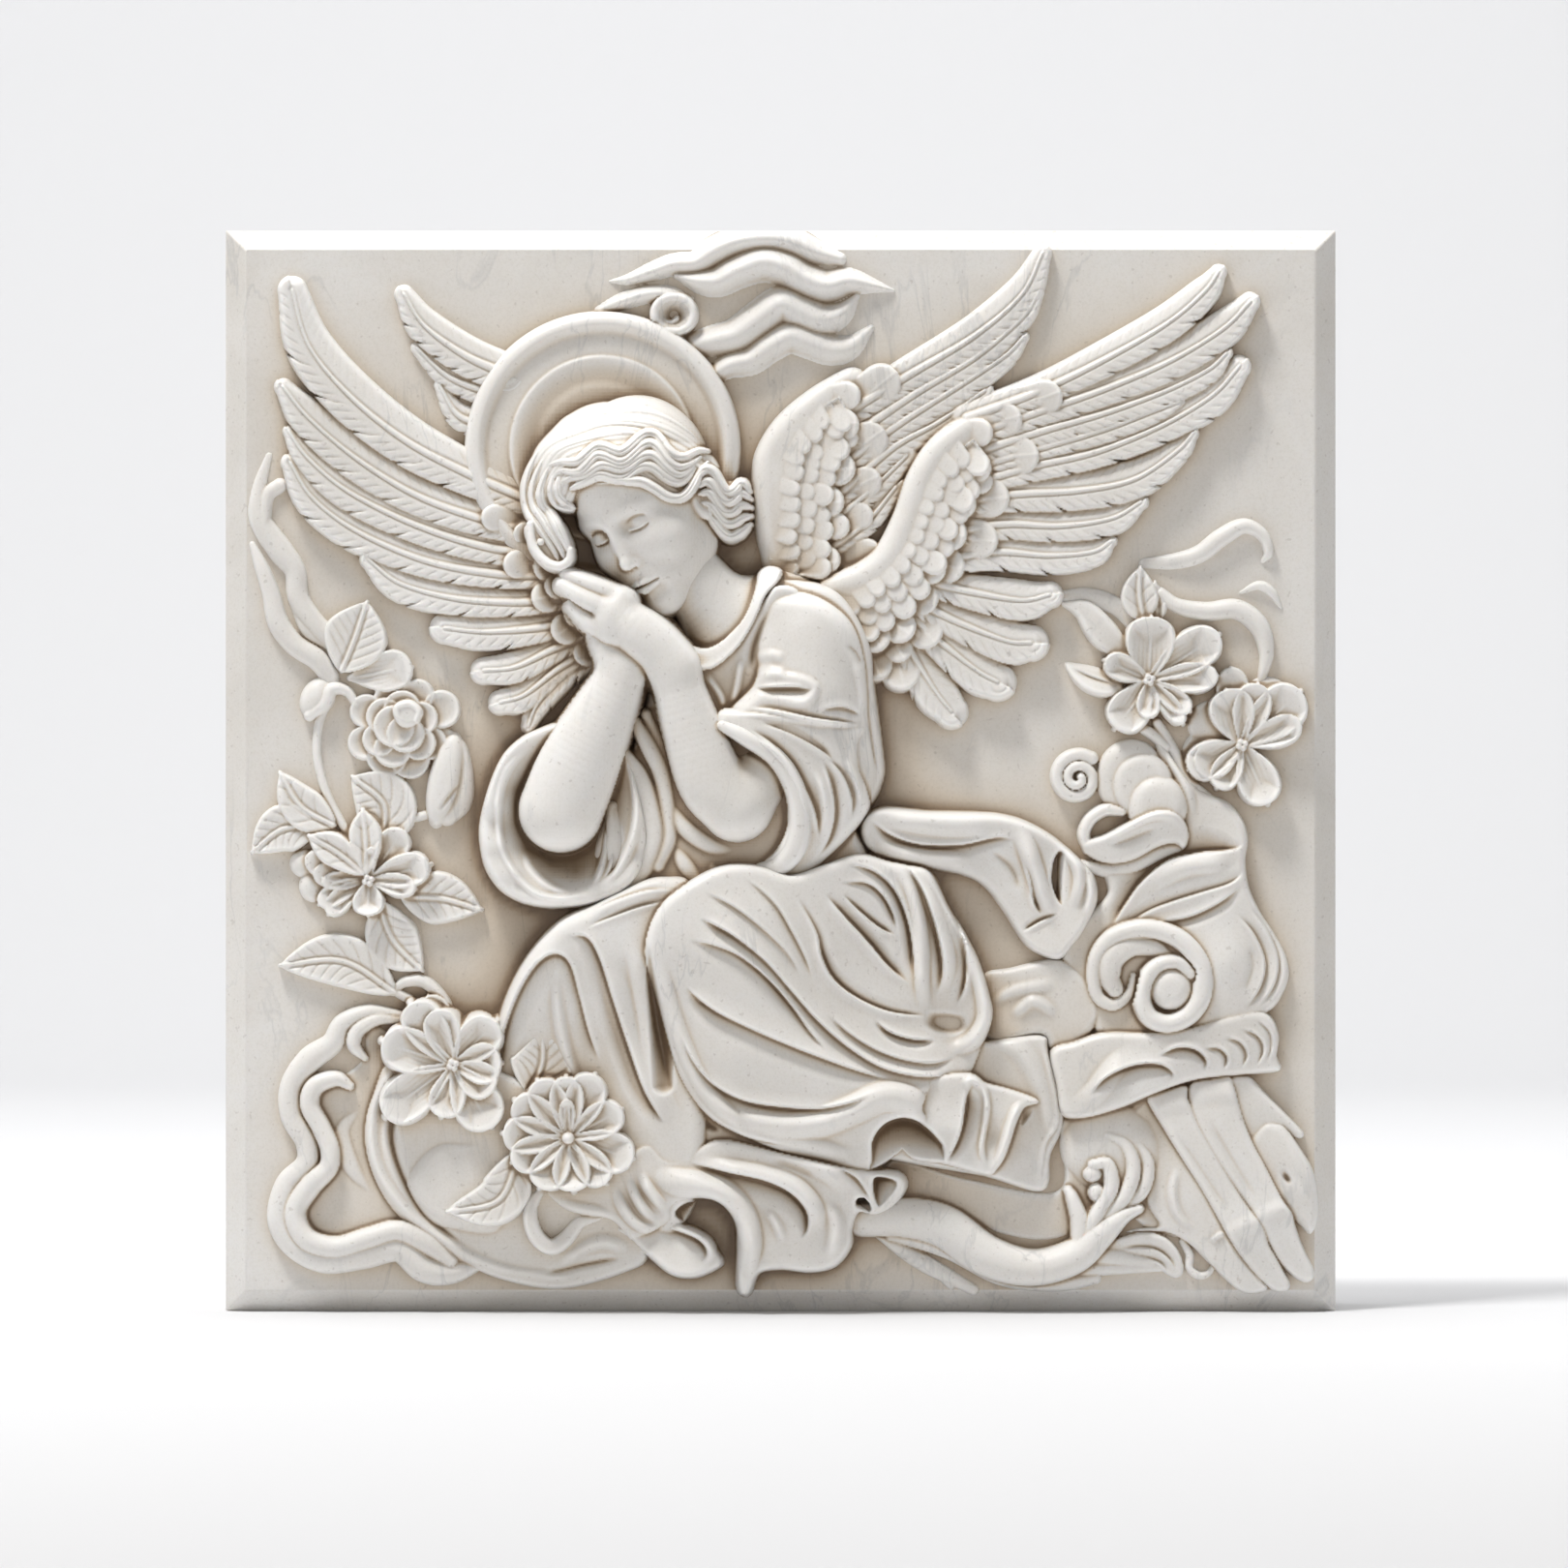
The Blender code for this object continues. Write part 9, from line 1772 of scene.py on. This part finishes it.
def slab():
    """The tablet: a block whose front is drawn in to leave the sloping border, with its edges eased."""
    mesh = bmesh.new()
    bmesh.ops.create_cube(mesh, size=1.0)
    for corner in mesh.verts:
        corner.co.x = HIGH.x if corner.co.x > 0 else LOW.x
        corner.co.y = HIGH.y if corner.co.y > 0 else FRONT + BORDER_DROP
        corner.co.z = HIGH.z if corner.co.z > 0 else LOW.z
    face = min(mesh.faces, key=lambda f: f.calc_center_median().y)
    bmesh.ops.inset_region(mesh, faces=[face], thickness=BORDER_WIDTH, use_even_offset=True)
    for corner in face.verts:
        corner.co.y = FRONT
    bmesh.ops.recalc_face_normals(mesh, faces=mesh.faces)
    data = bpy.data.meshes.new("slab")
    mesh.to_mesh(data)
    mesh.free()
    obj = linked("slab", data)
    eased = obj.modifiers.new("eased edges", "BEVEL")
    eased.width = EDGE_ROUND
    eased.segments = 2
    data.shade_smooth()
    data.set_sharp_from_angle(angle=np.radians(30))
    return obj


# Marble

VEIN_GREY = (0.40, 0.41, 0.42)
DOT_BROWN = (0.42, 0.38, 0.34)
# the white that the painted highlight on the crests goes towards
PAINTED_HIGHLIGHT_WHITE = (0.935, 0.925, 0.905)


def node(tree, kind, place, **values):
    """A shader node. Values whose names start with in_ set its inputs, the others its own settings."""
    made = tree.nodes.new("ShaderNode" + kind)
    made.location = place
    for key, value in values.items():
        if key.startswith("in_"):
            made.inputs[key[3:].replace("_", " ").title()].default_value = value
        else:
            setattr(made, key, value)
    return made


def noise(tree, where, place, **values):
    made = node(tree, "TexNoise", place, **values)
    tree.links.new(where, made.inputs["Vector"])
    return made.outputs["Fac"]


def ramp(tree, factor, place, stops):
    """Colours by a factor. stops are (position, colour), where a plain number is a grey."""
    made = node(tree, "ValToRGB", place)
    tree.links.new(factor, made.inputs["Fac"])
    while len(made.color_ramp.elements) < len(stops):
        made.color_ramp.elements.new(0.5)
    for element, (position, colour) in zip(made.color_ramp.elements, stops):
        element.position = position
        element.color = (*colour, 1.0) if isinstance(colour, tuple) else (colour, colour, colour, 1.0)
    return made.outputs["Color"]


def mixed(tree, place, blend, factor, first, second):
    made = node(tree, "Mix", place, data_type="RGBA", blend_type=blend)
    for socket, value in ((made.inputs[0], factor), (made.inputs[6], first), (made.inputs[7], second)):
        if isinstance(value, (float, int)):
            socket.default_value = value
        elif isinstance(value, tuple):
            socket.default_value = (*value, 1.0)
        else:
            tree.links.new(value, socket)
    return made.outputs[2]


def bump(tree, height, place, strength, distance):
    made = node(tree, "Bump", place, in_strength=strength, in_distance=distance)
    tree.links.new(height, made.inputs["Height"])
    return made


def marble():
    """White marble: a faint cloud of cream and grey, soft veins and fine dots, with a painted highlight that
    makes the crests paler and painted warm shade that makes the hollows darker.
    """
    material = bpy.data.materials.new("white_marble")
    material.use_nodes = True
    tree = material.node_tree
    link = tree.links.new
    shader = tree.nodes["Principled BSDF"]
    where = node(tree, "TexCoord", (-1600, 0)).outputs["Object"]

    # the stone's own clouds and grain
    clouds = noise(tree, where, (-1300, 300),
        in_scale=9.0, in_detail=5.0, in_roughness=0.6, in_distortion=0.6)
    tone = ramp(tree, clouds, (-1050, 300),
        [(0.30, (0.730, 0.703, 0.660)), (0.50, (0.785, 0.762, 0.728)), (0.72, (0.825, 0.815, 0.798))])
    grain = noise(tree, where, (-1100, -350), in_scale=650.0, in_detail=3.0, in_roughness=0.7)
    speck = ramp(tree, grain, (-880, -350), [(0.30, (0.90, 0.89, 0.87)), (0.55, 1)])
    colour = mixed(tree, (-220, 200), "MULTIPLY", 0.6, tone, speck)

    # slanting veins in some patches, and dots
    slant = node(tree, "Mapping", (-1500, -50), in_Rotation=(0.25, 0.5, 0.0), in_Scale=(26.0, 16.0, 6.5))
    link(where, slant.inputs["Vector"])
    veins = noise(tree, slant.outputs["Vector"], (-1300, -50),
        in_scale=1.0, in_detail=5.0, in_roughness=0.55, in_distortion=0.9)
    vein_line = ramp(tree, veins, (-1100, -50), [(0.482, 0), (0.50, 1), (0.518, 0)])
    patches = noise(tree, where, (-1300, -250), in_scale=11.0, in_detail=2.0)
    patch = ramp(tree, patches, (-1100, -250), [(0.48, 0), (0.64, 0.30)])
    vein_share = node(tree, "Math", (-820, -50), operation="MULTIPLY")
    link(vein_line, vein_share.inputs[0])
    link(patch, vein_share.inputs[1])
    dots = noise(tree, where, (-1100, -800), in_scale=330.0, in_detail=1.0)
    dot = ramp(tree, dots, (-820, -800), [(0.69, 0), (0.75, 0.30)])

    # painted highlight: paler on the crests; painted shade: warm and darker in the hollows, for the light and
    # shadow the carved forms catch
    painted_shade_and_highlight = node(tree, "Attribute", (-640, 520), attribute_name="painted_shade_and_highlight").outputs["Fac"]
    # painted highlight: the higher a place stands over what is round it, the nearer its colour goes to white
    painted_highlight = node(tree, "MapRange", (-420, 700), clamp=True)
    link(painted_shade_and_highlight, painted_highlight.inputs["Value"])
    painted_highlight.inputs["From Min"].default_value = 0.0
    painted_highlight.inputs["From Max"].default_value = -1.0
    painted_highlight.inputs["To Max"].default_value = 0.95
    colour = mixed(tree, (0, 200), "MIX", painted_highlight.outputs["Result"], colour, PAINTED_HIGHLIGHT_WHITE)
    colour = mixed(tree, (60, 0), "MIX", vein_share.outputs[0], colour, VEIN_GREY)
    colour = mixed(tree, (120, -200), "MIX", dot, colour, DOT_BROWN)
    # painted shade: the deeper a place lies under what is round it, the warmer and darker its colour
    shade = ramp(tree, painted_shade_and_highlight, (-420, 520),
        [(0.0, 1), (0.35, (0.84, 0.77, 0.68)), (0.75, (0.52, 0.415, 0.31)), (1.0, (0.31, 0.225, 0.155))])
    link(mixed(tree, (200, 200), "MULTIPLY", 1.0, colour, shade), shader.inputs["Base Color"])

    # the polish, and the chisel's soft marks under the grain
    link(ramp(tree, clouds, (-420, -250), [(0.35, 0.34), (0.65, 0.50)]), shader.inputs["Roughness"])
    tooling = noise(tree, where, (-640, -600), in_scale=120.0, in_detail=2.0)
    soft = bump(tree, tooling, (-400, -600), 0.12, 0.0010)
    fine = bump(tree, grain, (-180, -450), 0.10, 0.0004)
    link(soft.outputs["Normal"], fine.inputs["Normal"])
    link(fine.outputs["Normal"], shader.inputs["Normal"])

    shader.inputs["Subsurface Weight"].default_value = 0.10
    shader.inputs["Subsurface Radius"].default_value = (0.006, 0.0045, 0.003)
    shader.inputs["Subsurface Scale"].default_value = 0.5
    shader.inputs["Specular IOR Level"].default_value = 0.35
    return material


# The room

FLOOR_WIDTH = 14.0
FLOOR_FRONT = -7.0
FLOOR_DEPTH = 5.0
WALL_HEIGHT = 7.0
FLOOR_BEND = 1.5
FLOOR_COLOUR = (0.74, 0.745, 0.76, 1)


def backdrop():
    """A pale floor that sweeps up behind the stone."""
    turns = np.linspace(0, np.pi / 2, 17)[1:]
    flat_end = FLOOR_DEPTH - FLOOR_BEND
    profile = [(FLOOR_FRONT, 0.0), (flat_end, 0.0)]
    profile += [(flat_end + FLOOR_BEND * np.sin(a), FLOOR_BEND - FLOOR_BEND * np.cos(a)) for a in turns]
    profile += [(FLOOR_DEPTH, WALL_HEIGHT)]
    mesh = bmesh.new()
    left = [mesh.verts.new((-FLOOR_WIDTH / 2, y, z)) for y, z in profile]
    edges = [mesh.edges.new(pair) for pair in zip(left, left[1:])]
    made = bmesh.ops.extrude_edge_only(mesh, edges=edges)["geom"]
    for corner in (item for item in made if isinstance(item, bmesh.types.BMVert)):
        corner.co.x = FLOOR_WIDTH / 2
    bmesh.ops.recalc_face_normals(mesh, faces=mesh.faces)
    data = bpy.data.meshes.new("floor")
    mesh.to_mesh(data)
    mesh.free()
    data.shade_smooth()
    material = bpy.data.materials.new("floor")
    material.use_nodes = True
    shader = material.node_tree.nodes["Principled BSDF"]
    shader.inputs["Base Color"].default_value = FLOOR_COLOUR
    shader.inputs["Roughness"].default_value = 0.9
    shader.inputs["Specular IOR Level"].default_value = 0.1
    data.materials.append(material)
    return linked("floor", data)


def area_light(name, place, aim, size, power, colour=(1, 1, 1)):
    data = bpy.data.lights.new(name, "AREA")
    data.energy = power
    data.size = size
    data.color = colour
    lamp = linked(name, data)
    lamp.location = place
    lamp.rotation_euler = (Vector(aim) - Vector(place)).to_track_quat("-Z", "Y").to_euler()


def lights():
    """One lamp high on the left for the carving, a weak one low on the right, and a wash for the backdrop."""
    middle = (0.0, 0.0, 0.29)
    area_light("key", (-1.35, -1.5, 4.6), middle, size=1.0, power=170, colour=(1.0, 0.99, 0.975))
    area_light("fill", (0.4, -3.0, 0.1), middle, size=1.2, power=9, colour=(1.0, 0.96, 0.91))
    area_light("wash", (0.0, 1.0, 4.2), (0, 4.6, 0.6), size=4.0, power=175)
    world = bpy.data.worlds.new("studio")
    bpy.context.scene.world = world
    world.use_nodes = True
    background = world.node_tree.nodes["Background"]
    background.inputs["Color"].default_value = (1.0, 0.975, 0.94, 1)
    background.inputs["Strength"].default_value = 0.25
    bpy.context.scene.view_settings.view_transform = "Standard"


# The photograph's frame: pixels of the image, and where the stone's middle and foot lie in it
IMAGE_SIDE = 1620.0
PIXELS_PER_UNIT = 1.915
FOOT_PIXEL = 1355.5
MIDDLE_PIXEL = 806.5
LENS = 200.0
SENSOR = 36.0
FARTHEST = 50


def camera():
    """Straight in front of the stone, far enough back that its depth hardly changes its outline."""
    data = bpy.data.cameras.new("camera")
    data.lens = LENS
    data.sensor_width = SENSOR
    data.sensor_fit = "HORIZONTAL"
    data.clip_end = FARTHEST
    pixel = UNIT / PIXELS_PER_UNIT
    seen = IMAGE_SIDE / PIXELS_PER_UNIT * UNIT
    obj = linked("camera", data)
    obj.location.x = (IMAGE_SIDE / 2 - MIDDLE_PIXEL) * pixel
    obj.location.y = FRONT - seen * LENS / SENSOR
    obj.location.z = (FOOT_PIXEL - IMAGE_SIDE / 2) * pixel
    obj.rotation_euler = (np.pi / 2, 0, 0)
    bpy.context.scene.camera = obj


def main():
    coarse, floor_under = whole_carving()
    stone = marble()
    pieces = [slab()]
    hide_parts(NODE)
    for sheet in PIECES:
        pieces.append(carved_piece(*sheet, coarse, floor_under))
    for piece in pieces:
        piece.data.materials.append(stone)
        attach(piece, "root")
    backdrop()
    lights()
    camera()


main()
